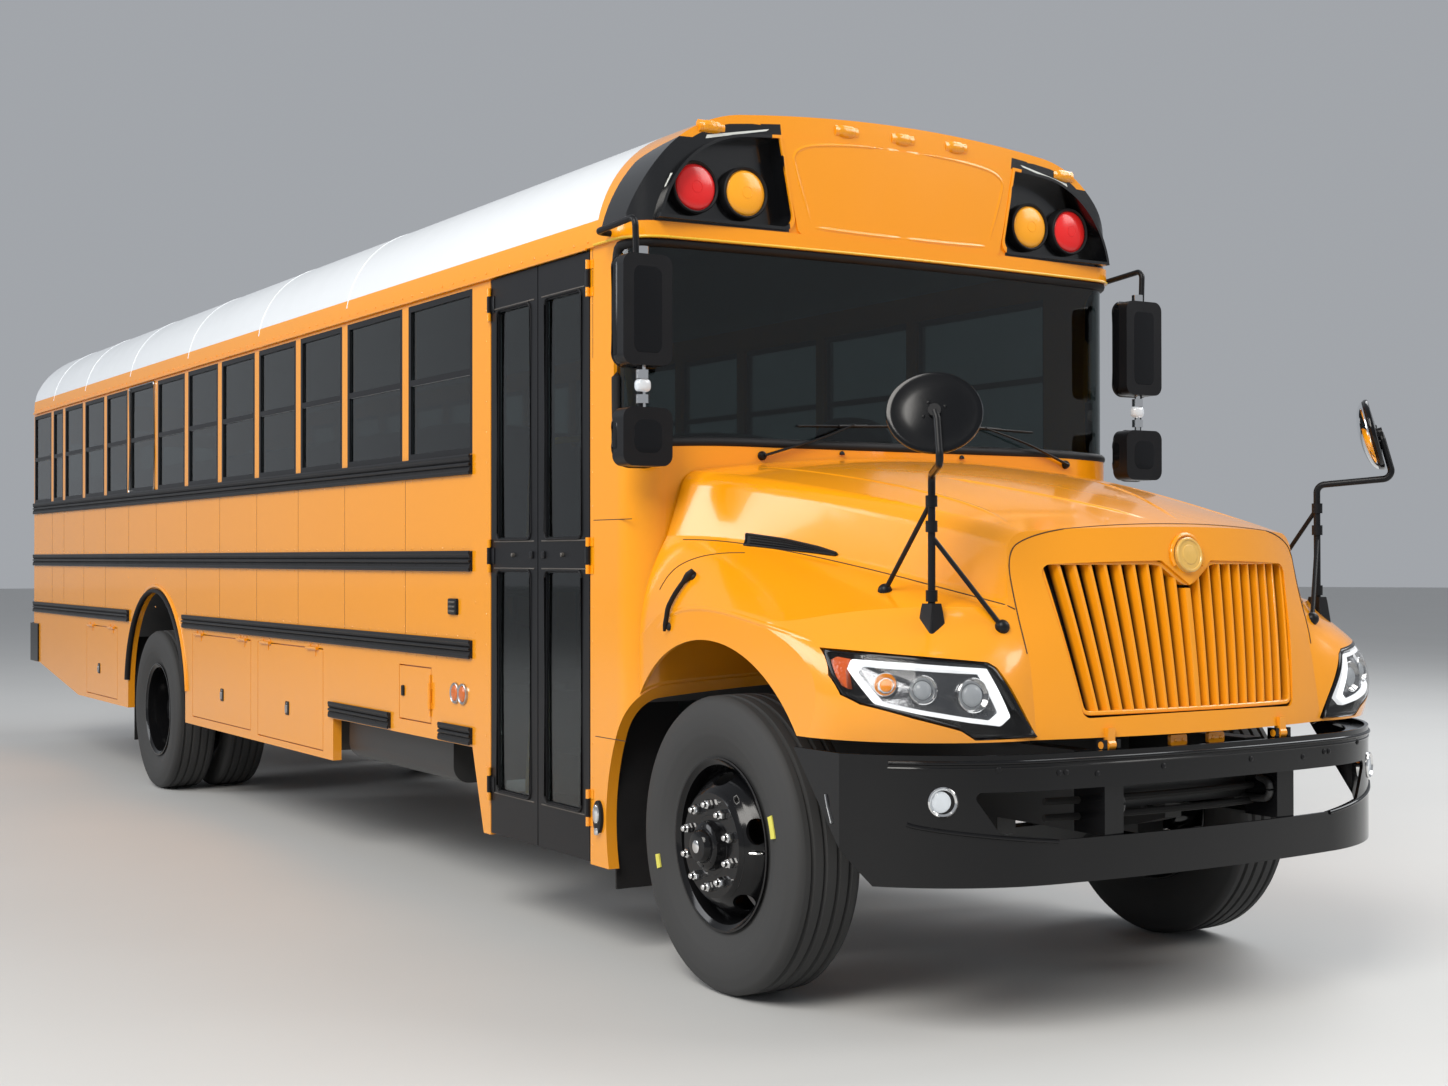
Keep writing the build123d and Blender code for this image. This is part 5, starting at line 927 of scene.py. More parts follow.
def front_wheel(name, out, section, holes):
    """Tyre, wheel and paint marks of a front wheel."""
    y = out * FRONT_TYRE
    centre, axis, body = (FRONT_AXLE, y, WHEEL_HEIGHT), out * Y, f"wheel_front_{name}"
    tyre = lathe(section, centre, axis, 120, closed=True)
    piece(f"front_tyre_{name}", [tyre], "tyre_rubber", body, [f"tyre_front_{name}"], 50)
    cone = [
        (0.15, 0.07), (0.15, 0.182), (0.143, 0.192), (0.112, 0.222), (0.075, 0.245), (0.045, 0.262),
        (0.042, 0.274),
    ]
    outer_ring = [
        (0.052, 0.258), (0.045, 0.262), (0.04, 0.274), (0.02, 0.274), (0.03, 0.262), (0.041, 0.257),
    ]
    hub = lathe([
        (-0.06, 0), (-0.06, 0.11), (0.146, 0.11), (0.151, 0.104), (0.151, 0.088), (0.176, 0.083),
        (0.182, 0.076), (0.184, 0.06), (0.2, 0.057), (0.208, 0.05), (0.211, 0.03), (0.212, 0),
    ], centre, axis, 64)
    bolt = dots([(FRONT_AXLE, y + out * 0.1835, WHEEL_HEIGHT + 0.069)], axis, 0.005)
    shine = lathe([(0.2115, 0), (0.2125, 0.022), (0.2135, 0.02), (0.214, 0)], centre, axis, 32)
    stem = places_at(
        FRONT_AXLE + np.array([0.262, 0.25, 0.225]), y + out * np.array([0.06, 0.11, 0.135]), WHEEL_HEIGHT,
    )
    parts = [rim_barrel(centre, axis)] + wheel_disc(centre, out, cone, 0.1375, outer_ring, holes) + [hub]
    bright = wheel_nuts(FRONT_AXLE, y + out * 0.15, out) + [shine, tube(bent(stem), 0.004, 8)]
    parts += around(bolt, 8, centre, Y) + with_finish(bright, 1)
    piece(f"front_wheel_{name}", parts, ["black_gloss", "chrome"], body, [body])
    marks = []
    for angle, length, r in ((0.18, 0.075, 0.385), (3.35, 0.05, 0.4)):
        t = np.linspace(angle, angle + length / r, 8)
        edges = [
            places_at(FRONT_AXLE + reach * np.cos(t), y + out * 0.1385, WHEEL_HEIGHT + reach * np.sin(t))
            for reach in (r - 0.012, r + 0.012)
        ]
        marks.append(patch(*edges, 3, 8, 0.004, 0.0022))
    piece(f"tyre_marks_{name}", marks, "mark_yellow", body)


def rear_wheels(name, out, section, holes):
    """Twin tyres and wheels of the rear axle."""
    centre, inner_centre = ((REAR_AXLE, out * y, WHEEL_HEIGHT) for y in REAR_TYRES)
    y, axis, body = centre[1], out * Y, f"wheels_rear_{name}"
    tyres = [lathe(section, place, axis, 120, closed=True) for place in (centre, inner_centre)]
    piece(f"rear_tyres_{name}", tyres, "tyre_rubber", body, [f"tyres_rear_{name}"], 50)
    cone = [
        (-0.1555, 0.07), (-0.1555, 0.182), (-0.15, 0.192), (-0.118, 0.222), (-0.08, 0.245), (-0.045, 0.262),
        (-0.042, 0.274),
    ]
    outer_ring = [
        (-0.053, 0.257), (-0.045, 0.262), (-0.03, 0.274), (-0.05, 0.274), (-0.058, 0.262), (-0.064, 0.256),
    ]
    hub = lathe([
        (-0.39, 0), (-0.39, 0.11), (-0.16, 0.11), (-0.155, 0.108), (-0.02, 0.106), (-0.012, 0.102),
        (-0.01, 0.09), (0.02, 0.088), (0.032, 0.08), (0.036, 0.06), (0.038, 0),
    ], centre, axis, 64)
    back_plate = lathe([
        (0.16, 0.07), (0.16, 0.182), (0.13, 0.215), (0.045, 0.262), (0.03, 0.274), (0.018, 0.274),
        (0.03, 0.258), (0.118, 0.207), (0.148, 0.178), (0.148, 0.07),
    ], inner_centre, axis, 72, closed=True)
    bolt = dots([(REAR_AXLE, y + out * 0.0205, WHEEL_HEIGHT + 0.079)], axis, 0.006)
    parts = [rim_barrel(centre, axis), rim_barrel(inner_centre, axis)]
    parts += wheel_disc(centre, out, cone, -0.145, outer_ring, holes) + [hub, back_plate]
    parts += around(bolt, 8, centre, Y) + with_finish(wheel_nuts(REAR_AXLE, y - out * 0.1555, out), 1)
    piece(f"rear_wheels_{name}", parts, ["black_gloss", "chrome"], body, [body])


class BUS_OT_wheels(bpy.types.Operator):
    """Tyres with grooved treads, dished wheels with hand holes, hubs and nuts"""

    bl_idname = "bus.wheels"
    bl_label = "Wheels"

    def execute(self, context):
        sizes = context.scene.bus_fittings
        section = tyre_profile(sizes.groove)
        for name, out in (("left", 1), ("right", -1)):
            front_wheel(name, out, section, sizes.hand_holes)
            rear_wheels(name, out, section, sizes.hand_holes)
        return {"FINISHED"}


# Hood, grille and headlamps


def from_axle(points):
    """Millimetres from the front axle as metres in the frame."""
    return np.asarray(points, float) / 1000 + [FRONT_AXLE, 0, 0]


class BUS_OT_hood(bpy.types.Operator):
    """Hood seams, creases, vent slots filled with painted shade, latches, the brackets under the nose and the
    badge's bare disc
    """

    bl_idname = "bus.hood"
    bl_label = "Hood"

    def execute(self, context):
        seam = context.scene.bus_fittings.seam
        tree = surface_of("hood", "grille", heart=(FRONT_AXLE + 0.15, 0, 1.05))
        fender = from_axle([
            (-370, -1072, 1590), (-105, -997, 1575), (190, -903, 1531), (515, -804, 1468), (712, -749, 1425),
            (1009, -660, 1357),
        ])
        surround = from_axle([
            (1057, -652, 1218), (1009, -656, 1357), (961, -658, 1537), (986, -584, 1591), (1020, -380, 1612),
            (1048, -176, 1630), (1060, 0, 1636),
        ])
        rear = from_axle([
            (-30, -1050, 1554), (-120, -1050, 1535), (-211, -1050, 1502), (-296, -1060, 1453),
            (-340, -1080, 1380),
        ])
        lines = [seam_line(tree, path, seam) for path in (fender, surround, rear)]
        twins("hood_seams", lines, "gap_dark", "hood")

        crease = from_axle([(240, -368, 1809), (560, -262, 1745), (895, -108, 1675), (1010, -60, 1640)])
        brow = from_axle(
            [(-380, -700, 1800), (-100, -640, 1790), (300, -560, 1745), (700, -540, 1690), (930, -585, 1600)]
        )
        flare = from_axle([
            (-385, -1190, 1252), (-278, -1190, 1309), (-146, -1190, 1339), (36, -1190, 1343),
            (193, -1190, 1326), (424, -1190, 1292), (679, -1190, 1254),
        ])
        pressed = [
            ridge(tree, crease, 0.014, 0.005), ridge(tree, brow, 0.016, 0.0035),
            ridge(tree, flare, 0.012, 0.004),
        ]
        twins("hood_creases", pressed, "body_paint", "hood")

        # Each vent slot is a near-black sheet on the hood: painted shade of the opening under its blades
        slot_top = from_axle([(-84, -1005, 1622), (90, -960, 1606), (235, -915, 1578), (320, -885, 1552)])
        slot_foot = from_axle([(-72, -1020, 1580), (90, -975, 1572), (235, -925, 1560), (322, -886, 1545)])
        slots = [patch(slot_top, slot_foot, 6, 30, 0.004, 0.0012, tree)]
        twins("hood_vents", slots, "void_black", "hood")
        rim, _ = settled(tree, spread(np.concatenate([slot_top, slot_foot[::-1], slot_top[:1]]), 80), 0.002)
        blades = []
        for share in (0.25, 0.5, 0.75):
            row, _ = settled(tree, spread(slot_top * (1 - share) + slot_foot * share, 20), 0.0025)
            blades.append(tube(row[1:-1], 0.0028, 6))
        twins("vent_edges", [tube(rim, 0.0045, 8)] + blades, "black_satin", "hood")

        path, _ = settled(tree, spread(from_axle([(-250, -1148, 1250), (-152, -1070, 1445)]), 24), 0.014)
        width = np.interp(np.linspace(0, 1, 24), [0, 0.1, 0.8, 0.9, 1], [0.006, 0.01, 0.01, 0.018, 0.012])
        straps = [tube(path, width, 12, flat=0.6)]
        foot, normal = settled(tree, path[[2, 21]])
        straps += [dots([p - 0.001 * n], n, 0.016, 0.012, 14) for p, n in zip(foot, normal)]
        twins("hood_latches", straps, "black_rubber", "hood")

        # The badge's place: a bare disc with a ridge over it
        centre, _ = settled(tree, from_axle([(1098, 0, 1525)]))
        axis = unit(np.array([0.985, 0, 0.17]))
        middle = centre[0] + 0.002 * axis
        disc = [
            (-0.01, 0), (-0.01, 0.0585), (0.012, 0.0585), (0.0155, 0.055), (0.0155, 0.05), (0.012, 0.0475),
            (0.012, 0.034), (0.0145, 0.031), (0.0155, 0.015), (0.0158, 0),
        ]
        piece("badge_disc", [lathe(disc, middle, axis, 64)], "badge_disc", "hood")
        t = np.linspace(math.radians(-28), math.radians(208), 40)[:, None]
        arc, _ = settled(tree, middle + 0.069 * np.cos(t) * Y + 0.069 * np.sin(t) * np.cross(axis, Y), 0.003)
        piece("badge_collar", [tube(arc, 0.007, 10)], "body_paint", "hood")
        x, y, z = 5.99, -0.086, 0.925
        bolts = dots(places_at(x + 0.012, y + np.array([-0.018, 0.018]), z), X, 0.007)
        brackets = [on_end(x, 1, rounded(0.075, 0.036, 0.008, (y, z)), 0.012), bolts]
        twins("grille_brackets", brackets, "body_paint")
        return {"FINISHED"}


# Headlamp opening seen from the front: distance in from the body's side, and height
LAMP_OUTLINE = [
    (0.032, 1.232), (0.162, 1.216), (0.392, 1.192), (0.417, 1.176), (0.549, 0.962), (0.335, 0.96),
    (0.289, 0.99), (0.164, 1.028), (0.053, 1.069), (0.026, 1.094), (0.018, 1.152),
]
GLOW_OUTLINE = [
    (794, -1159, 1179), (800, -1140, 1203), (930, -1015, 1194), (1062, -824, 1176), (1097, -758, 1029),
    (1093, -795, 1002), (1069, -893, 1014), (985, -1020, 1040), (896, -1127, 1070),
]


def bowed_face(surface, centre, turns, heights):
    """Smooth face r(turn, z) about an upright axis: a sum of a * turn^i * z^j, fitted to casts."""
    turn, z = (a.ravel() for a in np.meshgrid(np.linspace(*turns, 34), np.linspace(*heights, 20)))
    out = places_at(np.cos(turn), np.sin(turn), 0)
    start = places_at(centre[0] + 1.6 * out[:, 0], centre[1] + 1.6 * out[:, 1], z)
    place, _ = hits(surface, start, -out)
    far = np.linalg.norm(place[:, :2] - np.asarray(centre), axis=1)
    t0, z0 = (turns[0] + turns[1]) / 2, (heights[0] + heights[1]) / 2
    powers = [(i, j) for i in range(6) for j in range(5) if i + j < 6]

    def terms(t, h):
        return np.stack([((t - t0) / 0.6) ** i * ((h - z0) / 0.15) ** j for i, j in powers], -1)

    keep = np.isfinite(far) & (far > 0.25)
    for _ in range(5):
        share = np.linalg.lstsq(terms(turn[keep], z[keep]), far[keep], rcond=None)[0]
        off = np.abs(terms(turn, z) @ share - np.nan_to_num(far))
        keep = np.isfinite(far) & (far > 0.25) & (off < max(0.0025, np.median(off[keep]) * 3))

    def face(points, lift=0.0):
        """Points put on the face along the line from its axis, and raised along its normal."""
        points = np.asarray(points, float)
        t = np.arctan2(points[..., 1] - centre[1], points[..., 0] - centre[0])

        def at(t, h):
            r = terms(t, h) @ share
            return np.stack([centre[0] + r * np.cos(t), centre[1] + r * np.sin(t), h], -1)

        h = points[..., 2]
        normal = unit(np.cross(at(t + 1e-3, h) - at(t - 1e-3, h), at(t, h + 1e-3) - at(t, h - 1e-3)))
        return at(t, h) + np.asarray(lift)[..., None] * normal

    return face


def dished(face, edge, levels):
    """Form inside a closed edge on a face: rings P = c + s * (edge - c), each raised by its own lift."""
    middle = edge.mean(0)
    rows = [face(middle + s * (edge - middle), np.full(len(edge), lift)) for s, lift in levels]
    return skin(np.stack(rows))


class BUS_OT_headlamps(bpy.types.Operator):
    """Headlamps: dark housing, glowing loop, two projectors, amber reflector and a clear cover"""

    bl_idname = "bus.headlamps"
    bl_label = "Headlamps"

    def execute(self, context):
        tree = surface_of("hood", "headlamps")
        face = bowed_face(tree, (FRONT_AXLE + 0.4, -0.55), (-1.5, -0.1), (0.99, 1.23))
        front = np.array([(6.6, inward - HALF_WIDTH, z) for inward, z in LAMP_OUTLINE])
        hit = cast(tree, front)
        hit = np.where(hit[:, :1] > 6.5, front - [1.1, 0, 0], hit)
        edge = closed_loop(hit, 130)
        housing = dished(face, edge, [
            (0.9, -0.06), (1.0, -0.058), (1.0, -0.001), (0.97, 0.0015), (0.93, 0.0005), (0.915, -0.004),
            (0.9, -0.034), (0.6, -0.04), (0.3, -0.042), (0.02, -0.042),
        ])
        twins("lamp_housings", [housing], "black_gloss", "hood")
        loop = closed_loop(from_axle(GLOW_OUTLINE), 130)
        middle = loop.mean(0)
        ring = [
            (1.05, -0.026), (1.05, -0.009), (1.035, -0.005), (0.905, -0.005), (0.89, -0.009), (0.89, -0.026),
        ]
        rows = [face(middle + s * (loop - middle), np.full(len(loop), lift)) for s, lift in ring]
        band = skin(np.stack(rows), closed_rows=True)
        twins("glow_loops", [band], "white_glow", "hood")
        floor = dished(
            face, loop, [(0.89, -0.04), (0.89, -0.026), (0.8, -0.03), (0.5, -0.034), (0.02, -0.034)],
        )
        twins("lamp_reflectors", [floor], "lamp_grey", "hood")
        bowls, eyes = [], []
        for place, radius in (((985, -1012, 1118), 0.043), ((1062, -868, 1098), 0.052)):
            point = from_axle([place])
            centre = face(point, np.full(1, -0.034))[0]
            axis = unit(unit(centre - face(point, np.full(1, -0.06))[0]) + 0.5 * X)
            profile = [
                (-0.02, 0), (-0.02, radius), (0.014, radius + 0.003), (0.017, radius),
                (0.014, radius - 0.004), (0.004, radius * 0.72), (0.002, 0),
            ]
            bowls.append(lathe(profile, centre, axis, 44))
            eyes.append(dome(centre, axis, 0.0, 0.004, 0.016, radius * 0.68, 8, 40))
        point = from_axle([(905, -1100, 1134)])
        centre = face(point, np.full(1, -0.036))[0]
        axis = unit(centre - face(point, np.full(1, -0.06))[0])
        bulb = dome(centre, axis, -0.004, 0.0, 0.022, 0.021, 7, 28)
        bowl = lathe(
            [(-0.01, 0), (-0.01, 0.036), (0.012, 0.038), (0.014, 0.035), (0.0, 0.024), (-0.001, 0)], centre,
            axis, 36,
        )
        twins("lamp_bowls", bowls + [bowl], "chrome", "hood")
        twins("lamp_projectors", eyes, "eye_lens", "hood")
        twins("turn_bulbs", [bulb], "turn_amber", "hood")
        reflector = from_axle([
            (716, -1180, 1196), (745, -1172, 1212), (792, -1148, 1206), (786, -1156, 1168),
            (806, -1166, 1112), (760, -1184, 1130), (735, -1186, 1160),
        ])
        amber = dished(
            face, closed_loop(reflector, 60),
            [(1.0, -0.03), (1.0, -0.004), (0.95, -0.001), (0.5, 0.0), (0.03, 0.0)],
        )
        twins("side_reflectors", [amber], "side_amber", "hood")
        cover = dished(face, edge, [
            (0.03, -0.0025), (0.5, -0.0025), (0.965, -0.0025), (0.965, 0.0015), (0.5, 0.0025), (0.03, 0.0025),
        ])
        twins("lamp_covers", [cover], "lamp_cover", "hood", ["headlamps"])
        return {"FINISHED"}


GRILLE_FOOT, GRILLE_HEAD = 1.018, 1.512
GRILLE_HALF_FOOT, GRILLE_HALF_HEAD = 0.478, 0.562
GRILLE_FRAME = 0.014
BADGE_NOTCH = (0.114, 0.082)
BAR_COUNT = 19


def grille_half(z):
    """Half width inside the grille's frame at a height."""
    share = (z - GRILLE_FOOT) / (GRILLE_HEAD - GRILLE_FOOT)
    return GRILLE_HALF_FOOT + (GRILLE_HALF_HEAD - GRILLE_HALF_FOOT) * share - GRILLE_FRAME


def softened(outline, reach, steps=6):
    """Closed outline with each corner P made a curve (1-t)^2 * A + 2 t (1-t) * P + t^2 * B."""
    corner = np.asarray(outline, float)
    before = corner + reach * unit(np.roll(corner, 1, 0) - corner)
    after = corner + reach * unit(np.roll(corner, -1, 0) - corner)
    t = np.linspace(0, 1, steps)[None, :, None]
    curve = (1 - t) ** 2 * before[:, None] + 2 * t * (1 - t) * corner[:, None] + t**2 * after[:, None]
    return curve.reshape(-1, 2)


def grille_bar(share, shares):
    """Upright bar on the line share * half width(z), round at its nose and wider at its back."""
    half = np.array([0.0, 0.004, 0.0062, 0.011, 0.014])
    if abs(share) < 0.01:
        half = half + 1.6 * np.array([0, 0.004, 0.004, 0.003, 0.002])
    deep = np.array([0.0, 0.0012, 0.0055, 0.03, 0.044])
    side = np.concatenate([half[::-1], -half[1:]])
    depth = np.concatenate([deep[::-1], deep[1:]]) + 0.001
    at_head = abs(share) * grille_half(GRILLE_HEAD)
    notch = max(0.0, BADGE_NOTCH[1] * (1 - at_head / BADGE_NOTCH[0]))
    z = np.linspace(GRILLE_FOOT + 0.01, GRILLE_HEAD - 0.01 - notch, 14)[:, None] + 0 * side
    y = share * grille_half(z) + side
    return skin(np.stack([bow(y, z) @ shares - depth, y, z], -1))


class BUS_OT_grille(bpy.types.Operator):
    """Frame of the grille with its dip under the badge, the bars, and dark painted shade on their backs and
    behind them
    """

    bl_idname = "bus.grille"
    bl_label = "Grille"

    def execute(self, context):
        shares = bow_shares()
        bars = [grille_bar(share, shares) for share in np.linspace(-1, 1, BAR_COUNT + 2)[1:-1]]
        wide, dip = BADGE_NOTCH
        corners = [
            (-GRILLE_HALF_FOOT, GRILLE_FOOT), (GRILLE_HALF_FOOT, GRILLE_FOOT),
            (GRILLE_HALF_HEAD, GRILLE_HEAD), (wide, GRILLE_HEAD), (0, GRILLE_HEAD - dip),
            (-wide, GRILLE_HEAD), (-GRILLE_HALF_HEAD, GRILLE_HEAD),
        ]
        loop = softened(corners, np.array([30, 30, 30, 30, 45, 30, 30])[:, None] / 1000)
        loop = closed_loop(loop, 419)
        levels = [
            (0.0006, 0.044), (0.0006, 0.002), (0.003, 0.0), (0.011, 0.0), (0.014, 0.003), (0.016, 0.044),
        ]
        rows = []
        for by, deep in levels:
            ring = drawn_in(loop, by)
            rows.append(np.column_stack([bow(ring[:, 0], ring[:, 1]) @ shares - deep, ring]))
        frame_ring = skin(np.stack(rows), closed_rows=True, ends=False)
        # The bars' paint turns black towards their backs: painted shade in the gaps
        piece("grille_bars", [frame_ring] + bars, "grille_paint", "hood", ["grille"])
        # Near-black sheet 60 mm behind the bars: painted shade of the deep opening
        grid_z, grid_y = np.meshgrid(
            np.linspace(0.985, 1.53, 24), np.linspace(-0.58, 0.58, 40), indexing="ij",
        )
        back = np.stack([bow(grid_y, grid_z) @ shares - 0.06, grid_y, grid_z], -1)
        piece("grille_backing", [slab(back, back - [0.004, 0, 0])], "void_black", "hood")
        return {"FINISHED"}


# Windshield, wipers and roof cap


class BUS_OT_windshield(bpy.types.Operator):
    """Black seal round the windshield and two wipers"""

    bl_idname = "bus.windshield"
    bl_label = "Windshield"

    def execute(self, context):
        tree = surface_of("cowl", "front_cap", "window_glass")
        glass = surface_of("window_glass")
        frame_line = np.array([
            (0, 1.958), (-0.6, 1.958), (-1.00, 1.96), (-1.25, 1.952), (-1.46, 1.945), (-1.5, 1.96),
            (-1.515, 2.05), (-1.515, 2.35), (-1.515, 2.6), (-1.5, 2.69), (-1.46, 2.702), (-1.25, 2.704),
            (-1.00, 2.704), (-0.6, 2.704), (0, 2.704),
        ])
        # Along the glass's own plan line: y across the front, then x back along the side
        front_line = cast(glass, places_at(5.2, np.linspace(0, -1.19, 200), 2.2))
        front_line = front_line[front_line[:, 0] < 4.6]
        side_start = places_at(np.linspace(front_line[-1, 0] - 0.004, 4.176, 60), -1.6, 2.2)
        side_line = cast(glass, side_start, (0, 1, 0))
        side_line = side_line[side_line[:, 1] > -1.3]
        plan = np.concatenate([front_line, side_line])[:, :2]
        far = np.concatenate([[0], np.cumsum(np.linalg.norm(np.diff(plan, axis=0), axis=1))])
        line = spread(bent(frame_line, 3), 170)
        along = -line[:, 0] / 1.515 * far[-1]
        place = np.stack(
            [np.interp(along, far, plan[:, 0]), np.interp(along, far, plan[:, 1]), line[:, 1]], 1,
        )
        seal = tube(place, 0.021, 12)
        twins("windshield_seal", [seal], "black_rubber")

        arms = []
        for start, bend, tip, ends in (
            ((-462, -665, 1912), (-452, -395, 1990), (-448, -250, 2044), ((-499, 2032), (-16, 2047))),
            ((-475, 888, 1917), (-458, 640, 2000), (-452, 424, 2054), ((700, 2048), (210, 2060))),
        ):
            pivot, elbow, end = from_axle([start, bend, tip])
            out = np.array([0.024, 0, 0])
            path = bent(
                [pivot + 0.02 * X, pivot + 0.5 * (elbow - pivot) + out, elbow + out, end + 0.7 * out], 3,
            )
            width = np.linspace(0.011, 0.005, len(path))
            arms.append(tube(path, width, 10, flat=0.55))
            arms.append(
                lathe([(-0.03, 0), (-0.03, 0.02), (0.012, 0.018), (0.022, 0.012), (0.024, 0)], pivot, X, 20)
            )
            low, high = (from_axle([(-452, y, z)])[0] for y, z in ends)
            line = np.linspace(low, high, 30)
            onto = cast(tree, line + [0.3, 0, 0])
            arms.append(tube(onto + [0.004, 0, 0], 0.005, 8))
            arms.append(tube(onto + [0.013, 0, 0], 0.0045, 8, flat=0.6))
            arms.append(tube(np.linspace(onto[11], onto[19], 8) + [0.018, 0, 0], 0.006, 8))
            knuckle = (onto[11] + onto[19]) / 2 + [0.02, 0, 0]
            arms.append(
                tube(np.stack([end + 0.7 * out, (end + knuckle) / 2 + 0.2 * out, knuckle]), 0.0055, 8)
            )
        nozzles = [dots(from_axle([(-440, y, 1928)]), Z, 0.011, 0.012, 14) for y in (-300, 300)]
        piece("wipers", arms + nozzles, "black_satin")
        return {"FINISHED"}


class BUS_OT_roof_cap(bpy.types.Operator):
    """Lamp surrounds, clearance markers, reflective strips and the pressed middle panel of the roof cap"""

    bl_idname = "bus.roof_cap"
    bl_label = "Roof cap"

    def execute(self, context):
        tree = surface_of("front_cap", heart=(3.3, 0, 2.75))
        rings, fronts = [], {"red_lens": [], "amber_lens": []}
        for y, kind in ((0.9385, "red_lens"), (0.714, "amber_lens")):
            centre = (FRONT_AXLE - 0.527, -y, 2.922)
            rings.append(lathe(
                [(-0.01, 0.088), (-0.01, 0.103), (0.036, 0.1), (0.04, 0.095), (0.036, 0.089)], centre, X, 56,
                closed=True,
            ))
            fronts[kind].append(dome(centre, X, 0.02, 0.03, 0.016, 0.086, 10, 56))
            ribs = [(0.045 - 0.016 * (r / 0.086) ** 2, r) for r in (0.022, 0.044, 0.066)]
            fronts[kind] += [
                lathe(
                    [(a - 0.004, r - 0.003), (a + 0.0025, r), (a - 0.004, r + 0.003)], centre, X, 48,
                    closed=True,
                )
                for a, r in ribs
            ]
        twins("front_lamp_rings", rings, "black_rubber")
        twins("front_red_lenses", fronts["red_lens"], "red_lens")
        twins("front_amber_lenses", fronts["amber_lens"], "amber_lens")

        strips = []
        for low, high in (
            ([(-472, -907, 3106), (-457, -642, 3161)], [(-472, -901, 3120), (-450, -634, 3172)]),
            ([(-480, -1070, 2905), (-480, -1045, 2960)], [(-480, -1082, 2905), (-480, -1058, 2962)]),
        ):
            strips.append(patch(from_axle(low), from_axle(high), 3, 30, 0.002, 0.001, tree))
        twins("reflective_strips", strips, "reflective_white")

        markers, feet = [], []
        for y in (-0.86, -0.27, 0.0, 0.27, 0.86):
            place, normal = settled(tree, from_axle([(-444 - 60 * abs(y), y * 1000, 3198 - 75 * y * y)]))
            t = np.linspace(-0.045, 0.045, 16)
            girth = 0.02 * np.sqrt(np.maximum(1 - (t / 0.045) ** 4, 0.06))
            markers.append(tube(place + t[:, None] * Y - 0.004 * normal, girth, 12, flat=1.3))
            foot = place + np.array([[-0.055], [0.055]]) * Y - 0.01 * normal
            feet.append(tube(foot, 0.017, 12, flat=1.5))
        piece("clearance_lamps", markers, "marker_lens")
        piece("clearance_bases", feet, "body_paint")

        panel = from_axle(
            [(-442, 440, 2806), (-445, 507, 3000), (-446, 535, 3110), (-446, 300, 3142), (-446, 0, 3150)]
        )
        panel_low = from_axle([(-442, 440, 2806), (-440, 200, 2800), (-440, 0, 2800)])
        pressed = [ridge(tree, panel, 0.01, 0.004), ridge(tree, panel_low, 0.01, 0.004)]
        twins("cap_pressing", pressed, "body_paint")
        lip = from_axle([
            (-439, 0, 2720), (-452, -500, 2720), (-468, -900, 2720), (-500, -1090, 2720), (-640, -1207, 2720),
            (-790, -1212, 2720),
        ])
        edge, _ = settled(tree, spread(bent(lip, 3), 70), 0.001)
        twins("cap_lip_edge", [tube(edge, 0.005, 8)], "warm_yellow")
        return {"FINISHED"}


# Body sides

# Which window from the front, counted from 0, has the push-out frame
PUSH_OUT_WINDOW = 7


def window_spans():
    """Rear and front edge of each window opening along a side."""
    fronts = WALL_FRONT + HALF_POST - np.concatenate([[0], np.cumsum(BAYS)])
    return [(rear + HALF_POST, front - HALF_POST) for front, rear in zip(fronts[:-1], fronts[1:])]


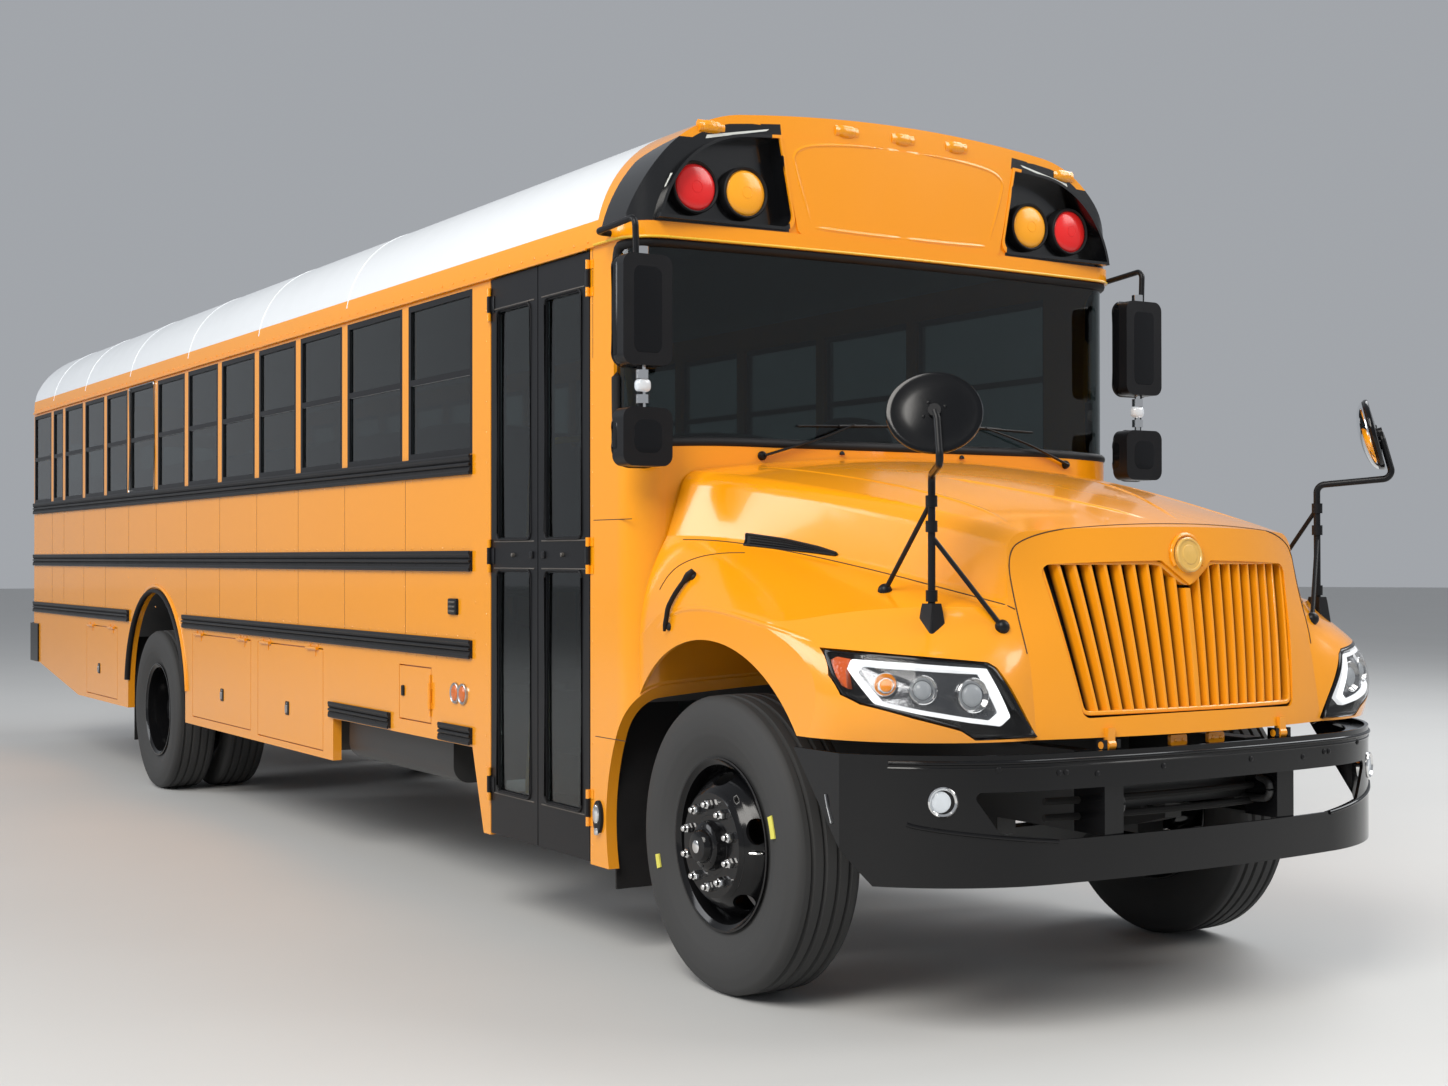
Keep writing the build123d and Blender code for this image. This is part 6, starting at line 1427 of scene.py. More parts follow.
class BUS_OT_sides(bpy.types.Operator):
    """Panel seams, rivets, drip rail, sash details, arch flares, latches and side lamps"""

    bl_idname = "bus.sides"
    bl_label = "Body sides"

    def execute(self, context):
        sizes = context.scene.bus_fittings
        spans = window_spans()
        rows, seams = [], []
        pitch = sizes.rivet_pitch
        for z, rear, front in (
            (1.875, -5.84, 2.9), (1.565, -5.84, 2.9), (1.452, -5.84, 2.9), (1.176, -1.46, 2.9),
            (1.176, -5.84, -2.86), (1.072, -1.46, 2.9), (1.072, -5.84, -2.86),
        ):
            rows.append(places_at(np.arange(rear, front, pitch), -HALF_WIDTH, z))
        for _, front in spans[1:]:
            x = front + HALF_POST
            for low, high in ((1.2, 1.44), (1.59, 1.86)):
                rows.append(places_at(x - 0.014, -HALF_WIDTH, np.arange(low, high, pitch * 0.8)))
            seams.append(joint_strip(0.003, 0.33, (x, 1.72)))
            if x > -1.46 or x < -2.86:
                seams.append(joint_strip(0.003, 0.297, (x, 1.3135)))
        rows.append(places_at(np.arange(-5.84, 4.0, pitch), -HALF_WIDTH, 2.742))
        rivets = dots(np.concatenate(rows), -Y, sizes.rivet, sizes.rivet * 0.4, 8)
        twins("side_rivets", [rivets], "body_paint")
        twins("side_seams", seams, "gap_dark")

        drip = places_at(np.linspace(-5.83, 4.0, 60), -HALF_WIDTH - 0.014, 2.712)
        twins("drip_rails", [tube(drip, 0.0045, 8)], "body_paint")

        # Sashes: silver catches and a bright bead on each, and one push-out frame in bare metal
        catches, beads = [], []
        for number, (rear, front) in enumerate(spans):
            middle, width = (rear + front) / 2, front - rear
            for x in (rear + 0.05, front - 0.05):
                catches.append(on_side(rounded(0.03, 0.012, 0.004, (x, 2.3345)), 0.004, 1.199))
            catches.append(on_side(rounded(width - 0.08, 0.005, 0.002, (middle, 2.3215)), 0.002, 1.199))
            if number == PUSH_OUT_WINDOW:
                outline = rounded(width + 0.006, 0.725, 0.02, (middle, 2.3345))
                beads.append(hoop(outline, 1, -HALF_WIDTH - 0.002, 0.01, flat=0.5))
        twins("sash_catches", catches, "sash_silver")
        twins("push_out_frame", beads, "sash_silver")

        # Rear wheel arches: a rubber lip round the opening and the pressed flare behind it
        t = np.linspace(math.radians(6), math.radians(174), 80)
        arch, flare = (
            places_at(REAR_AXLE + r * np.cos(t), y - HALF_WIDTH, 0.607 + r * np.sin(t))
            for r, y in ((0.7, -0.006), (0.73, 0.002))
        )
        lip = tube(arch, 0.02, 12, flat=0.7)
        twins("arch_rubbers", [lip], "black_rubber")
        twins("arch_flares", [tube(flare, 0.014, 10)], "body_paint")

        # Lamps on the entrance side and their twins opposite
        lens, bezel = [], []
        for x in (2.818, 2.735):
            centre = (x, -HALF_WIDTH, 0.924)
            lens.append(dome(centre, -Y, 0.0, 0.006, 0.01, 0.036, 7, 36))
            bezel.append(lathe(
                [(-0.002, 0.03), (-0.002, 0.047), (0.009, 0.046), (0.012, 0.042), (0.008, 0.036)], centre, -Y,
                40, closed=True,
            ))
        twins("side_turn_lamps", lens, "dim_amber")
        twins("side_lamp_rims", bezel, "sash_silver")
        square = [on_side(rounded(0.092, 0.072, 0.01, (2.717, 1.306)), 0.014, edge=0.005)]
        twins("side_box", square, "black_satin")
        bars = [
            on_side(rounded(0.066, 0.01, 0.003, (2.717, 1.306 + dz)), 0.018, edge=0.003)
            for dz in (-0.02, 0, 0.02)
        ]
        twins("side_box_bars", bars, "dull_steel")

        for name, x, z in (("front", 0.483, 0.706), ("middle", -0.691, 0.706), ("rear", -3.669, 0.718)):
            plate_part = on_side(rounded(0.056, 0.074, 0.008, (x, z)), 0.004)
            handle = on_side(rounded(0.02, 0.046, 0.007, (x, z - 0.004)), 0.013, edge=0.004)
            keyhole = dots([(x, -HALF_WIDTH - 0.003, z + 0.026)], -Y, 0.006)
            parts = [plate_part] + with_finish([handle, keyhole], 1)
            piece(f"luggage_latch_{name}", parts, ["black_satin", "sash_silver"], f"luggage_{name}")
        fuel = [on_side(rounded(0.03, 0.05, 0.008, (2.13, 0.9)), 0.008, edge=0.003)]
        hinge = with_finish([
            tube(
                [(2.455, -HALF_WIDTH - 0.004, z - 0.02), (2.455, -HALF_WIDTH - 0.004, z + 0.02)], 0.005, 10,
            ) for z in (0.82, 0.97)
        ], 1)
        piece("fuel_door_latch", fuel + hinge, ["black_satin", "body_paint"], "fuel_flap")
        return {"FINISHED"}


class BUS_OT_rub_rails(bpy.types.Operator):
    """Ribs pressed along the black rub rails, and their screws"""

    bl_idname = "bus.rub_rails"
    bl_label = "Rub rails"

    def execute(self, context):
        runs = [
            (1.887, 1.9735, -5.846, 2.912), (1.4635, 1.552, -5.846, 2.912), (1.084, 1.163, -5.846, -2.831),
            (1.084, 1.163, -1.503, 2.912), (0.709, 0.785, 1.153, 1.972), (0.709, 0.783, 2.564, 2.912),
        ]
        ribs, screws = [], []
        for low, high, rear, front in runs:
            for share, half in ((0.1, 0.01), (0.5, 0.007), (0.9, 0.01)):
                z = low + share * (high - low)
                t = np.linspace(-1, 1, 9)
                section = places_at(0, -HALF_WIDTH - 0.0145 - 0.004 * np.cos(t * math.pi / 2), z + half * t)
                section = np.concatenate(
                    [section, [[0, -HALF_WIDTH - 0.011, z + half], [0, -HALF_WIDTH - 0.011, z - half]]]
                )
                x = np.array([rear + 0.004, front - 0.004])
                ribs.append(skin(section[None] + x[:, None, None] * X))
            x = np.arange(rear + 0.06, front - 0.03, 0.3)
            screws.append(places_at(x, -HALF_WIDTH - 0.0148, low + 0.3 * (high - low)))
        twins("rail_ribs", ribs, "black_satin")
        heads = dots(np.concatenate(screws), -Y, 0.0045, 0.002, 8)
        twins("rail_screws", [heads], "black_rubber")
        return {"FINISHED"}


# Entrance


class BUS_OT_entrance(bpy.types.Operator):
    """Door seals, glazing bars, hinges, latches, the lamp beside the door, seams, rivets and grab rails"""

    bl_idname = "bus.entrance"
    bl_label = "Entrance"

    def execute(self, context):
        for name, rear, front in (("front", 3.5575, 4.001), ("rear", 3.106, 3.5495)):
            middle, width = (rear + front) / 2, front - rear
            seals, bars = [], []
            for low, high in ((0.543, 1.462), (1.606, 2.56)):
                outline = rounded(0.3175, high - low + 0.018, 0.028, (middle, (low + high) / 2), 7)
                seals.append(hoop(outline, 1, -HALF_WIDTH - 0.001, 0.007, flat=0.7))
                for z in (low - 0.016, high + 0.016):
                    bars.append(on_side(rounded(width - 0.06, 0.006, 0.002, (middle, z)), 0.003))
            toe, hinge_edge, free_edge = (1, front, rear) if name == "front" else (-1, rear, front)
            hinge_x = hinge_edge + toe * 0.004
            brush = tube(places_at(free_edge, -HALF_WIDTH + 0.012, [0.4, 1.5, 2.66]), 0.009, 8)
            heights = (0.56, 1.53, 2.6)
            hinges = [
                tube(
                    places_at(hinge_x, -HALF_WIDTH - 0.007, [z - 0.038, z + 0.038]), 0.009, 12,
                ) for z in heights
            ]
            hinges += [
                on_side(rounded(0.034, 0.06, 0.006, (hinge_x - toe * 0.022, z)), 0.005) for z in heights
            ]
            latch_at = (free_edge + toe * 0.05, 1.534)
            latch = on_side(rounded(0.03, 0.03, 0.006, latch_at), 0.008, edge=0.003)
            lock = lathe(
                [(0.0, 0), (0.0, 0.009), (0.011, 0.008), (0.013, 0.004), (0.013, 0)],
                (middle, -HALF_WIDTH, 1.534), -Y, 20,
            )
            parts = seals + [brush] + with_finish(hinges + [latch], 1) + with_finish([lock] + bars, 2)
            piece(
                f"door_{name}_fittings", parts, ["black_rubber", "black_satin", "dull_steel"], f"door_{name}",
            )

        lamp = oval(0.034, 0.064, 40, (4.082, 0.532))
        rim = [on_side(lamp, 0.014, edge=0.006)]
        glass = on_side(oval(0.022, 0.038, 36, (4.082, 0.545)), 0.022, edge=0.008)
        catch = on_side(rounded(0.026, 0.03, 0.008, (4.082, 0.478)), 0.02, edge=0.006)
        piece("door_side_lamp", rim + with_finish([glass, catch], 1), ["black_satin", "chrome"])
        seams = [
            joint_strip(0.3, 0.003, (4.185, 1.666)), joint_strip(0.003, 0.42, (4.03, 2.5)),
            joint_strip(0.24, 0.003, (4.17, 0.838)),
        ]
        twins("cowl_seams", seams, "gap_dark")
        rivets = []
        for x, low, high in ((4.026, 0.42, 2.66), (3.055, 0.5, 2.66), (2.945, 1.2, 1.44)):
            rivets.append(places_at(x, -HALF_WIDTH, np.arange(low, high, 0.13)))
        piece("post_rivets", [dots(np.concatenate(rivets), -Y, 0.005, 0.002, 8)], "body_paint")

        runs = [
            [
                (x, -1.07, 0.5), (x, -1.07, 0.62), (x - 0.02, -0.99, 1.35), (x, -0.96, 1.95), (x, -0.99, 2.3),
                (x, -1.06, 2.36),
            ] for x in (3.2, 3.92)
        ]
        runs.append([
            (3.93, -1.02, 0.78), (3.9, -0.92, 0.98), (3.7, -0.8, 1.3), (3.62, -0.76, 1.62), (3.66, -0.8, 1.9),
        ])
        barrier = [(-0.98, 1.05), (-0.98, 1.95), (-0.9, 2.05), (-0.32, 2.05), (-0.24, 1.95), (-0.24, 1.05)]
        runs.append([(3.02, y, z) for y, z in barrier])
        rails = [tube(bent(run), 0.0155, 12) for run in runs]
        piece("grab_rails", rails, "warm_yellow")
        return {"FINISHED"}


# Bumpers


class BUS_OT_bumpers(bpy.types.Operator):
    """Fog lamps, reflector strips, bolts and edges of the bumpers"""

    bl_idname = "bus.bumpers"
    bl_label = "Bumpers"

    def execute(self, context):
        tree = surface_of("front_bumper", heart=(5.0, 0, 0.8))
        hit = cast(tree, from_axle([(1300, -974, 770)]))
        _, normal = settled(tree, hit)
        axis = unit(normal[0] * [1, 1, 0] + 0.3 * X)
        ring = [(-0.03, 0.036), (-0.03, 0.046), (0.006, 0.047), (0.01, 0.043), (0.004, 0.037)]
        rim = lathe(ring, hit[0], axis, 44, closed=True)
        twins("fog_lamp_rims", [rim], "chrome")
        lens = dome(hit[0], axis, -0.01, -0.006, 0.012, 0.0375, 8, 40)
        twins("fog_lamps", [lens], "eye_lens")

        low = from_axle([(740, -1212, 777), (751, -1212, 740), (773, -1212, 689)])
        strip, _ = settled(tree, spread(low, 20), 0.0015)
        twins("bumper_strips", [tube(strip, 0.0065, 8, flat=0.5)], "sash_silver")

        places = from_axle(
            [(1300, -616, 851), (1300, -590, 851), (1300, -470, 841), (1300, -200, 851), (1300, -820, 868)]
        )
        heads = []
        for p in cast(tree, places):
            _, normal = settled(tree, p[None])
            heads.append(lathe(
                [(-0.004, 0), (-0.004, 0.01), (0.003, 0.009), (0.0055, 0.005), (0.006, 0)], p, normal[0], 14,
            ))
        twins("bumper_bolts", heads, "black_satin")

        y = np.linspace(-1.1, 1.1, 90)
        lip, fold = (cast(tree, places_at(6.3, y, z)) for z in (0.889, 0.872))
        piece("bumper_edges", [tube(lip, 0.007, 10), tube(fold - [0.003, 0, 0], 0.005, 8)], "black_gloss")

        # Crease that runs under the fog lamps and along the foot of the opening
        y = np.linspace(-1.06, -0.62, 40)
        z = 0.706 - 0.062 * np.clip((y + 1.06) / 0.44, 0, 1) ** 0.7
        ledge = cast(tree, places_at(6.3, y, z - 0.006))
        keep = ledge[:, 0] > 5.6
        twins("bumper_ledges", [tube(ledge[keep], 0.007, 10)], "black_gloss")

        # Dark ribs and tow hooks seen through the bumper's opening
        y = np.linspace(-0.56, 0.56, 30)
        slats = [tube(places_at(5.93 - 0.05 * (y / 0.56) ** 2, y, z), 0.012, 8) for z in (0.69, 0.742)]
        hooks = []
        for y in (-0.34, 0.34):
            path = bent(
                [(5.85, y, 0.7), (5.96, y, 0.7), (6.00, y, 0.71), (6.00, y, 0.76), (5.95, y, 0.775)], 3,
            )
            hooks.append(tube(path, 0.013, 12))
        piece("tow_hooks", hooks, "chassis_black")
        piece("opening_slats", slats, "void_black")

        head = [(-0.002, 0), (-0.002, 0.014), (0.005, 0.013), (0.009, 0.007), (0.0095, 0)]
        rear = [lathe(head, (-6.05, y, 0.83), -X, 16) for y in (-0.95, -0.45, 0.45, 0.95)]
        piece("rear_bumper_bolts", rear, "black_satin")
        return {"FINISHED"}


# Mirrors

# Middle of the heads of a side mirror, across the bus
MIRROR_Y = -1.229


class BUS_OT_mirrors(bpy.types.Operator):
    """Mirror faces, shells with rims and screws, stalks, cuffs and the small lamp between the side heads"""

    bl_idname = "bus.mirrors"
    bl_label = "Mirrors"

    def execute(self, context):
        faces, rims, shells = [], [], []
        q = np.linspace(0, math.pi / 2, 9)
        levels = [(0.0, 4.419), *zip(0.05 * (1 - np.cos(q)), 4.442 + 0.064 * np.sin(q))]
        for low, high, corner in ((2.221, 2.625, 0.045), (1.855, 2.068, 0.07)):
            middle, tall = (MIRROR_Y, (low + high) / 2), high - low
            faces.append(on_end(4.4205, -1, rounded(0.181, tall - 0.024, corner * 0.9, middle, 8), 0.002))
            rims.append(hoop(rounded(0.205, tall, corner, middle, 9), 0, 4.423, 0.006))
            outline = rounded(0.209, tall + 0.004, corner, middle, 9) - middle
            rings = [(outline * (1 - by * 2 / np.array([0.209, tall])) + middle, x) for by, x in levels]
            shells.append(skin(np.stack([np.insert(ring, 0, x, 1) for ring, x in rings])))
        twins("side_mirror_faces", faces, "mirror_face")
        twins("side_mirror_shells", shells + rims, "black_gloss")
        lamp = crowned((4.463, -1.228, 2.15), (0.022, 0.03, 0.026), 0.7, (12, 24))
        twins("mirror_lamps", [lamp], "eye_lens")
        stalks = [tube([(4.463, MIRROR_Y, 2.05), (4.463, MIRROR_Y, 2.24)], 0.013, 12)]
        clamp = [
            lathe([(-0.016, 0), (-0.016, 0.024), (0.016, 0.024), (0.016, 0)], (4.463, MIRROR_Y, z), Z, 20)
            for z in (2.1, 2.19, 2.64)
        ]
        twins("mirror_stalks", stalks + clamp, "chrome")

        toe, tilt = math.radians(38), math.radians(14)
        back = np.array([math.cos(toe) * math.cos(tilt), -math.sin(toe) * math.cos(tilt), math.sin(tilt)])
        across = np.array([-math.sin(toe), -math.cos(toe), 0])
        up = np.cross(back, across)
        centre = np.array([5.885, -1.003, 1.963])
        t = full_turn(64)
        ellipse = np.cos(t)[:, None] * across * 0.145 + np.sin(t)[:, None] * up * 0.128
        rows = [centre + s * ellipse + a * back for s, a in (
            (1.0, 0.0), (1.025, 0.004), (1.03, 0.01), (1.01, 0.0165), (0.97, 0.0185), (0.9, 0.0175),
            (0.6, 0.02), (0.3, 0.022), (0.03, 0.0225),
        )]
        u = np.linspace(0.03, 1, 10) * math.pi / 2
        bowl = [
            centre + 0.985 * math.sin(a) * ellipse - (0.044 * math.cos(a) + 0.0005) * back
            for a in u[::-1]
        ]
        shell = skin(np.stack([centre + 0.9 * ellipse + 0.004 * back] + rows))
        face = skin(np.stack([centre + 0.985 * ellipse + 0.003 * back] + bowl))
        screws = []
        for a in np.arange(4) * math.pi / 2 + 0.5:
            p = centre + 0.26 * (np.cos(a) * across * 0.145 + np.sin(a) * up * 0.128) + 0.0225 * back
            screws.append(lathe(
                [(-0.004, 0), (-0.004, 0.006), (0.002, 0.0055), (0.0035, 0.003), (0.0035, 0)], p, back, 12,
            ))
        twins("cross_mirror_shells", [shell] + screws, "black_gloss", "hood")
        twins("cross_mirror_faces", [face], "mirror_face", "hood")
        cuffs = [
            lathe([(-0.018, 0), (-0.018, 0.019), (0.018, 0.019), (0.018, 0)], (5.73, -0.893, z), Z, 20)
            for z in (1.4, 1.62, 1.7)
        ]
        twins("mirror_cuffs", cuffs, "black_satin", "hood")
        return {"FINISHED"}


# Benches

BENCH_ROWS = 11
FIRST_BENCH, BENCH_PITCH = 2.392, 0.73
BENCH_Y = 0.6787
DRIVER_Y = 0.62


def cushion(name, parts, replaces=()):
    """Padded piece: crowned forms with one subdivision."""
    made = piece(name, parts, "bench_cover", "chassis", replaces, 80)
    smooth = made.modifiers.new("Soft", "SUBSURF")
    smooth.levels = smooth.render_levels = 1
    return made


def pad(centre, half, lean=0.0, power=0.3, pinch=0.035):
    """Pad with crowned faces whose sides draw in between the corners: x scaled by 1 - p * (1 - |y|^4)."""
    points, faces = crowned((0, 0, 0), half, power, (16, 36), 0.1)
    local = points / np.asarray(half)
    draw = 1 - pinch * (1 - np.abs(local[:, 1]) ** 4) * (np.abs(local[:, 0]) > 0.75)
    points = points * places_at(draw, 1, 1)
    points = points + places_at(lean * points[:, 2], 0, 0)
    return points + np.asarray(centre), faces


class BUS_OT_benches(bpy.types.Operator):
    """Padded benches with welts along their seams, and the driver's seat"""

    bl_idname = "bus.benches"
    bl_label = "Benches"

    def execute(self, context):
        seats, backs, welts, legs = [], [], [], []
        for row in range(BENCH_ROWS):
            x = FIRST_BENCH - BENCH_PITCH * row
            for side in (-1, 1):
                y = side * BENCH_Y
                seats.append(pad((x - 0.2, y, 1.4155), (0.198, 0.478, 0.056)))
                backs.append(pad((x - 0.397, y, 1.755), (0.0445, 0.478, 0.394), -0.075, 0.34, 0.0))
                outline = rounded(0.95, 0.775, 0.07, (y, 1.755), 7)
                ring = np.stack(
                    [x - 0.397 - 0.075 * (outline[:, 1] - 1.755), outline[:, 0], outline[:, 1]], 1,
                )
                welts.append(tube(np.concatenate([ring, ring[:2]]), 0.006, 6))
                for foot in (x - 0.08, x - 0.34):
                    legs.append(tube(bent(places_at(foot, side * 0.235, [1.366, 1.2, 1.046]), 2), 0.0155, 10))
        cushion("bench_seats", seats, replaces=["seats"])
        cushion("bench_backs", backs)
        piece("bench_welts", welts, "black_rubber", slot="seat_vinyl")
        piece("bench_legs", legs, "chassis_black")

        seat = [
            pad((3.5, DRIVER_Y, 1.43), (0.228, 0.238, 0.058)),
            pad((3.237, DRIVER_Y, 1.83), (0.052, 0.225, 0.325), -0.1, 0.42, 0.0),
        ]
        bolsters = [pad((3.5, DRIVER_Y + s * 0.2, 1.448), (0.21, 0.036, 0.042), 0, 0.5) for s in (-1, 1)]
        bolsters += [
            pad((3.262, DRIVER_Y + s * 0.185, 1.8), (0.036, 0.034, 0.25), -0.1, 0.5, 0.0)
            for s in (-1, 1)
        ]
        cushion("driver_cushions", seat + bolsters, replaces=["driver_seat"])
        levels = [
            (0.34, 0.34, 1.041), (0.3, 0.3, 1.06), (0.24, 0.24, 1.09), (0.24, 0.24, 1.3), (0.34, 0.32, 1.34),
            (0.4, 0.4, 1.372),
        ]
        rows = [np.insert(rounded(w, d, 0.03, (3.5, DRIVER_Y), 6), 2, z, 1) for w, d, z in levels]
        piece("driver_pedestal", [skin(np.stack(rows))], "chassis_black")
        return {"FINISHED"}


# Rear wall, stop arm and roof


def frame_of(outline, width, origin, u, v, w, depth):
    """Flat frame of an even width along the inside of an outline: the outline, and drawn in by the width."""
    levels = [(0, 0), (0, depth), (width, depth), (width, 0)]
    return skin(rings_of(outline, levels, origin, u, v, w), closed_rows=True, ends=False)


class BUS_OT_rear(bpy.types.Operator):
    """Lamp rims and lenses, window seals and rivets of the rear wall, and the handle and seal of its door"""

    bl_idname = "bus.rear"
    bl_label = "Rear wall"

    def execute(self, context):
        rims, fronts = [], {"red_lens": [], "amber_lens": []}
        lamps = (
            (0.9385, 2.6, "red_lens"), (0.714, 2.6, "amber_lens"), (0.99, 1.25, "red_lens"),
            (0.99, 1.44, "amber_lens"),
        )
        for y, z, kind in lamps:
            centre = (REAR_WALL, y, z)
            rim = [(-0.002, 0.089), (-0.002, 0.0925), (0.034, 0.0925), (0.037, 0.091), (0.034, 0.088)]
            rims.append(lathe(rim, centre, -X, 56, closed=True))
            fronts[kind].append(dome(centre, -X, 0.02, 0.03, 0.016, 0.086, 10, 56))
        panels = [on_end(REAR_WALL, -1, rounded(0.448, 0.212, 0.06, (0.826, 2.6), 8), 0.004)]
        twins("rear_lamp_rims", rims, "black_rubber")
        twins("rear_lamp_panels", panels, "gap_dark")
        twins("rear_red_lenses", fronts["red_lens"], "red_lens")
        twins("rear_amber_lenses", fronts["amber_lens"], "amber_lens")

        def seal(width, middle):
            return hoop(rounded(width + 0.016, 0.936, 0.05, (middle, 2.02), 8), 0, REAR_WALL - 0.001, 0.009)

        twins("rear_window_seals", [seal(0.43, 0.817)], "black_rubber")
        edge = np.array(
            [(-0.43, 2.59), (0.446, 2.59), (0.466, 2.57), (0.466, 1.072), (0.446, 1.052), (-0.43, 1.052)]
        )
        lip = tube(np.insert(edge, 0, REAR_WALL - 0.001, 1), 0.006, 8)
        base = on_end(REAR_WALL, -1, rounded(0.075, 0.15, 0.012, (0.4, 1.33)), 0.01, edge=0.004)
        grip = bent([
            (REAR_WALL - 0.008, 0.4, 1.35), (REAR_WALL - 0.052, 0.4, 1.35), (REAR_WALL - 0.052, 0.245, 1.35),
        ], 3)
        lever = tube(grip, 0.011, 12)
        parts = [seal(0.64, 0.0), lip] + with_finish([base, lever], 1)
        piece("rear_door_fittings", parts, ["black_rubber", "chrome"], "emergency_door")

        rivets = [places_at(REAR_WALL, y, np.arange(0.8, 2.45, 0.11)) for y in (0.525, 1.105)]
        rivets += [places_at(REAR_WALL, np.arange(0.6, 1.1, 0.09), z) for z in (0.72, 1.505, 2.69)]
        places = np.concatenate(rivets)
        places = np.concatenate([places, places * [1, -1, 1]])
        piece("rear_rivets", [dots(places, -X, 0.006, 0.0025, 8)], "body_paint")
        return {"FINISHED"}


class BUS_OT_stop_arm(bpy.types.Operator):
    """Pale border and the two round lamps of the stop arm, which stays without lettering"""

    bl_idname = "bus.stop_arm"
    bl_label = "Stop arm"

    def execute(self, context):
        middle = np.array([3.445, 1.72])
        turn = (np.arange(8) + 0.5) * math.pi / 4
        outline = 0.221 / math.cos(math.pi / 8) * np.stack([np.cos(turn), np.sin(turn)], 1)
        border = frame_of(outline, 0.016, (middle[0], STOP_FACE - 0.001, middle[1]), X, Z, Y, 0.0022)
        piece("stop_arm_border", [border], "reflective_white", "stop_sign_arm")
        rims, lenses = [], []
        for step in (-0.142, 0.142):
            centre = (middle[0], STOP_FACE, middle[1] + step)
            rims.append(lathe(
                [(-0.002, 0.04), (-0.002, 0.049), (0.008, 0.048), (0.01, 0.045), (0.008, 0.04)], centre, Y,
                40, closed=True,
            ))
            lenses.append(dome(centre, Y, -0.002, 0.004, 0.008, 0.04, 8, 40))
        parts = rims + with_finish(lenses, 1)
        piece("stop_arm_lamps", parts, ["black_satin", "red_lens"], "stop_sign_arm")
        return {"FINISHED"}


class BUS_OT_roof(bpy.types.Operator):
    """Lap seams of the roof sheets over the bows"""

    bl_idname = "bus.roof"
    bl_label = "Roof"

    def execute(self, context):
        roof = surface_of("roof")
        turn = np.linspace(-1.19, 1.19, 64)
        out = places_at(0, np.sin(turn), np.cos(turn))
        seams = []
        for x, _ in window_spans()[1::2]:
            place, normal = hits(roof, np.array([x - 0.02, 0, 2.3]) + 2.0 * out, -out)
            kept = ~np.isnan(place[:, 0])
            seams.append(tube(place[kept] - 0.0015 * normal[kept], 0.0045, 8))
        piece("roof_seams", seams, "roof_paint")
        return {"FINISHED"}


# Studio

# Focal length and width of the photo, in its pixels
FOCAL_PIXELS, PHOTO_WIDTH = 1887.26, 1448


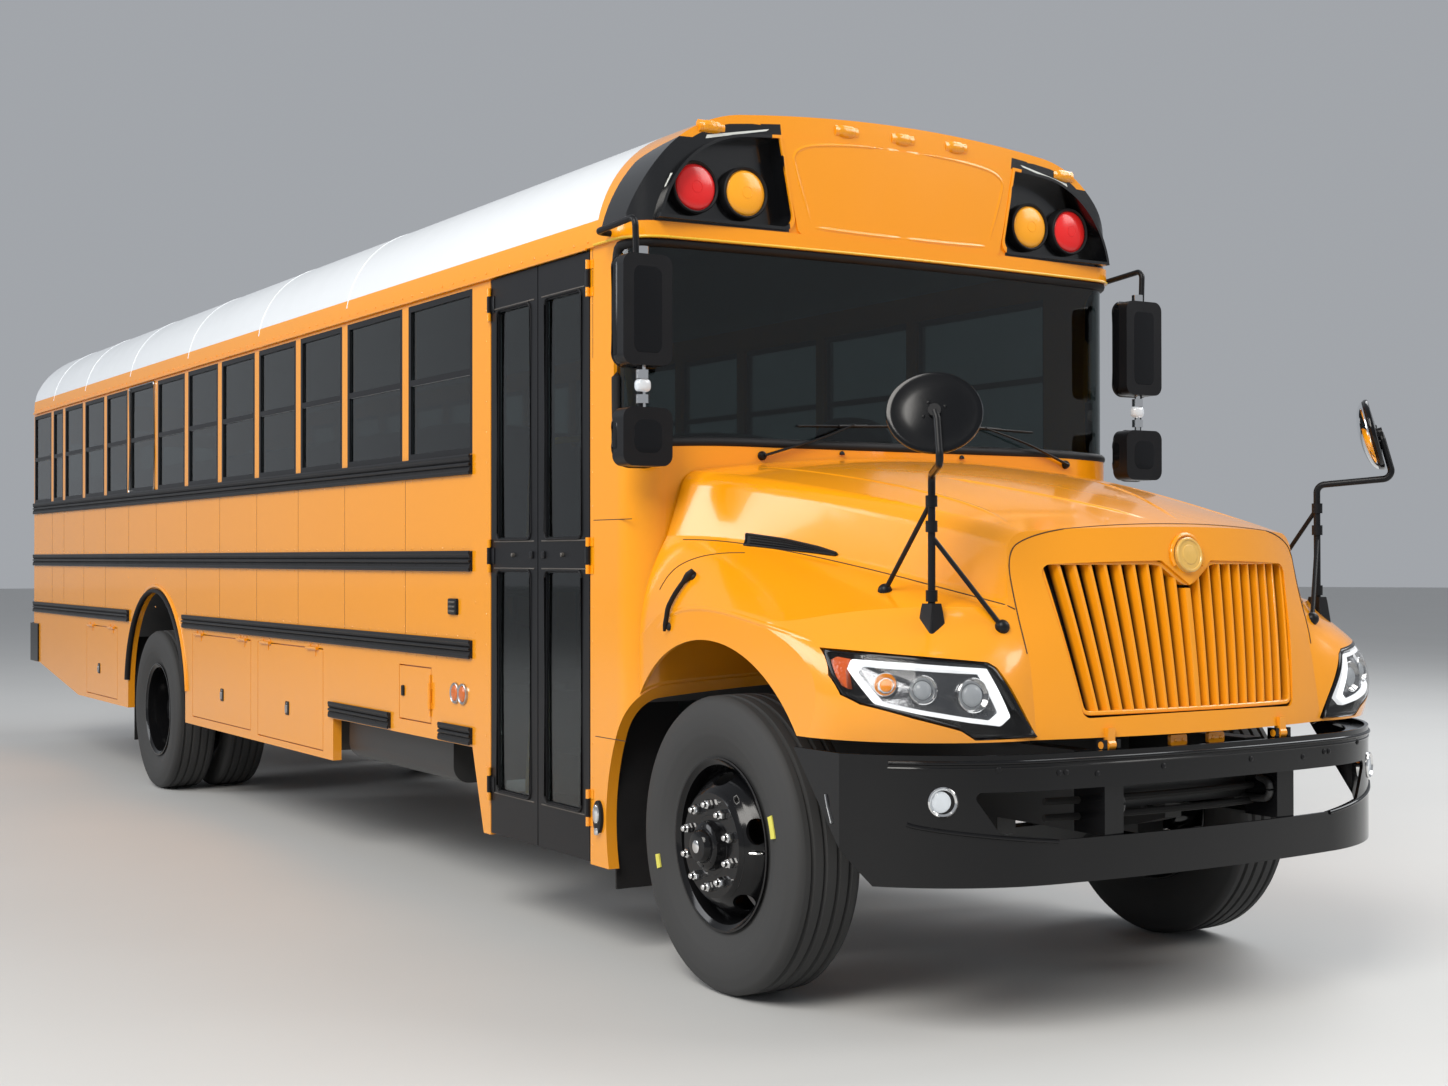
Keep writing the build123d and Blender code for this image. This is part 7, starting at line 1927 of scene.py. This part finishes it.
class BUS_OT_studio(bpy.types.Operator):
    """Pale floor, soft light and the camera at the photo's angle"""

    bl_idname = "bus.studio"
    bl_label = "Studio"

    def execute(self, context):
        scene = context.scene
        studio = scene.bus_studio
        t = full_turn(64)
        disc = np.stack([places_at(r * np.cos(t), r * np.sin(t), 0) for r in (0, 8, 40, 90)])
        points, faces = skin(disc, ends=False)
        mesh = bpy.data.meshes.new("studio_floor")
        mesh.from_pydata(points, [], faces)
        shell = bmesh.new()
        shell.from_mesh(mesh)
        bmesh.ops.remove_doubles(shell, verts=shell.verts, dist=1e-6)
        shell.to_mesh(mesh)
        shell.free()
        material, tree, shader = new_material("studio_floor")
        place = add_node(tree, "TexCoord").outputs["Object"]
        cloud = add_node(tree, "TexNoise", {"Vector": place, "Scale": 0.7, "Detail": 5.0}).outputs[0]
        pale = (*studio.floor, 1)
        darker = (*(c * 0.94 for c in studio.floor), 1)
        tree.links.new(blended(tree, cloud, pale, darker), shader.inputs["Base Color"])
        shader.inputs["Roughness"].default_value = 0.55
        mesh.materials.append(material)
        floor = bpy.data.objects.new("studio_floor", mesh)
        scene.collection.objects.link(floor)

        scene.view_settings.view_transform = "Standard"
        world = bpy.data.worlds.new("studio")
        scene.world = world
        world.use_nodes = True
        sky = world.node_tree.nodes["Background"]
        sky.inputs[0].default_value = (0.86, 0.9, 0.96, 1)
        sky.inputs[1].default_value = studio.sky
        lights = [
            # place, aim, size, share of the power, colour
            ((11.0, -12.0, 13.0), (1.0, 0.0, 1.2), 9.0, 1.0, (1.0, 0.97, 0.92)),
            ((-6.0, -16.0, 9.0), (-1.0, 0.0, 1.2), 9.0, 0.45, (0.95, 0.97, 1.0)),
            ((2.0, 11.0, 12.0), (0.0, 0.0, 1.5), 10.0, 0.45, (0.96, 0.98, 1.0)),
            ((12.0, 9.0, 10.0), (4.0, 0.0, 1.5), 7.0, 0.3, (1.0, 0.98, 0.95)),
        ]
        for number, (place, aim, size, share, colour) in enumerate(lights):
            data = bpy.data.lights.new(f"soft_light_{number}", "AREA")
            data.size = size
            data.energy = studio.key * share
            data.color = colour
            light = bpy.data.objects.new(data.name, data)
            light.location = place
            light.rotation_euler = (Vector(aim) - Vector(place)).to_track_quat("-Z", "Y").to_euler()
            scene.collection.objects.link(light)

        data = bpy.data.cameras.new("photo_camera")
        data.sensor_width = 36.0
        data.lens = data.sensor_width * FOCAL_PIXELS / PHOTO_WIDTH
        data.clip_end = 500
        camera = bpy.data.objects.new("photo_camera", data)
        turn, rise = math.radians(58.16), math.radians(0.44)
        camera.rotation_euler = (math.pi / 2 + rise, math.radians(0.06), turn)
        camera.location = (10.4598, -4.6038, 1.5223)
        scene.collection.objects.link(camera)
        scene.camera = camera
        return {"FINISHED"}


class BUS_PT_panel(bpy.types.Panel):
    """Settings and steps of the school bus"""

    bl_idname = "BUS_PT_panel"
    bl_label = "School bus"
    bl_space_type = "VIEW_3D"
    bl_region_type = "UI"
    bl_category = "School bus"

    def draw(self, context):
        layout = self.layout
        for group in (context.scene.bus_finishes, context.scene.bus_fittings, context.scene.bus_studio):
            column = layout.column()
            for key in group.__annotations__:
                column.prop(group, key)
        for step in STEPS:
            layout.operator(step.bl_idname)


STEPS = [
    BUS_OT_finishes, BUS_OT_wheels, BUS_OT_hood, BUS_OT_headlamps, BUS_OT_grille, BUS_OT_windshield,
    BUS_OT_roof_cap, BUS_OT_sides, BUS_OT_rub_rails, BUS_OT_entrance, BUS_OT_bumpers, BUS_OT_mirrors,
    BUS_OT_benches, BUS_OT_rear, BUS_OT_stop_arm, BUS_OT_roof, BUS_OT_studio,
]
SETTINGS = {
    "bus_finishes": FinishSettings,
    "bus_fittings": FittingSettings,
    "bus_studio": StudioSettings,
}


def register():
    """Add the settings, the steps and the panel."""
    for name, group in SETTINGS.items():
        bpy.utils.register_class(group)
        setattr(bpy.types.Scene, name, PointerProperty(type=group))
    for step in STEPS + [BUS_PT_panel]:
        bpy.utils.register_class(step)


def unregister():
    """Take the panel, the steps and the settings away again."""
    for step in reversed(STEPS + [BUS_PT_panel]):
        bpy.utils.unregister_class(step)
    for name, group in SETTINGS.items():
        delattr(bpy.types.Scene, name)
        bpy.utils.unregister_class(group)


def main():
    """Run every step."""
    register()
    for step in STEPS:
        getattr(bpy.ops.bus, step.bl_idname.split(".")[1])()


if __name__ == "__main__":
    main()
